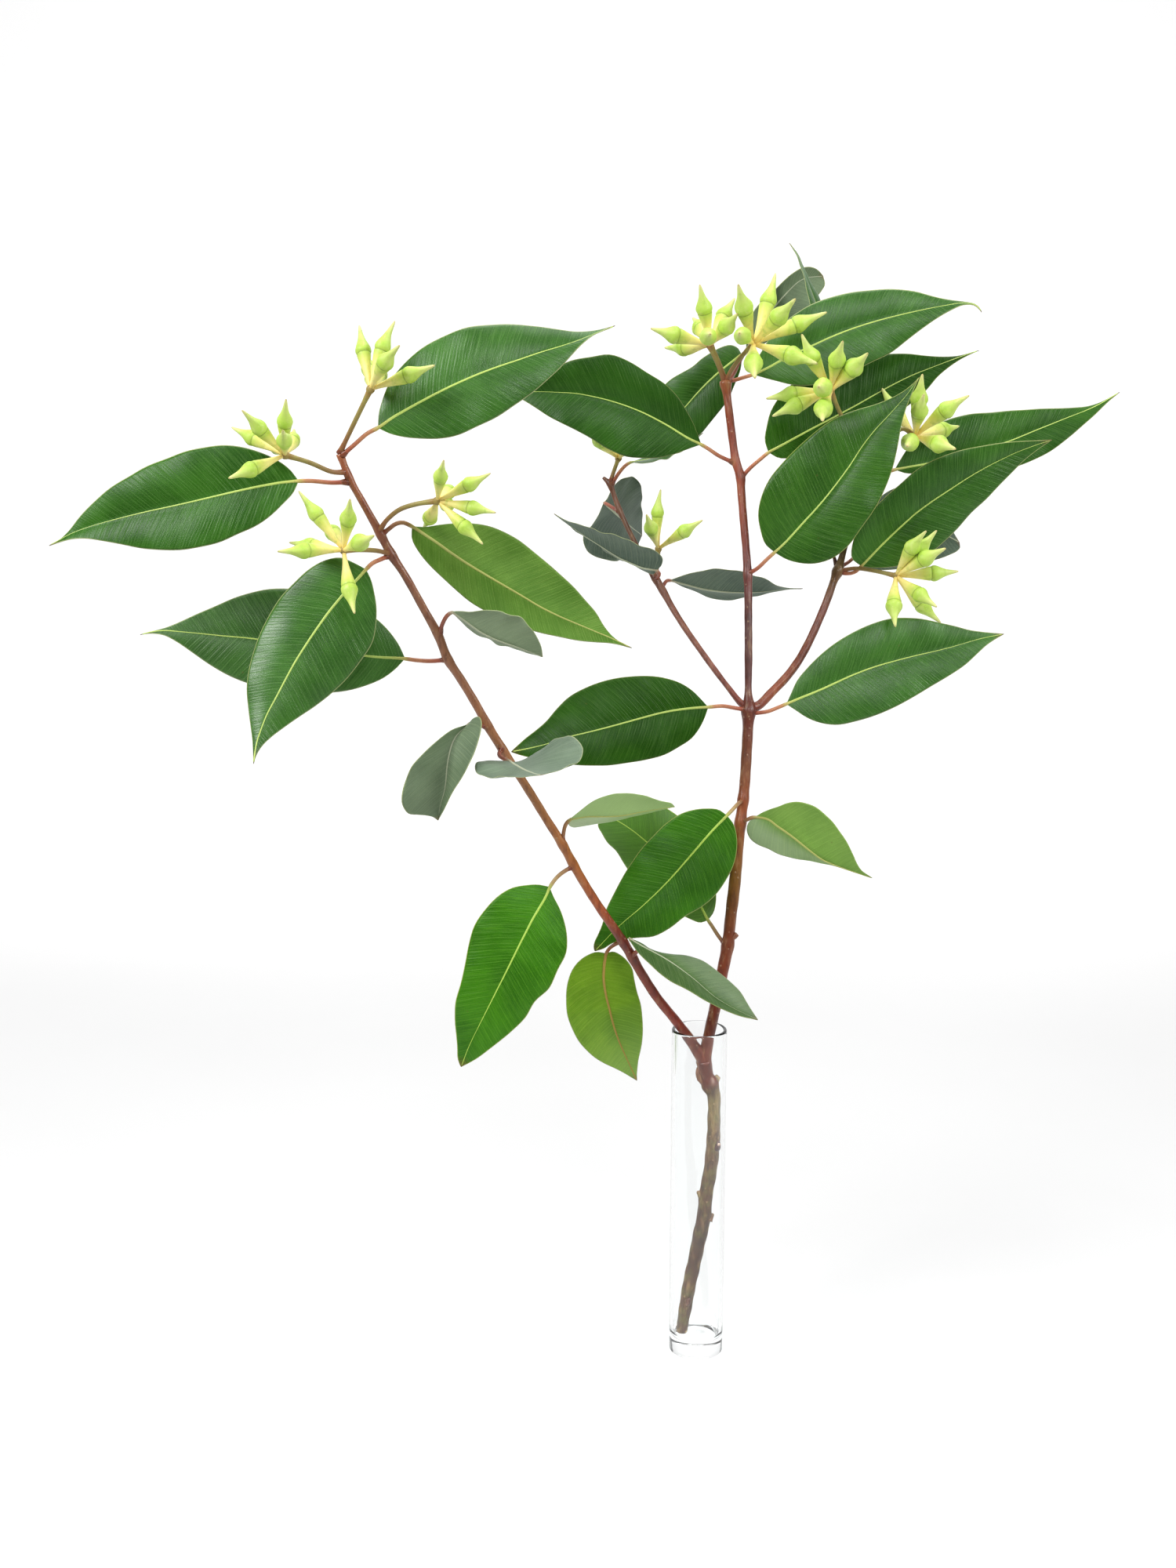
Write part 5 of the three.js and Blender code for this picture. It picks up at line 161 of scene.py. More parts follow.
        "A": [[-52.8,90.0,480.7],[-50.8,92.0,482.9],[-49.3,94.5,485.8],[-47.6,97.6,489.1],[-45.0,101.4,492.4],[-41.3,106.0,495.3],[-36.3,111.5,496.4],[-31.6,117.9,493.9],[-29.9,124.7,489.0],[-29.1,131.9,484.0],[-28.7,139.4,478.9],[-28.4,146.3,474.5],[-28.2,152.7,470.5],[-28.0,158.3,467.2],[-27.8,163.1,464.4],[-27.7,166.1,462.7],[-27.6,168.0,461.6]],
        "B": [[-52.8,90.0,480.7],[-54.2,92.0,477.4],[-55.7,94.5,474.0],[-57.9,97.6,470.2],[-60.7,101.4,466.2],[-63.9,106.0,461.7],[-64.9,111.5,455.9],[-60.8,117.9,450.8],[-54.9,124.7,447.8],[-48.5,131.9,446.5],[-42.0,139.4,446.7],[-36.8,146.3,448.9],[-33.0,152.7,451.9],[-30.8,158.3,455.4],[-29.2,163.1,458.5],[-28.3,166.1,460.3],[-27.6,168.0,461.6]]},
    "leaf_inner_left": {"kind": "grey", "face": -1, "pet": [[-23.5,64.0,437.3],[-22.3,60.0,438.4],[-21.5,57.0,440.2]],
        "M": [[-22.9,55.0,442.5],[-25.0,54.3,442.7],[-27.7,53.3,443.0],[-31.1,52.2,443.6],[-34.9,51.0,445.0],[-39.2,49.6,446.9],[-44.1,48.3,449.1],[-49.3,47.0,452.2],[-54.3,45.9,455.5],[-59.4,45.0,458.7],[-64.3,44.4,461.9],[-68.7,44.0,464.9],[-72.5,43.9,467.5],[-75.7,43.8,469.9],[-78.3,43.9,471.8],[-79.9,44.0,473.0],[-81.0,44.0,473.8]],
        "A": [[-22.9,55.0,442.5],[-20.6,50.6,445.2],[-20.1,46.8,448.9],[-23.0,43.0,452.3],[-27.6,39.2,454.7],[-32.8,35.8,456.7],[-38.6,32.9,458.6],[-44.8,31.0,460.8],[-50.7,30.3,462.9],[-56.5,30.7,464.7],[-62.3,32.1,466.3],[-67.4,34.1,467.7],[-71.7,36.4,469.2],[-75.3,38.8,470.7],[-78.2,41.1,472.2],[-79.8,42.7,473.2],[-81.0,44.0,473.8]],
        "B": [[-22.9,55.0,442.5],[-25.0,58.6,439.9],[-28.4,61.1,441.0],[-32.1,63.2,442.8],[-36.3,64.9,444.9],[-41.1,66.1,446.9],[-46.2,66.5,449.6],[-51.5,66.0,452.9],[-56.5,64.4,456.2],[-61.4,62.1,459.5],[-66.2,59.0,462.7],[-70.3,55.8,465.4],[-73.7,52.7,467.9],[-76.5,49.8,470.1],[-78.8,47.2,472.0],[-80.1,45.5,473.1],[-81.0,44.0,473.8]]},
    "leaf_inner_right": {"kind": "grey", "face": -1, "pet": [[-20.1,62.0,431.0],[-18.1,67.0,434.4],[-16.6,70.0,435.9]],
        "M": [[-14.6,73.0,436.2],[-12.3,74.0,435.6],[-9.2,75.4,434.6],[-5.4,76.9,433.6],[-0.7,78.7,432.3],[4.8,80.6,430.9],[11.1,82.6,429.8],[18.4,84.5,429.0],[25.6,86.2,428.6],[32.9,87.5,428.6],[40.1,88.6,429.0],[46.5,89.3,429.6],[52.0,89.7,430.3],[56.8,89.9,430.6],[60.8,90.0,430.7],[63.1,90.0,430.7],[64.7,90.0,430.8]],
        "A": [[-14.6,73.0,436.2],[-11.1,70.8,437.6],[-7.2,69.7,439.0],[-2.8,68.8,440.4],[2.4,68.4,441.8],[8.2,68.5,442.6],[14.8,69.1,442.2],[21.9,70.5,441.7],[28.9,72.5,440.8],[35.7,75.0,438.8],[42.0,77.8,436.0],[47.4,80.6,433.1],[52.6,83.2,431.7],[57.1,85.5,431.1],[60.9,87.5,430.9],[63.2,88.9,430.9],[64.7,90.0,430.8]],
        "B": [[-14.6,73.0,436.2],[-10.9,77.7,434.3],[-6.9,81.9,432.2],[-2.1,86.2,430.2],[3.3,90.5,428.1],[9.3,94.5,425.8],[16.1,98.0,424.1],[23.6,100.5,423.7],[30.8,101.8,424.2],[37.5,101.9,426.0],[44.0,100.9,427.5],[49.6,99.2,428.7],[54.3,97.1,429.5],[58.3,95.0,430.1],[61.6,92.8,430.4],[63.5,91.3,430.6],[64.7,90.0,430.8]]},
    "leaf_right_behind": {"kind": "grey", "face": -1, "pet": [[79.5,56.3,442.9],[83.8,63.0,444.9],[87.7,68.0,446.8]],
        "M": [[90.9,71.0,449.2],[92.7,71.8,450.3],[95.0,72.8,451.7],[98.0,74.1,453.4],[101.6,75.5,455.3],[106.0,77.1,457.4],[111.0,78.8,459.7],[116.9,80.6,461.8],[122.8,82.2,463.5],[129.0,83.6,464.6],[135.3,84.9,464.7],[140.8,85.9,464.0],[145.5,86.6,462.6],[149.2,87.2,460.8],[152.3,87.6,459.2],[154.2,87.9,458.2],[155.4,88.0,457.6]],
        "A": [[90.9,71.0,449.2],[91.5,72.5,454.1],[92.5,74.1,459.4],[94.1,75.8,465.2],[96.6,77.7,471.7],[100.9,79.7,478.0],[107.2,81.7,483.8],[115.2,83.6,488.5],[124.1,85.1,489.4],[132.6,86.3,486.6],[139.4,87.2,481.2],[144.5,87.7,475.6],[148.0,88.0,470.1],[150.7,88.2,465.3],[153.0,88.2,461.4],[154.5,88.1,459.1],[155.4,88.0,457.6]],
        "B": [[90.9,71.0,449.2],[93.2,72.5,446.4],[96.1,74.1,443.9],[100.4,75.8,442.6],[105.5,77.7,441.9],[111.1,79.7,441.8],[117.2,81.7,442.2],[123.7,83.6,443.1],[129.9,85.1,444.4],[135.9,86.3,445.8],[141.6,87.2,447.5],[146.5,87.7,449.1],[150.6,88.0,450.8],[153.8,88.2,452.4],[155.8,88.2,454.6],[155.6,88.1,456.4],[155.4,88.0,457.6]]},
}
CLUSTERS = {
    "buds_far_left": {"fat": 0.87, "ped": [[-177.4,-76.0,491.9],[-183.4,-82.0,491.8],[-192.8,-88.0,495.8],[-203.6,-92.0,499.1]],
        "tips": [[-198.4,-113.7,522.8],[-218.2,-114.2,517.9],[-230.7,-80.1,512.6],[-225.9,-112.7,487.6],[-204.1,-62.4,512.6],[-198.3,-122.7,508.4],[-216.0,-62.6,505.9]]},
    "buds_top_left": {"fat": 0.87, "ped": [[-180.3,-77.5,500.6],[-172.3,-85.0,513.5],[-163.0,-92.0,529.0]],
        "tips": [[-169.4,-79.2,559.4],[-152.0,-87.5,560.4],[-146.7,-115.7,546.3],[-132.1,-100.6,539.0],[-159.9,-61.4,542.6],[-168.4,-64.6,547.8],[-165.1,-60.2,539.4]]},
    "buds_left_centre": {"fat": 0.87, "ped": [[-163.2,-70.5,463.7],[-158.8,-76.0,469.1],[-152.2,-80.0,474.0],[-143.8,-84.0,476.6],[-133.0,-88.0,478.1]],
        "tips": [[-127.6,-113.5,495.8],[-107.0,-100.7,490.4],[-104.7,-100.7,472.4],[-111.1,-98.3,457.9],[-142.5,-60.6,465.7],[-128.9,-57.5,485.1],[-128.7,-56.8,476.0]]},
    "buds_left_low": {"fat": 0.87, "ped": [[-158.2,-68.0,452.9],[-162.9,-77.0,454.6],[-169.2,-87.0,455.2],[-177.1,-93.0,455.1]],
        "tips": [[-197.6,-93.0,482.6],[-169.9,-116.6,478.5],[-205.9,-75.4,458.6],[-204.4,-113.2,454.8],[-159.1,-121.2,461.8],[-170.4,-109.2,425.9],[-191.2,-65.0,468.4]]},
    "buds_top_centre": {"stout": 1.45, "ped": [[14.7,60.5,546.5],[10.3,57.0,556.4],[5.3,53.0,565.6]],
        "tips": [[-1.9,34.5,595.0],[-27.9,43.0,573.2],[-18.1,79.8,567.0],[-2.2,82.4,584.1],[20.1,70.0,593.1],[17.6,22.1,578.2],[2.4,17.5,567.6]]},
    "buds_top_right": {"stout": 1.1, "ped": [[15.1,60.5,546.1],[16.8,56.0,550.8],[21.3,49.0,557.6],[28.2,42.0,565.0]],
        "tips": [[16.6,12.6,591.9],[40.9,50.8,603.5],[46.7,10.1,584.2],[67.9,42.0,581.7],[60.2,18.9,552.0],[16.3,2.2,566.1],[25.5,6.5,543.5]]},
    "buds_right_upper": {"ped": [[92.3,63.0,504.6],[87.3,55.0,513.6],[79.2,47.0,524.6],[73.7,41.0,533.4],[70.2,36.0,539.7]],
        "tips": [[71.2,6.8,562.5],[84.7,6.1,556.2],[51.2,20.2,567.3],[34.1,29.3,534.9],[37.4,26.7,525.4],[58.3,0.9,538.6],[61.0,5.1,521.3]]},
    "buds_right_far": {"ped": [[92.6,62.6,496.7],[99.9,58.0,507.8],[107.8,55.0,516.6],[113.6,54.0,520.4],[120.3,54.0,516.4]],
        "tips": [[119.2,34.2,548.2],[117.8,22.3,536.5],[144.9,34.8,537.3],[150.0,76.0,523.3],[135.7,20.8,507.6],[109.1,18.8,509.1],[104.7,74.2,543.9]]},
    "buds_right_low": {"ped": [[79.7,56.0,441.6],[88.3,52.0,443.4],[98.3,46.0,442.2],[109.5,40.0,439.6]],
        "tips": [[120.5,18.7,464.5],[127.9,24.7,464.5],[131.6,18.5,455.1],[144.2,40.0,442.0],[135.1,40.0,413.3],[127.2,15.0,423.4],[105.5,18.9,412.6]]},
    "buds_inner": {"fat": 0.87, "ped": [[-23.3,64.0,436.8],[-22.2,68.0,444.4],[-21.7,67.0,454.2]],
        "tips": [[-21.4,60.2,487.5],[-29.7,40.0,473.3],[2.0,48.7,470.3]]},
    "buds_inner_top": {"fat": 0.87, "ped": [[-49.6,77.0,491.1],[-47.1,79.0,498.2],[-44.4,82.0,505.6]],
        "tips": [[-55.6,97.1,535.2],[-46.6,89.0,539.9],[-36.5,60.9,532.5],[-62.0,55.3,520.1],[-33.7,49.8,514.6]]},
}
VASE = dict(od=30.6, h=191.0, wall=2.0, base=9.0, fillet=4.0)
EYE = np.array([-62.0, -840.0, 463.0])


# ------------------------------------------------------------------ numeric helpers
def unit(v):
    v = np.asarray(v, float)
    n = np.linalg.norm(v, axis=-1, keepdims=True)
    return v / np.maximum(n, 1e-9)


def spline(pts, n=24):
    """dense centripetal Catmull-Rom through the points (any number of columns; distance by the first three)"""
    p = np.asarray(pts, float)
    if len(p) < 3:
        return p[0] + (p[-1] - p[0]) * np.linspace(0, 1, n)[:, None]
    q = np.vstack([2 * p[0] - p[1], p, 2 * p[-1] - p[-2]])
    out = []
    for i in range(1, len(q) - 2):
        p0, p1, p2, p3 = q[i - 1:i + 3]
        t0 = 0.0
        t1 = t0 + max(1e-5, np.linalg.norm((p1 - p0)[:3])) ** 0.5
        t2 = t1 + max(1e-5, np.linalg.norm((p2 - p1)[:3])) ** 0.5
        t3 = t2 + max(1e-5, np.linalg.norm((p3 - p2)[:3])) ** 0.5
        t = np.linspace(t1, t2, n, endpoint=False)[:, None]
        a1 = (t1 - t) / (t1 - t0) * p0 + (t - t0) / (t1 - t0) * p1
        a2 = (t2 - t) / (t2 - t1) * p1 + (t - t1) / (t2 - t1) * p2
        a3 = (t3 - t) / (t3 - t2) * p2 + (t - t2) / (t3 - t2) * p3
        b1 = (t2 - t) / (t2 - t0) * a1 + (t - t0) / (t2 - t0) * a2
        b2 = (t3 - t) / (t3 - t1) * a2 + (t - t1) / (t3 - t1) * a3
        out.append((t2 - t) / (t2 - t1) * b1 + (t - t1) / (t2 - t1) * b2)
    out.append(q[-2][None, :])
    return np.vstack(out)


def arc(d):
    return np.r_[0, np.cumsum(np.linalg.norm(np.diff(d[:, :3], axis=0), axis=1))]


def resample(pts, count=None, step=None):
    d = spline(pts)
    s = arc(d)
    n = count or max(3, int(round(s[-1] / step)) + 1)
    u = np.linspace(0, s[-1], n)
    return np.stack([np.interp(u, s, d[:, k]) for k in range(d.shape[1])], -1)


def at_stations(rail, ts_in, ts_out):
    """smooth rail value at new station parameters (natural spacing by station number)"""
    d = spline(rail, 16)
    k = np.linspace(0, len(rail) - 1, len(d))
    want = np.interp(ts_out, ts_in, np.arange(len(rail)))
    return np.stack([np.interp(want, k, d[:, c]) for c in range(3)], -1)


def tangents(p):
    t = np.gradient(p, axis=0)
    return unit(t)


def transported(p):
    t = tangents(p)
    u = np.array([0, 0, 1.0]) if abs(t[0][2]) < 0.8 else np.array([1.0, 0, 0])
    us = []
    for k in range(len(p)):
        u = unit(u - t[k] * np.dot(u, t[k]))
        us.append(u)
    us = np.array(us)
    return t, us, np.cross(t, us)


def hash01(*a):
    x = math.sin(sum((i + 1.37) * 12.9898 * float(v) for i, v in enumerate(a)) + 4.1) * 43758.5453
    return x - math.floor(x)


class Build:
    """collects vertices, faces, material numbers and point attributes for one mesh object"""

    def __init__(self):
        self.v, self.f, self.m, self.a, self.n = [], [], [], {}, 0

    def add(self, verts, faces, mat=0, **attrs):
        verts = np.asarray(verts, float).reshape(-1, 3)
        base = self.n
        self.v.append(verts)
        self.f += [tuple(base + i for i in q) for q in faces]
        self.m += [mat] * len(faces)
        self.n += len(verts)
        for k in set(self.a) | set(attrs):
            col = self.a.setdefault(k, [np.zeros(base)])
            val = attrs.get(k, 0.0)
            col.append(np.broadcast_to(np.asarray(val, float).reshape(-1) if np.ndim(val) else np.float64(val), (len(verts),)).copy())
        return base

    def tube(self, pts, radii, sides=12, mat=0, flat=None, flat_dir=None, bump=None, close=True, **attrs):
        p = np.asarray(pts, float)
        r = np.broadcast_to(np.asarray(radii, float), (len(p),))
        t, u, w = transported(p)
        if flat_dir is not None:
            u = unit(flat_dir - t * np.sum(flat_dir * t, 1, keepdims=True))
            w = np.cross(t, u)
        ang = np.linspace(0, 2 * np.pi, sides, endpoint=False)
        fu = np.ones(len(p)) if flat is None else np.broadcast_to(flat, (len(p),))
        rr = r[:, None] * np.ones(sides)[None]
        if bump is not None:
            rr = rr * bump(arc(p)[:, None], ang[None, :], r[:, None])
        ring = p[:, None, :] + (rr * np.cos(ang) * fu[:, None])[..., None] * u[:, None, :] + (rr * np.sin(ang))[..., None] * w[:, None, :]
        n = len(p)
        faces = [(i * sides + j, i * sides + (j + 1) % sides, (i + 1) * sides + (j + 1) % sides, (i + 1) * sides + j) for i in range(n - 1) for j in range(sides)]
        if close:
            faces.append(tuple(range(sides - 1, -1, -1)))
            faces.append(tuple((n - 1) * sides + j for j in range(sides)))
        full = {k: (np.repeat(np.asarray(v, float), sides) if np.ndim(v) else v) for k, v in attrs.items()}
        full.setdefault("ang", np.tile(ang / (2 * np.pi), n))
        self.add(ring.reshape(-1, 3), faces, mat, **full)

    def make(self, name, mats, smooth=True):
        me = bpy.data.meshes.new(name)
        v = np.vstack(self.v) * MM
        me.from_pydata(v.tolist(), [], self.f)
        for mt in mats:
            me.materials.append(mt)
        me.polygons.foreach_set("material_index", self.m)
        me.polygons.foreach_set("use_smooth", [smooth] * len(me.polygons))
        for k, cols in self.a.items():
            val = np.concatenate(cols)
            at = me.attributes.new(k, "FLOAT", "POINT")
            at.data.foreach_set("value", val.astype(np.float32))
        me.update()
        o = bpy.data.objects.new(name, me)
        bpy.context.scene.collection.objects.link(o)
        return o


# ------------------------------------------------------------------ material helpers
class Nodes:
    def __init__(self, name):
        self.mat = bpy.data.materials.new(name)
        self.mat.use_nodes = True
        self.nt = self.mat.node_tree
        self.bsdf = self.nt.nodes["Principled BSDF"]

    def link(self, a, b):
        self.nt.links.new(a, b)

    def put(self, sock, v):
        if v is None:
            return
        if hasattr(v, "is_linked") or isinstance(v, bpy.types.NodeSocket):
            self.link(v, sock)
        else:
            sock.default_value = v

    def attr(self, name):
        n = self.nt.nodes.new("ShaderNodeAttribute")
        n.attribute_name = name
        return n.outputs["Fac"]

    def math(self, op, a, b=None, c=None, clamp=False):
        n = self.nt.nodes.new("ShaderNodeMath")
        n.operation = op
        n.use_clamp = clamp
        for i, x in enumerate((a, b, c)):
            self.put(n.inputs[i], x)
        return n.outputs[0]

    def mix(self, f, a, b, mode="MIX"):
        n = self.nt.nodes.new("ShaderNodeMix")
        n.data_type = "RGBA"
        n.blend_type = mode
        self.put(n.inputs[0], f)
        for i, x in ((6, a), (7, b)):
            if isinstance(x, tuple) and len(x) == 3:
                x = (*x, 1)
            self.put(n.inputs[i], x)
        return n.outputs[2]

    def ramp(self, f, stops, interp="LINEAR"):
        n = self.nt.nodes.new("ShaderNodeValToRGB")
        n.color_ramp.interpolation = interp
        el = n.color_ramp.elements
        while len(el) < len(stops):
            el.new(0.5)
        for e, (p, c) in zip(el, stops):
            e.position = p
            e.color = (*c, 1) if len(c) == 3 else c
        self.put(n.inputs[0], f)
        return n.outputs[0]

    def smooth(self, x, lo, hi, a=0.0, b=1.0):
        n = self.nt.nodes.new("ShaderNodeMapRange")
        n.interpolation_type = "SMOOTHSTEP"
        n.clamp = True
        for i, v in enumerate((x, lo, hi, a, b)):
            self.put(n.inputs[i], v)
        return n.outputs[0]

    def vec(self, x, y, z):
        n = self.nt.nodes.new("ShaderNodeCombineXYZ")
        for i, v in enumerate((x, y, z)):
            self.put(n.inputs[i], v)
        return n.outputs[0]

    def noise(self, vec, scale, detail=3.0, rough=0.55, dim="3D", w=None):
        n = self.nt.nodes.new("ShaderNodeTexNoise")
        n.noise_dimensions = dim
        if vec is not None:
            self.link(vec, n.inputs["Vector"])
        n.inputs["Scale"].default_value = scale
        n.inputs["Detail"].default_value = detail
        n.inputs["Roughness"].default_value = rough
        return n.outputs["Fac"]

    def voronoi(self, vec, scale, feature="DISTANCE_TO_EDGE"):
        n = self.nt.nodes.new("ShaderNodeTexVoronoi")
        n.feature = feature
        self.link(vec, n.inputs["Vector"])
        n.inputs["Scale"].default_value = scale
        return n.outputs["Distance"]

    def obj_coord(self):
        n = self.nt.nodes.new("ShaderNodeTexCoord")
        return n.outputs["Object"]

    def bump(self, h, strength=0.3, dist=0.0005, normal=None):
        n = self.nt.nodes.new("ShaderNodeBump")
        n.inputs["Strength"].default_value = strength
        n.inputs["Distance"].default_value = dist
        self.link(h, n.inputs["Height"])
        if normal is not None:
            self.link(normal, n.inputs["Normal"])
        return n.outputs[0]


def srgb(r, g, b):
    f = lambda c: (c / 255 / 12.92) if c / 255 <= 0.04045 else ((c / 255 + 0.055) / 1.055) ** 2.4
    return (f(r), f(g), f(b))


# ------------------------------------------------------------------ leaf material
def leaf_material(name, top_a, top_b, top_vein, under_a, under_b, under_vein, rough=0.4, spec=0.5, pale=(196, 216, 178)):
    N = Nodes(name)
    sl, wl, w, t, under, rnd = (N.attr(k) for k in ("sl", "wl", "w", "t", "under", "rnd"))
    aw = N.math("ABSOLUTE", wl)
    aw1 = N.math("ABSOLUTE", w)
    # sheet coordinates in millimetres, shifted leaf by leaf
    p = N.vec(N.math("ADD", sl, N.math("MULTIPLY", rnd, 500.0)), wl, N.math("MULTIPLY", rnd, 90.0))
    wob = N.noise(p, 0.09, 2.0)
    # side veins sweep forward from the midrib, closely set
    lead = N.math("MULTIPLY", aw, 0.48)
    ph = N.math("SUBTRACT", sl, lead)
    ph = N.math("ADD", ph, N.math("MULTIPLY", N.math("SUBTRACT", wob, 0.5), 1.1))
    f1 = N.math("ABSOLUTE", N.math("SUBTRACT", N.math("FRACT", N.math("MULTIPLY", ph, 0.29)), 0.5))
    v1 = N.smooth(f1, 0.0, 0.085, 1.0, 0.0)
    f2 = N.math("ABSOLUTE", N.math("SUBTRACT", N.math("FRACT", N.math("ADD", N.math("MULTIPLY", ph, 0.61), 0.31)), 0.5))
    v2 = N.smooth(f2, 0.0, 0.14, 0.55, 0.0)
    veins = N.math("MAXIMUM", v1, v2)
    edge_vein = N.smooth(N.math("ABSOLUTE", N.math("SUBTRACT", aw1, 0.945)), 0.0, 0.012, 0.7, 0.0)
    veins = N.math("MAXIMUM", veins, edge_vein)
    # fade the veins where the blade is smooth
    patch = N.noise(p, 0.05, 2.0)
    veins = N.math("MULTIPLY", veins, N.smooth(patch, 0.3, 0.7, 0.5, 1.0))
    # fine grain drawn out along the side veins
    drawn = N.noise(N.vec(N.math("MULTIPLY", ph, 1.8), N.math("MULTIPLY", aw, 0.1), N.math("MULTIPLY", rnd, 70.0)), 1.0, 2.0)
    net = N.smooth(N.voronoi(p, 0.85), 0.0, 0.16, 1.0, 0.0)
    mottle = N.noise(p, 0.035, 4.0)
    grain = N.noise(p, 1.6, 2.0)
    top = N.mix(N.smooth(mottle, 0.32, 0.68), (*top_a, 1), (*top_b, 1))
    top = N.mix(N.smooth(drawn, 0.62, 0.34, 0.0, 0.34), top, N.mix(1.0, top, (0.5, 0.55, 0.45), "MULTIPLY"))
    top = N.mix(N.smooth(drawn, 0.5, 0.78, 0.0, 0.3), top, (*top_vein, 1))
    top = N.mix(N.math("MULTIPLY", veins, 0.42), top, (*top_vein, 1))
    top = N.mix(N.math("MULTIPLY", net, 0.1), top, (*top_vein, 1))
    top = N.mix(N.math("MULTIPLY", grain, 0.16), top, (*[c * 0.55 for c in top_a], 1))
    inset = N.math("SUBTRACT", N.math("DIVIDE", aw, N.math("MAXIMUM", aw1, 0.05)), aw)
    rim = N.math("MULTIPLY", N.smooth(inset, 0.12, 0.55, 1.0, 0.0), N.smooth(aw1, 0.4, 0.6))
    top = N.mix(N.math("MULTIPLY", rim, 0.75), top, (*srgb(178, 186, 128), 1))
    und = N.mix(N.smooth(mottle, 0.3, 0.7), (*under_a, 1), (*under_b, 1))
    und = N.mix(N.smooth(drawn, 0.62, 0.34, 0.0, 0.4), und, N.mix(1.0, und, (0.62, 0.66, 0.6), "MULTIPLY"))
    und = N.mix(N.math("MULTIPLY", veins, 0.5), und, (*under_vein, 1))
    und = N.mix(N.math("MULTIPLY", net, 0.22), und, (*[c * 0.75 for c in under_a], 1))
    und = N.mix(N.math("MULTIPLY", rim, 0.6), und, (*srgb(176, 180, 132), 1))
    # rare brown specks
    speck = N.smooth(N.voronoi(p, 0.055, "F1"), 0.0, 0.045, 1.0, 0.0)
    col = N.mix(under, top, und)
    col = N.mix(N.smooth(t, 0.93, 1.0, 0.0, 0.7), col, (*srgb(112, 84, 58), 1))
    # painted shade and light per leaf: leaves deep in the plant are darkened as painted shade, negative amounts paint
    # lit leaves and undersides paler
    tone = N.attr("tone")
    col = N.mix(N.math("MAXIMUM", tone, 0.0), col, N.mix(1.0, col, (0.4, 0.45, 0.3), "MULTIPLY"))
    col = N.mix(N.math("MAXIMUM", N.math("MULTIPLY", tone, -1.0), 0.0), col, N.mix(0.5, col, (*srgb(*pale), 1)))
    warm = N.attr("warm")
    col = N.mix(N.math("MAXIMUM", warm, 0.0), col, N.mix(1.0, col, (1.2, 1.25, 0.35), "MULTIPLY"))
    col = N.mix(N.math("MAXIMUM", N.math("MULTIPLY", warm, -1.0), 0.0), col, N.mix(1.0, col, (0.85, 0.95, 1.8), "MULTIPLY"))
    # a pale waxy bloom, partly painted sheen, near the stalk and along one half of some undersides
    bloom = N.attr("bloom")
    col = N.mix(N.math("MULTIPLY", bloom, N.smooth(mottle, 0.2, 0.6, 0.7, 1.0)), col, (*srgb(206, 218, 196), 1))
    col = N.mix(N.math("MULTIPLY", speck, 0.5), col, (*srgb(96, 82, 40), 1))
    N.link(col, N.bsdf.inputs["Base Color"])
    r = N.math("ADD", N.math("MULTIPLY", under, 0.16), rough)
    r = N.math("ADD", r, N.math("MULTIPLY", N.math("SUBTRACT", grain, 0.5), 0.16))
    r = N.math("ADD", r, N.math("MULTIPLY", veins, 0.06), None, True)
    N.link(r, N.bsdf.inputs["Roughness"])
    # leaves darkened as painted shade also lose specular
    sp = N.math("SUBTRACT", spec, N.math("MULTIPLY", N.math("MAXIMUM", tone, 0.0), spec * 0.75))
    sp = N.math("MULTIPLY", sp, N.attr("gloss"))
    N.link(N.math("ADD", sp, N.math("MULTIPLY", N.math("SUBTRACT", drawn, 0.5), 0.25), None, True), N.bsdf.inputs["Specular IOR Level"])
    h = N.math("SUBTRACT", N.math("MULTIPLY", veins, N.math("SUBTRACT", N.math("MULTIPLY", under, 1.6), 0.8)), N.math("MULTIPLY", net, 0.16))
    h = N.math("ADD", h, N.math("MULTIPLY", grain, 0.25))
    h = N.math("ADD", h, N.math("MULTIPLY", drawn, 0.6))
    N.link(N.bump(h, 0.5, 0.0002), N.bsdf.inputs["Normal"])
    return N.mat


MAT = {}
MAT["adult"] = leaf_material("leaf_dark", srgb(40, 88, 18), srgb(58, 112, 30), srgb(100, 146, 66), srgb(92, 118, 88), srgb(110, 136, 100), srgb(142, 158, 116), 0.34, 0.5)
MAT["young"] = leaf_material("leaf_young", srgb(42, 100, 3), srgb(58, 122, 8), srgb(96, 154, 36), srgb(112, 140, 84), srgb(128, 154, 92), srgb(158, 174, 112), 0.4, 0.4)
MAT["bright"] = leaf_material("leaf_pale", srgb(46, 98, 26), srgb(66, 118, 36), srgb(110, 150, 66), srgb(84, 128, 36), srgb(112, 154, 58), srgb(140, 174, 82), 0.46, 0.3, (176, 216, 128))
MAT["grey"] = leaf_material("leaf_grey", srgb(76, 110, 66), srgb(96, 130, 80), srgb(136, 156, 110), srgb(66, 88, 72), srgb(94, 114, 94), srgb(132, 146, 122), 0.4, 0.5)
MAT["yellow"] = leaf_material("leaf_yellow", srgb(96, 136, 28), srgb(122, 158, 44), srgb(146, 174, 72), srgb(96, 144, 10), srgb(126, 172, 28), srgb(156, 188, 64), 0.46, 0.32)


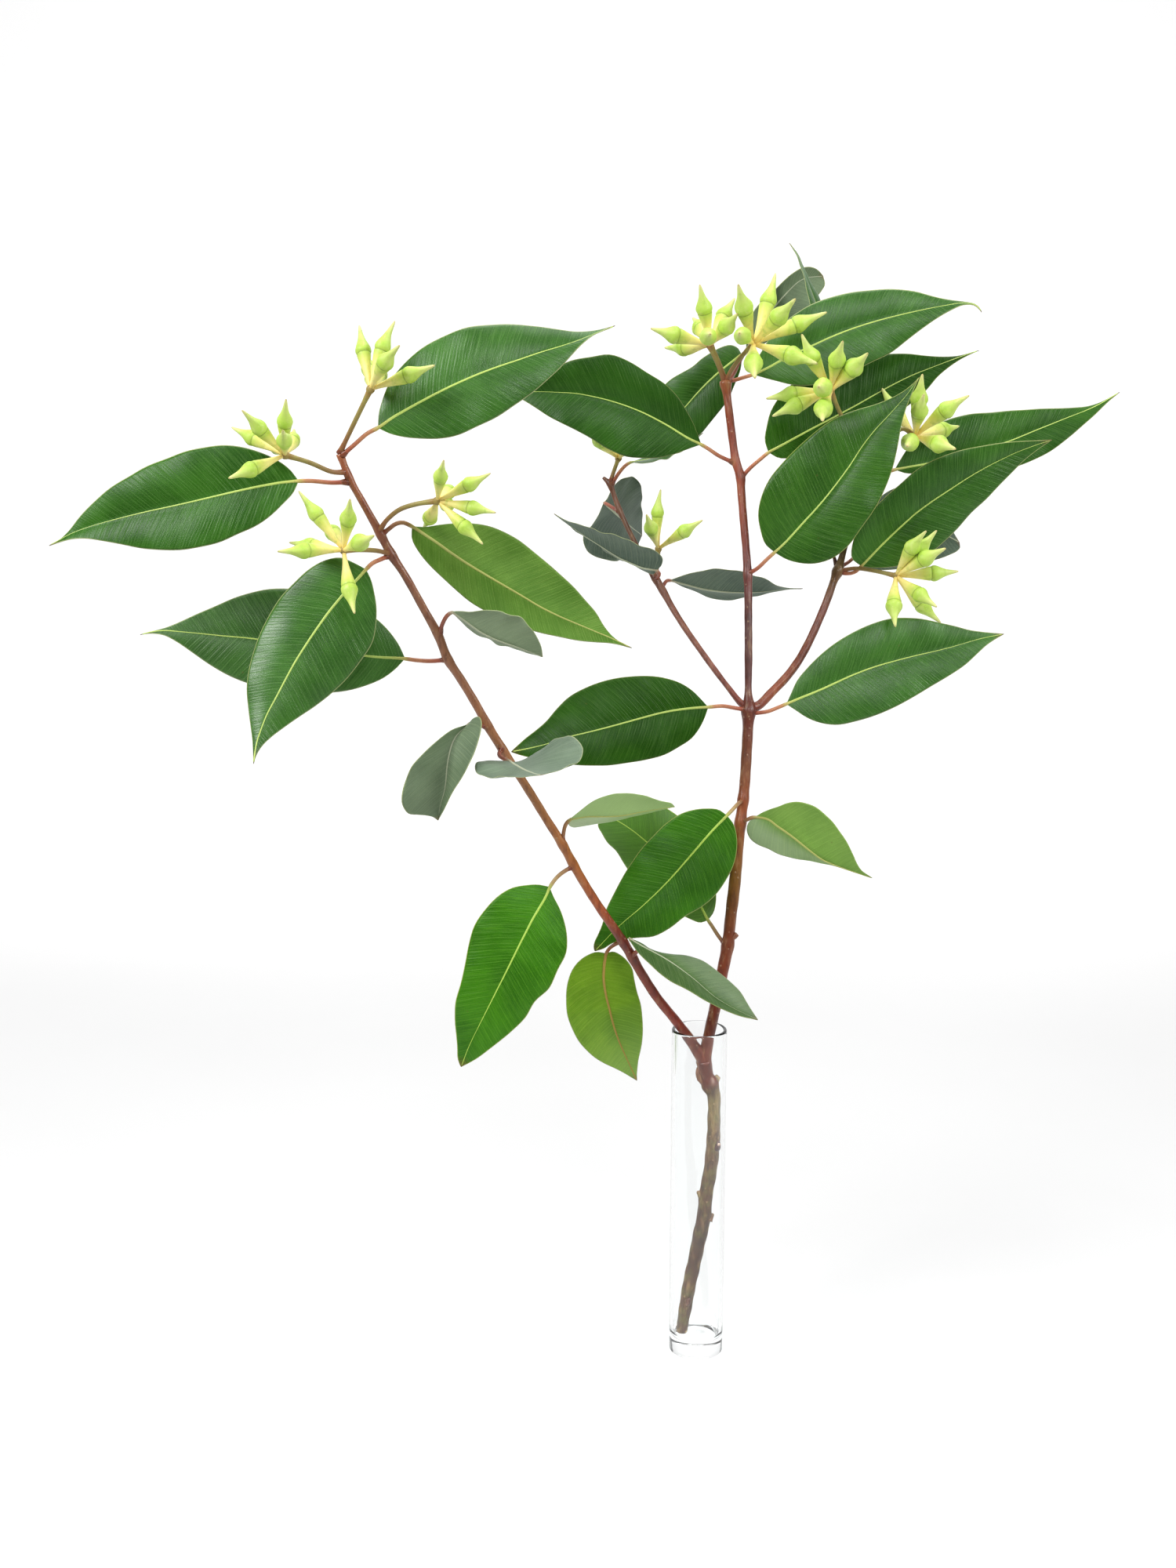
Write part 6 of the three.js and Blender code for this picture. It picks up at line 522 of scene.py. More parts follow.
def rib_material(name, rib, stalk, stalk_dark):
    N = Nodes(name)
    f, rnd = N.attr("f"), N.attr("rnd")
    p = N.obj_coord()
    n1 = N.noise(p, 420.0, 3.0)
    n2 = N.noise(p, 1800.0, 2.0)
    st = N.mix(N.smooth(f, 0.0, 0.85), (*stalk_dark, 1), (*stalk, 1))
    st = N.mix(N.smooth(n1, 0.4, 0.7, 0.0, 0.35), st, (*stalk_dark, 1))
    col = N.mix(N.smooth(f, 0.8, 1.12), st, (*rib, 1))
    col = N.mix(N.smooth(n2, 0.5, 0.8, 0.0, 0.22), col, (*[c * 0.6 for c in stalk_dark], 1))
    N.link(col, N.bsdf.inputs["Base Color"])
    N.link(N.math("ADD", N.math("MULTIPLY", n2, 0.2), 0.36), N.bsdf.inputs["Roughness"])
    N.link(N.bump(n2, 0.25, 0.00015), N.bsdf.inputs["Normal"])
    return N.mat


RIB = {
    "adult": rib_material("rib_dark", srgb(186, 210, 104), srgb(196, 136, 96), srgb(156, 72, 52)),
    "young": rib_material("rib_young", srgb(176, 210, 84), srgb(178, 150, 100), srgb(140, 92, 62)),
    "bright": rib_material("rib_pale", srgb(172, 178, 94), srgb(160, 120, 76), srgb(128, 74, 52)),
    "grey": rib_material("rib_grey", srgb(168, 176, 146), srgb(160, 96, 72), srgb(128, 60, 48)),
    "yellow": rib_material("rib_yellow", srgb(168, 138, 56), srgb(150, 84, 44), srgb(120, 60, 36)),
}


def leaf_object(name, l, index):
    ts = np.array(TS)
    M0, A0, B0 = (np.array(l[k], float) for k in ("M", "A", "B"))
    nu, H = 54, 9
    tt = 0.5 - 0.5 * np.cos(np.linspace(0, np.pi, nu))
    tt = 0.35 * tt + 0.65 * np.linspace(0, 1, nu)
    tt = np.clip(tt, 0.004, 0.997)
    M, A, B = (at_stations(q, ts, tt) for q in (M0, A0, B0))
    T = tangents(M)
    n0 = unit(np.cross(A - B, T))
    look = EYE - M[nu // 2]
    area2 = np.cross(A - B, T).sum(0)
    flip_n = 1.0 if np.dot(area2, look) > 0 else -1.0     # towards the front
    flip_n *= 1.0 if l["face"] > 0 else -1.0               # towards the upper side of the blade
    n0 = n0 * flip_n
    ha, hb = np.linalg.norm(A - M, axis=1), np.linalg.norm(B - M, axis=1)
    r1, r2, r3, r4 = (hash01(index, k) for k in range(4))
    cols, wl, ww = [], [], []
    for j in range(2 * H + 1):
        w = (j - H) / H
        a = abs(w)
        a = 1 - (1 - a) ** 1.25                 # closer rows near the margin
        edge, hw = (A, ha) if w < 0 else (B, hb)
        P = M + (edge - M) * a
        camber = l.get("camber", 0.075) * hw * 4 * a * (1 - a) * 0.9
        wave = 0.035 * l.get("wave", 1.0) * hw * a ** 2 * (np.sin(2 * np.pi * (tt * (2.2 + 1.6 * r1) + r2 + (0.37 if w < 0 else 0))) + 0.6 * np.sin(2 * np.pi * (tt * (5.1 + 2 * r3) + r4 + (0.21 if w < 0 else 0))))
        env = np.sin(np.pi * tt) ** 0.7
        P = P + n0 * ((camber + wave) * env)[:, None]
        cols.append(P)
        wl.append(np.sign(w) * a * hw)
        ww.append(np.full(nu, np.sign(w) * a))
    P = np.array(cols)                          # column, row
    dt = np.gradient(P, axis=1)
    dw = np.gradient(P, axis=0)
    n = np.cross(dt, dw)
    if np.sum(n * n0[None]) < 0:
        n = -n
    ln = np.linalg.norm(n, axis=2, keepdims=True)
    n = np.where(ln > 1e-6, n / np.maximum(ln, 1e-9), n0[None])
    th = 0.19 * (1 - 0.45 * np.abs(np.array(ww)) ** 5)
    top, bot = P + n * th[..., None], P - n * th[..., None]
    nc = 2 * H + 1
    grid = lambda c, r: c * nu + r
    quads = [(grid(c, r), grid(c + 1, r), grid(c + 1, r + 1), grid(c, r + 1)) for c in range(nc - 1) for r in range(nu - 1)]
    # orient so that the top sheet faces along n
    c0, r0 = nc // 4, nu // 2
    e1, e2 = P[c0 + 1, r0] - P[c0, r0], P[c0 + 1, r0 + 1] - P[c0, r0]
    if np.dot(np.cross(e1, e2), n[c0, r0]) < 0:
        quads = [q[::-1] for q in quads]
        flip = True
    else:
        flip = False
    off = nc * nu
    faces = list(quads) + [tuple(off + i for i in q[::-1]) for q in quads]
    loop = [grid(c, 0) for c in range(nc)] + [grid(nc - 1, r) for r in range(1, nu)] + [grid(c, nu - 1) for c in range(nc - 2, -1, -1)] + [grid(0, r) for r in range(nu - 2, 0, -1)]
    for i, a in enumerate(loop):
        b = loop[(i + 1) % len(loop)]
        q = (a, off + a, off + b, b)
        faces.append(q if not flip else q[::-1])
    sl = arc(M)
    length = sl[-1]
    SL = np.tile(sl, nc)
    WL, WW = np.array(wl).reshape(-1), np.array(ww).reshape(-1)
    TT = np.tile(tt, nc)
    # painted shade and light on halves and ends, darker or paler, plus pale patches that are part waxy bloom and part
    # painted sheen: [amount, half (-1, 1 or 0), from t, to t]
    LIGHT_AND_SHADE, BLOOM_AND_SHEEN = np.full(off, float(l.get("tone", 0.0))), np.zeros(off)
    for key, arr in (("shade", LIGHT_AND_SHADE), ("bloom", BLOOM_AND_SHEEN)):
        for amt, half, ta, tb in l.get(key, []):
            k = np.clip((TT - ta) / (tb - ta), 0, 1)
            k = k * k * (3 - 2 * k)
            if half:
                g = np.clip(WW * half * 1.6 + 0.15, 0, 1)
                k = k * g * g * (3 - 2 * g)
            arr += amt * k
    bd = Build()
    rnd = hash01(index, 9.7)
    two = lambda x: np.r_[x, x]
    bd.add(np.vstack([top.reshape(-1, 3), bot.reshape(-1, 3)]), faces, 0, sl=two(SL), wl=two(WL), w=two(WW), t=two(TT), under=np.r_[np.zeros(off), np.ones(off)], rnd=np.full(2 * off, rnd), f=np.full(2 * off, 1.0), tone=two(LIGHT_AND_SHADE), warm=np.full(2 * off, l.get("warm", 0.0)), bloom=two(BLOOM_AND_SHEEN), gloss=np.full(2 * off, l.get("gloss", 0.85)))
    # stalk running on as the midrib
    pet = np.array(l["pet"], float)
    k = int(nu * 0.985)
    path_m = M[1:k:1] + n0[1:k:1] * (-0.02)
    stalk = resample(np.vstack([pet, M[0:1]]), step=1.6)
    path = np.vstack([stalk[:-1], path_m])
    ns = len(stalk) - 1
    f = np.r_[np.linspace(0, 1, ns, endpoint=False), 1 + np.linspace(0, 1, len(path_m))]
    rib_r = l.get("rib", 0.72)
    rad = np.r_[np.interp(np.linspace(0, 1, ns), [0, 0.08, 0.2, 0.85, 1], [1.45, 1.28, 1.12, 1.04, 1.04]), np.maximum(rib_r * (1 - np.linspace(0, 1, len(path_m))) ** 0.75 + 0.13, 0.36)]
    flat = np.r_[np.linspace(1, 1, ns), np.interp(np.linspace(0, 1, len(path_m)), [0, 0.08, 0.6, 1], [0.95, 0.62, 0.72, 0.8])]
    nd = np.vstack([np.repeat(n0[0:1], ns, 0), n0[1:k:1]])
    bd.tube(path, rad, 8, 1, flat=flat, flat_dir=nd, f=f, rnd=np.full(len(path), rnd))
    o = bd.make("v_" + name, [MAT[l["kind"]], RIB[l["kind"]]])
    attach(o, "root")
    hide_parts(name)
    return o


TS = [0, 0.03, 0.07, 0.12, 0.18, 0.25, 0.33, 0.42, 0.51, 0.6, 0.69, 0.77, 0.84, 0.9, 0.95, 0.98, 1.0]

for i, (name, l) in enumerate(LEAVES.items()):
    leaf_object(name, l, i + 1)


# ------------------------------------------------------------------ woody branch
def bark_material():
    N = Nodes("bark")
    old = N.attr("old")
    cc = N.nt.nodes.new("ShaderNodeCombineColor")
    for i, k in enumerate(("cr", "cg", "cb")):
        N.link(N.attr(k), cc.inputs[i])
    tint = cc.outputs[0]
    p = N.obj_coord()
    mp = N.nt.nodes.new("ShaderNodeMapping")
    mp.inputs["Scale"].default_value = (1, 1, 0.28)
    N.link(p, mp.inputs["Vector"])
    sp = mp.outputs[0]
    fine = N.noise(sp, 1000.0, 4.0, 0.6)
    streak = N.noise(sp, 330.0, 4.0, 0.6)
    blot = N.noise(p, 170.0, 5.0, 0.62)
    patch = N.noise(sp, 420.0, 4.0, 0.6)
    col = N.mix(N.smooth(streak, 0.32, 0.5, 0.62, 0.0), tint, N.mix(1.0, tint, (0.42, 0.34, 0.32), "MULTIPLY"))
    col = N.mix(N.smooth(streak, 0.52, 0.72, 0.0, 0.38), col, N.mix(0.5, tint, (*srgb(206, 170, 120), 1)))
    # the old wood is blotched olive, tan and dark brown
    col = N.mix(N.math("MULTIPLY", old, N.smooth(blot, 0.5, 0.62, 0.0, 0.6)), col, (*srgb(92, 88, 40), 1))
    col = N.mix(N.math("MULTIPLY", old, N.smooth(blot, 0.46, 0.36, 0.0, 0.6)), col, (*srgb(70, 36, 20), 1))
    col = N.mix(N.math("MULTIPLY", old, N.smooth(patch, 0.5, 0.64, 0.0, 0.55)), col, (*srgb(38, 22, 12), 1))
    col = N.mix(N.math("MULTIPLY", old, N.smooth(patch, 0.46, 0.34, 0.0, 0.3)), col, (*srgb(164, 136, 92), 1))
    col = N.mix(N.smooth(fine, 0.55, 0.78, 0.0, 0.5), col, (*srgb(58, 38, 30), 1))
    lent = N.smooth(N.voronoi(p, 240.0, "F1"), 0.08, 0.17, 1.0, 0.0)
    col = N.mix(N.math("MULTIPLY", lent, 0.4), col, (*srgb(184, 152, 116), 1))
    N.link(col, N.bsdf.inputs["Base Color"])
    r = N.math("ADD", N.math("MULTIPLY", fine, 0.24), 0.22)
    N.link(N.math("ADD", r, N.math("MULTIPLY", old, 0.2)), N.bsdf.inputs["Roughness"])
    hh = N.math("ADD", N.math("MULTIPLY", fine, 0.7), N.math("MULTIPLY", lent, 0.6))
    hh = N.math("ADD", hh, N.math("MULTIPLY", streak, 0.8))
    N.link(N.bump(hh, 0.45, 0.0004), N.bsdf.inputs["Normal"])
    return N.mat


BARK = bark_material()
# colour along each axis: fraction of its length, colour; the main stem and the lowest stops of both branches stand
# inside the glass, where the real red-brown and olive bark is darkened as painted shade
TINTS = {
    "main_stem": [(0, (70, 46, 28)), (0.1, (78, 50, 26)), (0.3, (64, 38, 18)), (0.4, (56, 34, 14)), (0.5, (72, 42, 20)), (0.62, (80, 52, 26)), (0.74, (96, 72, 40)), (0.86, (102, 86, 46)), (0.895, (94, 72, 34)), (0.915, (84, 30, 8)), (1, (84, 30, 12))],
    "left_branch": [(0, (96, 38, 14)), (0.06, (100, 38, 18)), (0.09, (136, 48, 28)), (0.2, (122, 46, 24)), (0.25, (100, 36, 22)), (0.3, (162, 78, 40)), (0.38, (164, 98, 46)), (0.5, (158, 106, 62)), (0.64, (148, 98, 68)), (0.76, (144, 98, 70)), (0.88, (124, 74, 56)), (1, (158, 92, 60))],
    "right_branch": [(0, (96, 38, 14)), (0.07, (98, 40, 22)), (0.1, (122, 54, 34)), (0.2, (112, 54, 26)), (0.28, (122, 84, 30)), (0.38, (150, 80, 46)), (0.44, (118, 70, 44)), (0.5, (106, 52, 38)), (0.56, (96, 50, 42)), (0.65, (78, 36, 30)), (0.75, (126, 68, 62)), (0.84, (154, 82, 62)), (0.94, (134, 58, 38)), (1, (140, 80, 46))],
    "inner_twig": [(0, (116, 54, 44)), (0.2, (138, 88, 74)), (0.5, (122, 80, 64)), (0.8, (98, 66, 48)), (1, (118, 72, 50))],
    "outer_twig": [(0, (112, 52, 40)), (0.12, (146, 80, 56)), (0.28, (110, 58, 40)), (0.45, (120, 70, 58)), (0.62, (120, 94, 60)), (0.7, (74, 56, 30)), (1, (92, 62, 46))],
}


def tint(keys, f):
    x = [k[0] for k in keys]
    c = np.array([srgb(*k[1]) for k in keys])
    return {n: np.interp(f, x, c[:, i]) for i, n in enumerate(("cr", "cg", "cb"))}


# stubs, knuckles and scars: points, radii, colour, how old
KNOBS = [
    ([[7.8, 0.5, 157.2], [9.4, 0.4, 160.6], [10.7, 0.3, 162.6], [11.2, 0.3, 163.2]], [2.6, 2.1, 1.75, 1.55], (140, 118, 82), 1),
    ([[3.4, 0.4, 158.5], [1.0, 0.3, 162.2], [-0.2, 0.3, 166.2], [0.6, 0.3, 169.6]], [1.6, 2.1, 1.75, 0.7], (116, 76, 56), 0.6),
    ([[2.6, -0.5, 92.4], [0.9, -0.6, 94.6], [-0.1, -0.7, 95.6]], [2.4, 1.5, 0.7], (120, 92, 66), 1),
    ([[6.6, -0.6, 79.4], [8.2, -0.8, 81.3], [9.1, -0.9, 82.3]], [2.5, 1.5, 0.6], (118, 88, 64), 1),
    ([[9.7, -1.4, 120.6], [10.3, -3.0, 122.4], [10.8, -3.5, 124.6], [10.9, -2.9, 126.6]], [1.5, 1.7, 1.6, 0.9], (62, 26, 20), 0.0),
    ([[10.9, -3.9, 124.9], [11.2, -5.0, 125.3]], [1.0, 0.75], (214, 186, 164), 0),
    ([[-5.2, -1.6, 27.2], [-4.7, -2.2, 30.0], [-4.4, -1.8, 32.4]], [1.3, 1.6, 1.0], (70, 34, 26), 0.0),
    ([[16.8, 7.6, 240.0], [19.2, 7.2, 241.6], [20.8, 7.0, 243.2]], [2.2, 1.7, 1.35], (132, 80, 56), 0.2),
    ([[79.4, 56.5, 441.0], [78.6, 58.0, 446.0], [77.2, 58.6, 450.5]], [1.7, 1.25, 0.8], (92, 58, 48), 0),
    ([[79.8, 56.5, 441.6], [81.8, 58.4, 446.4], [83.4, 59.6, 451.0]], [1.6, 1.1, 0.7], (96, 62, 50), 0),
    ([[-8.05, 1.0, 11.5], [-8.3, 1.0, 9.9]], [3.1, 2.9], (188, 162, 122), 1),
]


def stem_object():
    bd = Build()
    joints = []
    for l in LEAVES.values():
        joints.append((np.array(l["pet"][0], float), np.array((l["pet"] + [l["M"][0]])[1], float), 1.0))
    for c in CLUSTERS.values():
        joints.append((np.array(c["ped"][0], float), np.array(c["ped"][1], float), 0.95))
    jp = np.array([j[0] for j in joints])
    for si, (name, s) in enumerate(STEMS.items()):
        d = resample(np.array(s, float), step=1.3)
        p, r = d[:, :3], d[:, 3].copy()
        ln = arc(p)
        fr = ln / ln[-1]
        # swollen nodes where stalks leave
        for q in jp:
            k = np.linalg.norm(p - q, axis=1)
            if k.min() < 6:
                r *= 1 + 0.13 * np.exp(-((ln - ln[k.argmin()]) / 3.4) ** 2)
        old = np.zeros(len(p))
        if name == "main_stem":
            old = np.clip((161 - p[:, 2]) / 2.0, 0, 1)
            r *= 1 + 0.1 * np.exp(-((p[:, 2] - 158.5) / 2.6) ** 2) - 0.1 * np.exp(-((p[:, 2] - 163.2) / 1.6) ** 2)
        ph = si * 1.7

        def bump(z, ang, rr, ph=ph, name=name):
            k = 0.055 if name == "main_stem" else 0.026
            return 1 + k * (np.sin(3 * ang + z * 0.11 + ph) * 0.6 + np.sin(5 * ang - z * 0.23 + 2 * ph) * 0.4 + np.sin(2 * ang + z * 0.037 + 3 * ph) * 0.8) + k * 0.7 * np.sin(z * 0.55 + np.sin(ang * 2 + ph) * 1.2)

        bd.tube(p, r, 20, 0, bump=bump, old=old, **tint(TINTS[name], fr))
    # small collars where each stalk leaves the wood
    for q, nx, k in joints:
        d = unit(nx - q)
        pts = np.array([q + d * x for x in (0.0, 1.8, 3.0, 4.0, 4.8)])
        bd.tube(pts, np.array([1.9, 1.6, 1.3, 1.06, 0.9]) * k, 12, 0, old=0.0, **{n: np.full(5, v) for n, v in zip(("cr", "cg", "cb"), srgb(124, 62, 42))})
    for pts, rad, colour, old in KNOBS:
        d = resample(np.c_[np.array(pts, float), np.array(rad, float)], count=7)
        bd.tube(d[:, :3], d[:, 3], 14, 0, old=float(old), bump=lambda z, ang, rr: 1 + 0.07 * np.sin(3 * ang + z) + 0.05 * np.sin(5 * ang - 2 * z), **{n: np.full(7, v) for n, v in zip(("cr", "cg", "cb"), srgb(*colour))})
    return bd


bd = stem_object()
o = bd.make("v_stem", [BARK])
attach(o, "root"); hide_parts("stem")


# ------------------------------------------------------------------ buds
def bud_material():
    N = Nodes("bud")
    f, ang, rnd = N.attr("f"), N.attr("ang"), N.attr("rnd")
    p = N.obj_coord()
    n1 = N.noise(p, 260.0, 4.0)
    n2 = N.noise(p, 1500.0, 3.0)
    col = N.ramp(f, [(0.0, srgb(206, 150, 76)), (0.07, srgb(238, 212, 124)), (0.2, srgb(242, 228, 140)), (0.34, srgb(238, 232, 138)), (0.46, srgb(212, 222, 106)), (0.55, srgb(184, 212, 84)), (0.64, srgb(180, 214, 80)), (0.76, srgb(192, 218, 100)), (0.88, srgb(208, 224, 126)), (0.975, srgb(218, 216, 144)), (1.0, srgb(182, 158, 104))])
    col = N.mix(N.smooth(n1, 0.48, 0.78, 0.0, 0.4), col, (*srgb(224, 226, 150), 1))
    col = N.mix(N.smooth(n1, 0.48, 0.28, 0.0, 0.4), col, (*srgb(144, 184, 52), 1))
    seam = N.smooth(N.math("ABSOLUTE", N.math("SUBTRACT", f, 0.552)), 0.0, 0.014, 0.7, 0.0)
    col = N.mix(seam, col, (*srgb(118, 142, 44), 1))
    speck = N.smooth(N.voronoi(p, 700.0, "F1"), 0.12, 0.22, 0.35, 0.0)
    col = N.mix(speck, col, (*srgb(214, 216, 150), 1))
    N.link(col, N.bsdf.inputs["Base Color"])
    N.link(N.math("ADD", N.math("MULTIPLY", n2, 0.2), 0.4), N.bsdf.inputs["Roughness"])
    N.bsdf.inputs["Subsurface Weight"].default_value = 0.08
    N.bsdf.inputs["Subsurface Radius"].default_value = (0.002, 0.002, 0.0008)
    N.bsdf.inputs["Subsurface Scale"].default_value = 1.0
    N.link(N.bump(n2, 0.3, 0.0002), N.bsdf.inputs["Normal"])
    return N.mat


def stalk_material():
    N = Nodes("bud_stalk")
    f = N.attr("f")
    p = N.obj_coord()
    n1, n2 = N.noise(p, 300.0, 4.0), N.noise(p, 1600.0, 2.0)
    a = N.ramp(f, [(0.0, srgb(136, 66, 46)), (0.2, srgb(140, 96, 60)), (0.5, srgb(142, 124, 68)), (0.85, srgb(156, 146, 76)), (1.0, srgb(152, 106, 52))])
    col = N.mix(N.smooth(n1, 0.4, 0.7, 0.0, 0.6), a, (*srgb(138, 108, 58), 1))
    N.link(col, N.bsdf.inputs["Base Color"])
    N.link(N.math("ADD", N.math("MULTIPLY", n2, 0.2), 0.4), N.bsdf.inputs["Roughness"])
    N.link(N.bump(n2, 0.3, 0.0002), N.bsdf.inputs["Normal"])
    return N.mat


BUD, STALK = bud_material(), stalk_material()
PROFILE = np.array([[0.0, 0.24], [0.06, 0.25], [0.13, 0.29], [0.2, 0.36], [0.27, 0.455], [0.34, 0.56], [0.41, 0.68], [0.47, 0.785], [0.515, 0.855], [0.541, 0.88], [0.551, 0.85], [0.56, 0.892], [0.573, 0.95], [0.59, 0.99], [0.606, 1.0], [0.626, 0.99], [0.648, 0.945], [0.673, 0.865], [0.702, 0.755], [0.733, 0.635], [0.767, 0.52], [0.804, 0.42], [0.845, 0.34], [0.89, 0.27], [0.935, 0.205], [0.97, 0.15], [0.991, 0.095], [1.0, 0.02]])


def cluster_object(name, c, index):
    bd = Build()
    ped = resample(c["ped"], step=1.5)
    n = len(ped)
    x = np.linspace(0, 1, n)
    rnd = hash01(index, 3.3)
    bd.tube(ped, np.interp(x, [0, 0.06, 0.2, 0.8, 1], np.array([1.6, 1.4, 1.12, 1.15, 1.55]) * c.get("stout", 1.0)), 12, 1, f=x, rnd=rnd)
    hub = np.array(c["ped"][-1], float)
    d0 = unit(ped[-1] - ped[-3])
    pts = np.array([hub + d0 * k for k in (-2.2, -1.2, 0, 1.0, 1.7, 2.0)])
    bd.tube(pts, [1.1, 1.75, 2.1, 1.8, 1.1, 0.2], 12, 1, f=np.full(6, 0.9), rnd=rnd)
    for bi, tip in enumerate(c["tips"]):
        tip = np.array(tip, float)
        d = tip - hub
        L = np.linalg.norm(d)
        R = 4.65 * c.get("fat", 1.0) * min(1.06, L / 35) * (0.94 + 0.12 * hash01(index, bi, 5))
        side = unit(np.cross(d, [hash01(index, bi) - 0.5, hash01(bi, index, 2) - 0.5, 0.6]))
        bow = L * 0.05 * (hash01(index, bi, 8) - 0.3)
        f = np.array(PROFILE[:, 0])
        # a bud on a young stalk: the beak bends a little
        pts = hub + d[None] * f[:, None] + side[None] * (bow * np.sin(np.pi * f) - 0.8 * bow * np.clip(f - 0.8, 0, 1) * 3)[:, None]
        ph = hash01(index, bi, 4) * 6.28

        def bump(z, ang, rr, ph=ph, L=L):
            fz = z / max(L, 1)
            rib = np.exp(-((fz - 0.38) / 0.17) ** 2) * 0.05 + np.exp(-((fz - 0.76) / 0.12) ** 2) * 0.015
            return 1 + rib * np.cos(3 * ang + ph) + 0.02 * np.cos(5 * ang + 2 * ph + fz * 7)

        bd.tube(pts, PROFILE[:, 1] * R, 20, 0, bump=bump, f=f, rnd=np.full(len(f), hash01(index, bi, 6)))
    o = bd.make("v_" + name, [BUD, STALK])
    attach(o, "root"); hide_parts(name)
    return o


for i, (name, c) in enumerate(CLUSTERS.items()):
    cluster_object(name, c, i + 1)


# ------------------------------------------------------------------ glass tube vase
def glass_material():
    N = Nodes("clear_glass")
    b = N.bsdf
    b.inputs["Base Color"].default_value = (0.985, 0.995, 0.995, 1)
    b.inputs["Roughness"].default_value = 0.0
    b.inputs["IOR"].default_value = 1.46
    b.inputs["Transmission Weight"].default_value = 1.0
    b.inputs["Specular IOR Level"].default_value = 0.06
    wav = N.noise(N.obj_coord(), 28.0, 2.0)
    N.link(N.bump(wav, 0.04, 0.0006), b.inputs["Normal"])
    # lamps shine through the clear wall on to the wood inside
    nt = N.nt
    out = next(n for n in nt.nodes if n.type == "OUTPUT_MATERIAL")
    path = nt.nodes.new("ShaderNodeLightPath")
    clear = nt.nodes.new("ShaderNodeBsdfTransparent")
    clear.inputs[0].default_value = (0.93, 0.95, 0.95, 1)
    both = nt.nodes.new("ShaderNodeMixShader")
    N.link(path.outputs["Is Shadow Ray"], both.inputs[0])
    N.link(b.outputs[0], both.inputs[1])
    N.link(clear.outputs[0], both.inputs[2])
    N.link(both.outputs[0], out.inputs["Surface"])
    return N.mat


def vase_object():
    R, r, h, base, fl = VASE["od"] / 2, VASE["od"] / 2 - VASE["wall"], VASE["h"], VASE["base"], VASE["fillet"]
    pr = [(0.02, 0.55), (6, 0.5), (10.5, 0.35), (R - 2.2, 0.0), (R - 1.2, 0.02), (R - 0.55, 0.2), (R - 0.15, 0.65), (R, 1.3), (R, 6), (R, 30), (R, 80), (R, 130), (R, h - 3), (R, h - 1.1)]
    k = VASE["wall"] / 2
    for a in np.linspace(0, np.pi, 9):
        pr.append((R - k + k * math.cos(a), h - k + k * math.sin(a)))
    pr += [(r, h - 3), (r, 130), (r, 80), (r, 30), (r, base + fl + 2.5)]
    for a in np.linspace(0, np.pi / 2, 10):
        pr.append((r - fl + fl * math.cos(a), base + fl - fl * math.sin(a) + 0.0))
    pr += [(r - fl - 2.5, base - 0.06), (3.0, base - 0.1), (0.02, base - 0.1)]
    pr = np.array(pr)
    n, m = 96, len(pr)
    ang = np.linspace(0, 2 * np.pi, n, endpoint=False)
    v = np.stack([pr[:, None, 0] * np.cos(ang), pr[:, None, 0] * np.sin(ang), np.repeat(pr[:, 1:2], n, 1)], -1).reshape(-1, 3)
    faces = [(i * n + j, i * n + (j + 1) % n, (i + 1) * n + (j + 1) % n, (i + 1) * n + j) for i in range(m - 1) for j in range(n)]
    faces.append(tuple(range(n - 1, -1, -1)))
    faces.append(tuple((m - 1) * n + j for j in range(n)))
    bd = Build()
    bd.add(v, faces, 0)
    o = bd.make("v_vase", [glass_material()])
    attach(o, "root"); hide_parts("vase")
    return o


vase_object()


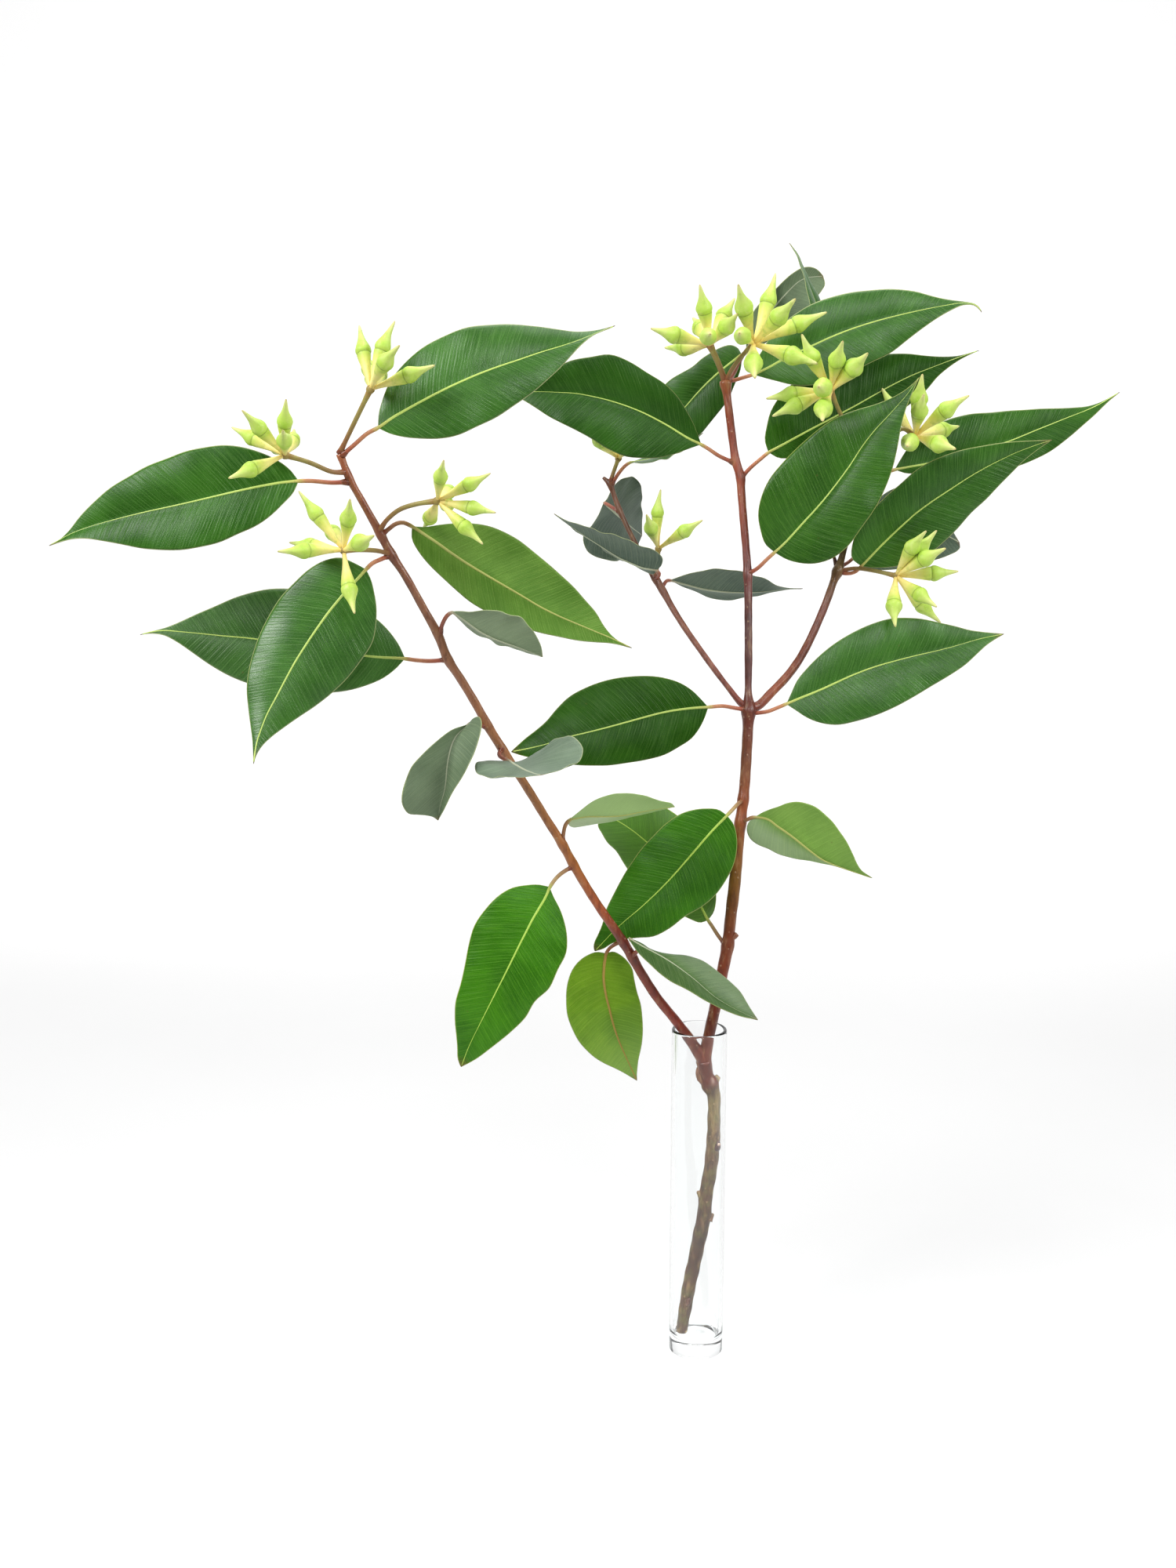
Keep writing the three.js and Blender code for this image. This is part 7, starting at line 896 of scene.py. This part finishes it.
# ------------------------------------------------------------------ floor, light, camera
def floor():
    me = bpy.data.meshes.new("floor")
    x0, x1, y0, y1, zt, rad = -2.4, 2.4, -2.4, 1.6, 2.3, 0.7
    prof = [(y0, 0.0), (y1 - rad, 0.0)]
    for a in np.linspace(0, np.pi / 2, 17)[1:]:
        prof.append((y1 - rad + rad * math.sin(a), rad - rad * math.cos(a)))
    prof.append((y1, zt))
    v, f = [], []
    for y, z in prof:
        v += [(x0, y, z), (x1, y, z)]
    for i in range(len(prof) - 1):
        f.append((2 * i, 2 * i + 1, 2 * i + 3, 2 * i + 2))
    me.from_pydata(v, [], f)
    me.polygons.foreach_set("use_smooth", [True] * len(me.polygons))
    N = Nodes("floor")
    N.bsdf.inputs["Base Color"].default_value = (0.38, 0.38, 0.38, 1)
    N.bsdf.inputs["Roughness"].default_value = 0.75
    N.bsdf.inputs["Specular IOR Level"].default_value = 0.2
    N.bsdf.inputs["Emission Color"].default_value = (1, 1, 1, 1)
    sx = N.nt.nodes.new("ShaderNodeSeparateXYZ")
    N.link(N.obj_coord(), sx.inputs[0])
    tone = N.noise(N.obj_coord(), 3.0, 3.0)
    glow = N.math("MULTIPLY", N.smooth(sx.outputs[1], -0.6, -0.12, 0.1, 1.0), N.smooth(tone, 0.0, 1.0, 0.5, 0.53))
    glow = N.math("ADD", glow, N.smooth(sx.outputs[1], 0.5, 1.3, 0.0, 0.22))
    N.link(glow, N.bsdf.inputs["Emission Strength"])
    me.materials.append(N.mat)
    ob = bpy.data.objects.new("floor", me)
    bpy.context.scene.collection.objects.link(ob)


floor()


def area(name, loc, aim, size, power, col=(1, 1, 1), sy=None):
    d = bpy.data.lights.new(name, "AREA")
    d.energy, d.color = power, col
    d.shape, d.size, d.size_y = "RECTANGLE", size, sy or size
    o = bpy.data.objects.new(name, d)
    o.location = loc
    o.rotation_euler = (Vector(aim) - Vector(loc)).to_track_quat("-Z", "Y").to_euler()
    bpy.context.scene.collection.objects.link(o)
    return o


area("front", (0.2, -1.5, 1.25), (0, 0, 0.42), 0.45, 8)
area("key", (-1.1, -0.75, 1.25), (-0.05, 0, 0.4), 0.6, 20)
area("fill", (1.25, -0.7, 1.05), (0.05, 0, 0.4), 0.6, 14)
area("top", (0.0, 0.1, 1.65), (0, 0, 0.35), 1.1, 13)
world = bpy.data.worlds.new("studio")
world.use_nodes = True
bg = world.node_tree.nodes["Background"]
bg.inputs[0].default_value = (1, 1, 1, 1)
# a pale room behind the set, dim as a light
path = world.node_tree.nodes.new("ShaderNodeLightPath")
room = world.node_tree.nodes.new("ShaderNodeMapRange")
room.inputs[3].default_value, room.inputs[4].default_value = 0.07, 0.8
world.node_tree.links.new(path.outputs["Is Camera Ray"], room.inputs[0])
world.node_tree.links.new(room.outputs[0], bg.inputs[1])
bpy.context.scene.world = world
bpy.context.scene.view_settings.view_transform = "Standard"

cam_data = bpy.data.cameras.new("camera")
cam_data.sensor_width, cam_data.lens = 36.0, 36.0
cam_data.clip_start, cam_data.clip_end = 0.02, 50
cam = bpy.data.objects.new("camera", cam_data)
cam.location = (-0.06197, -0.840, 0.4632)
cam.rotation_euler = (math.radians(90 - 9.1), 0, 0)
bpy.context.scene.collection.objects.link(cam)
bpy.context.scene.camera = cam

bpy.context.view_layer.update()
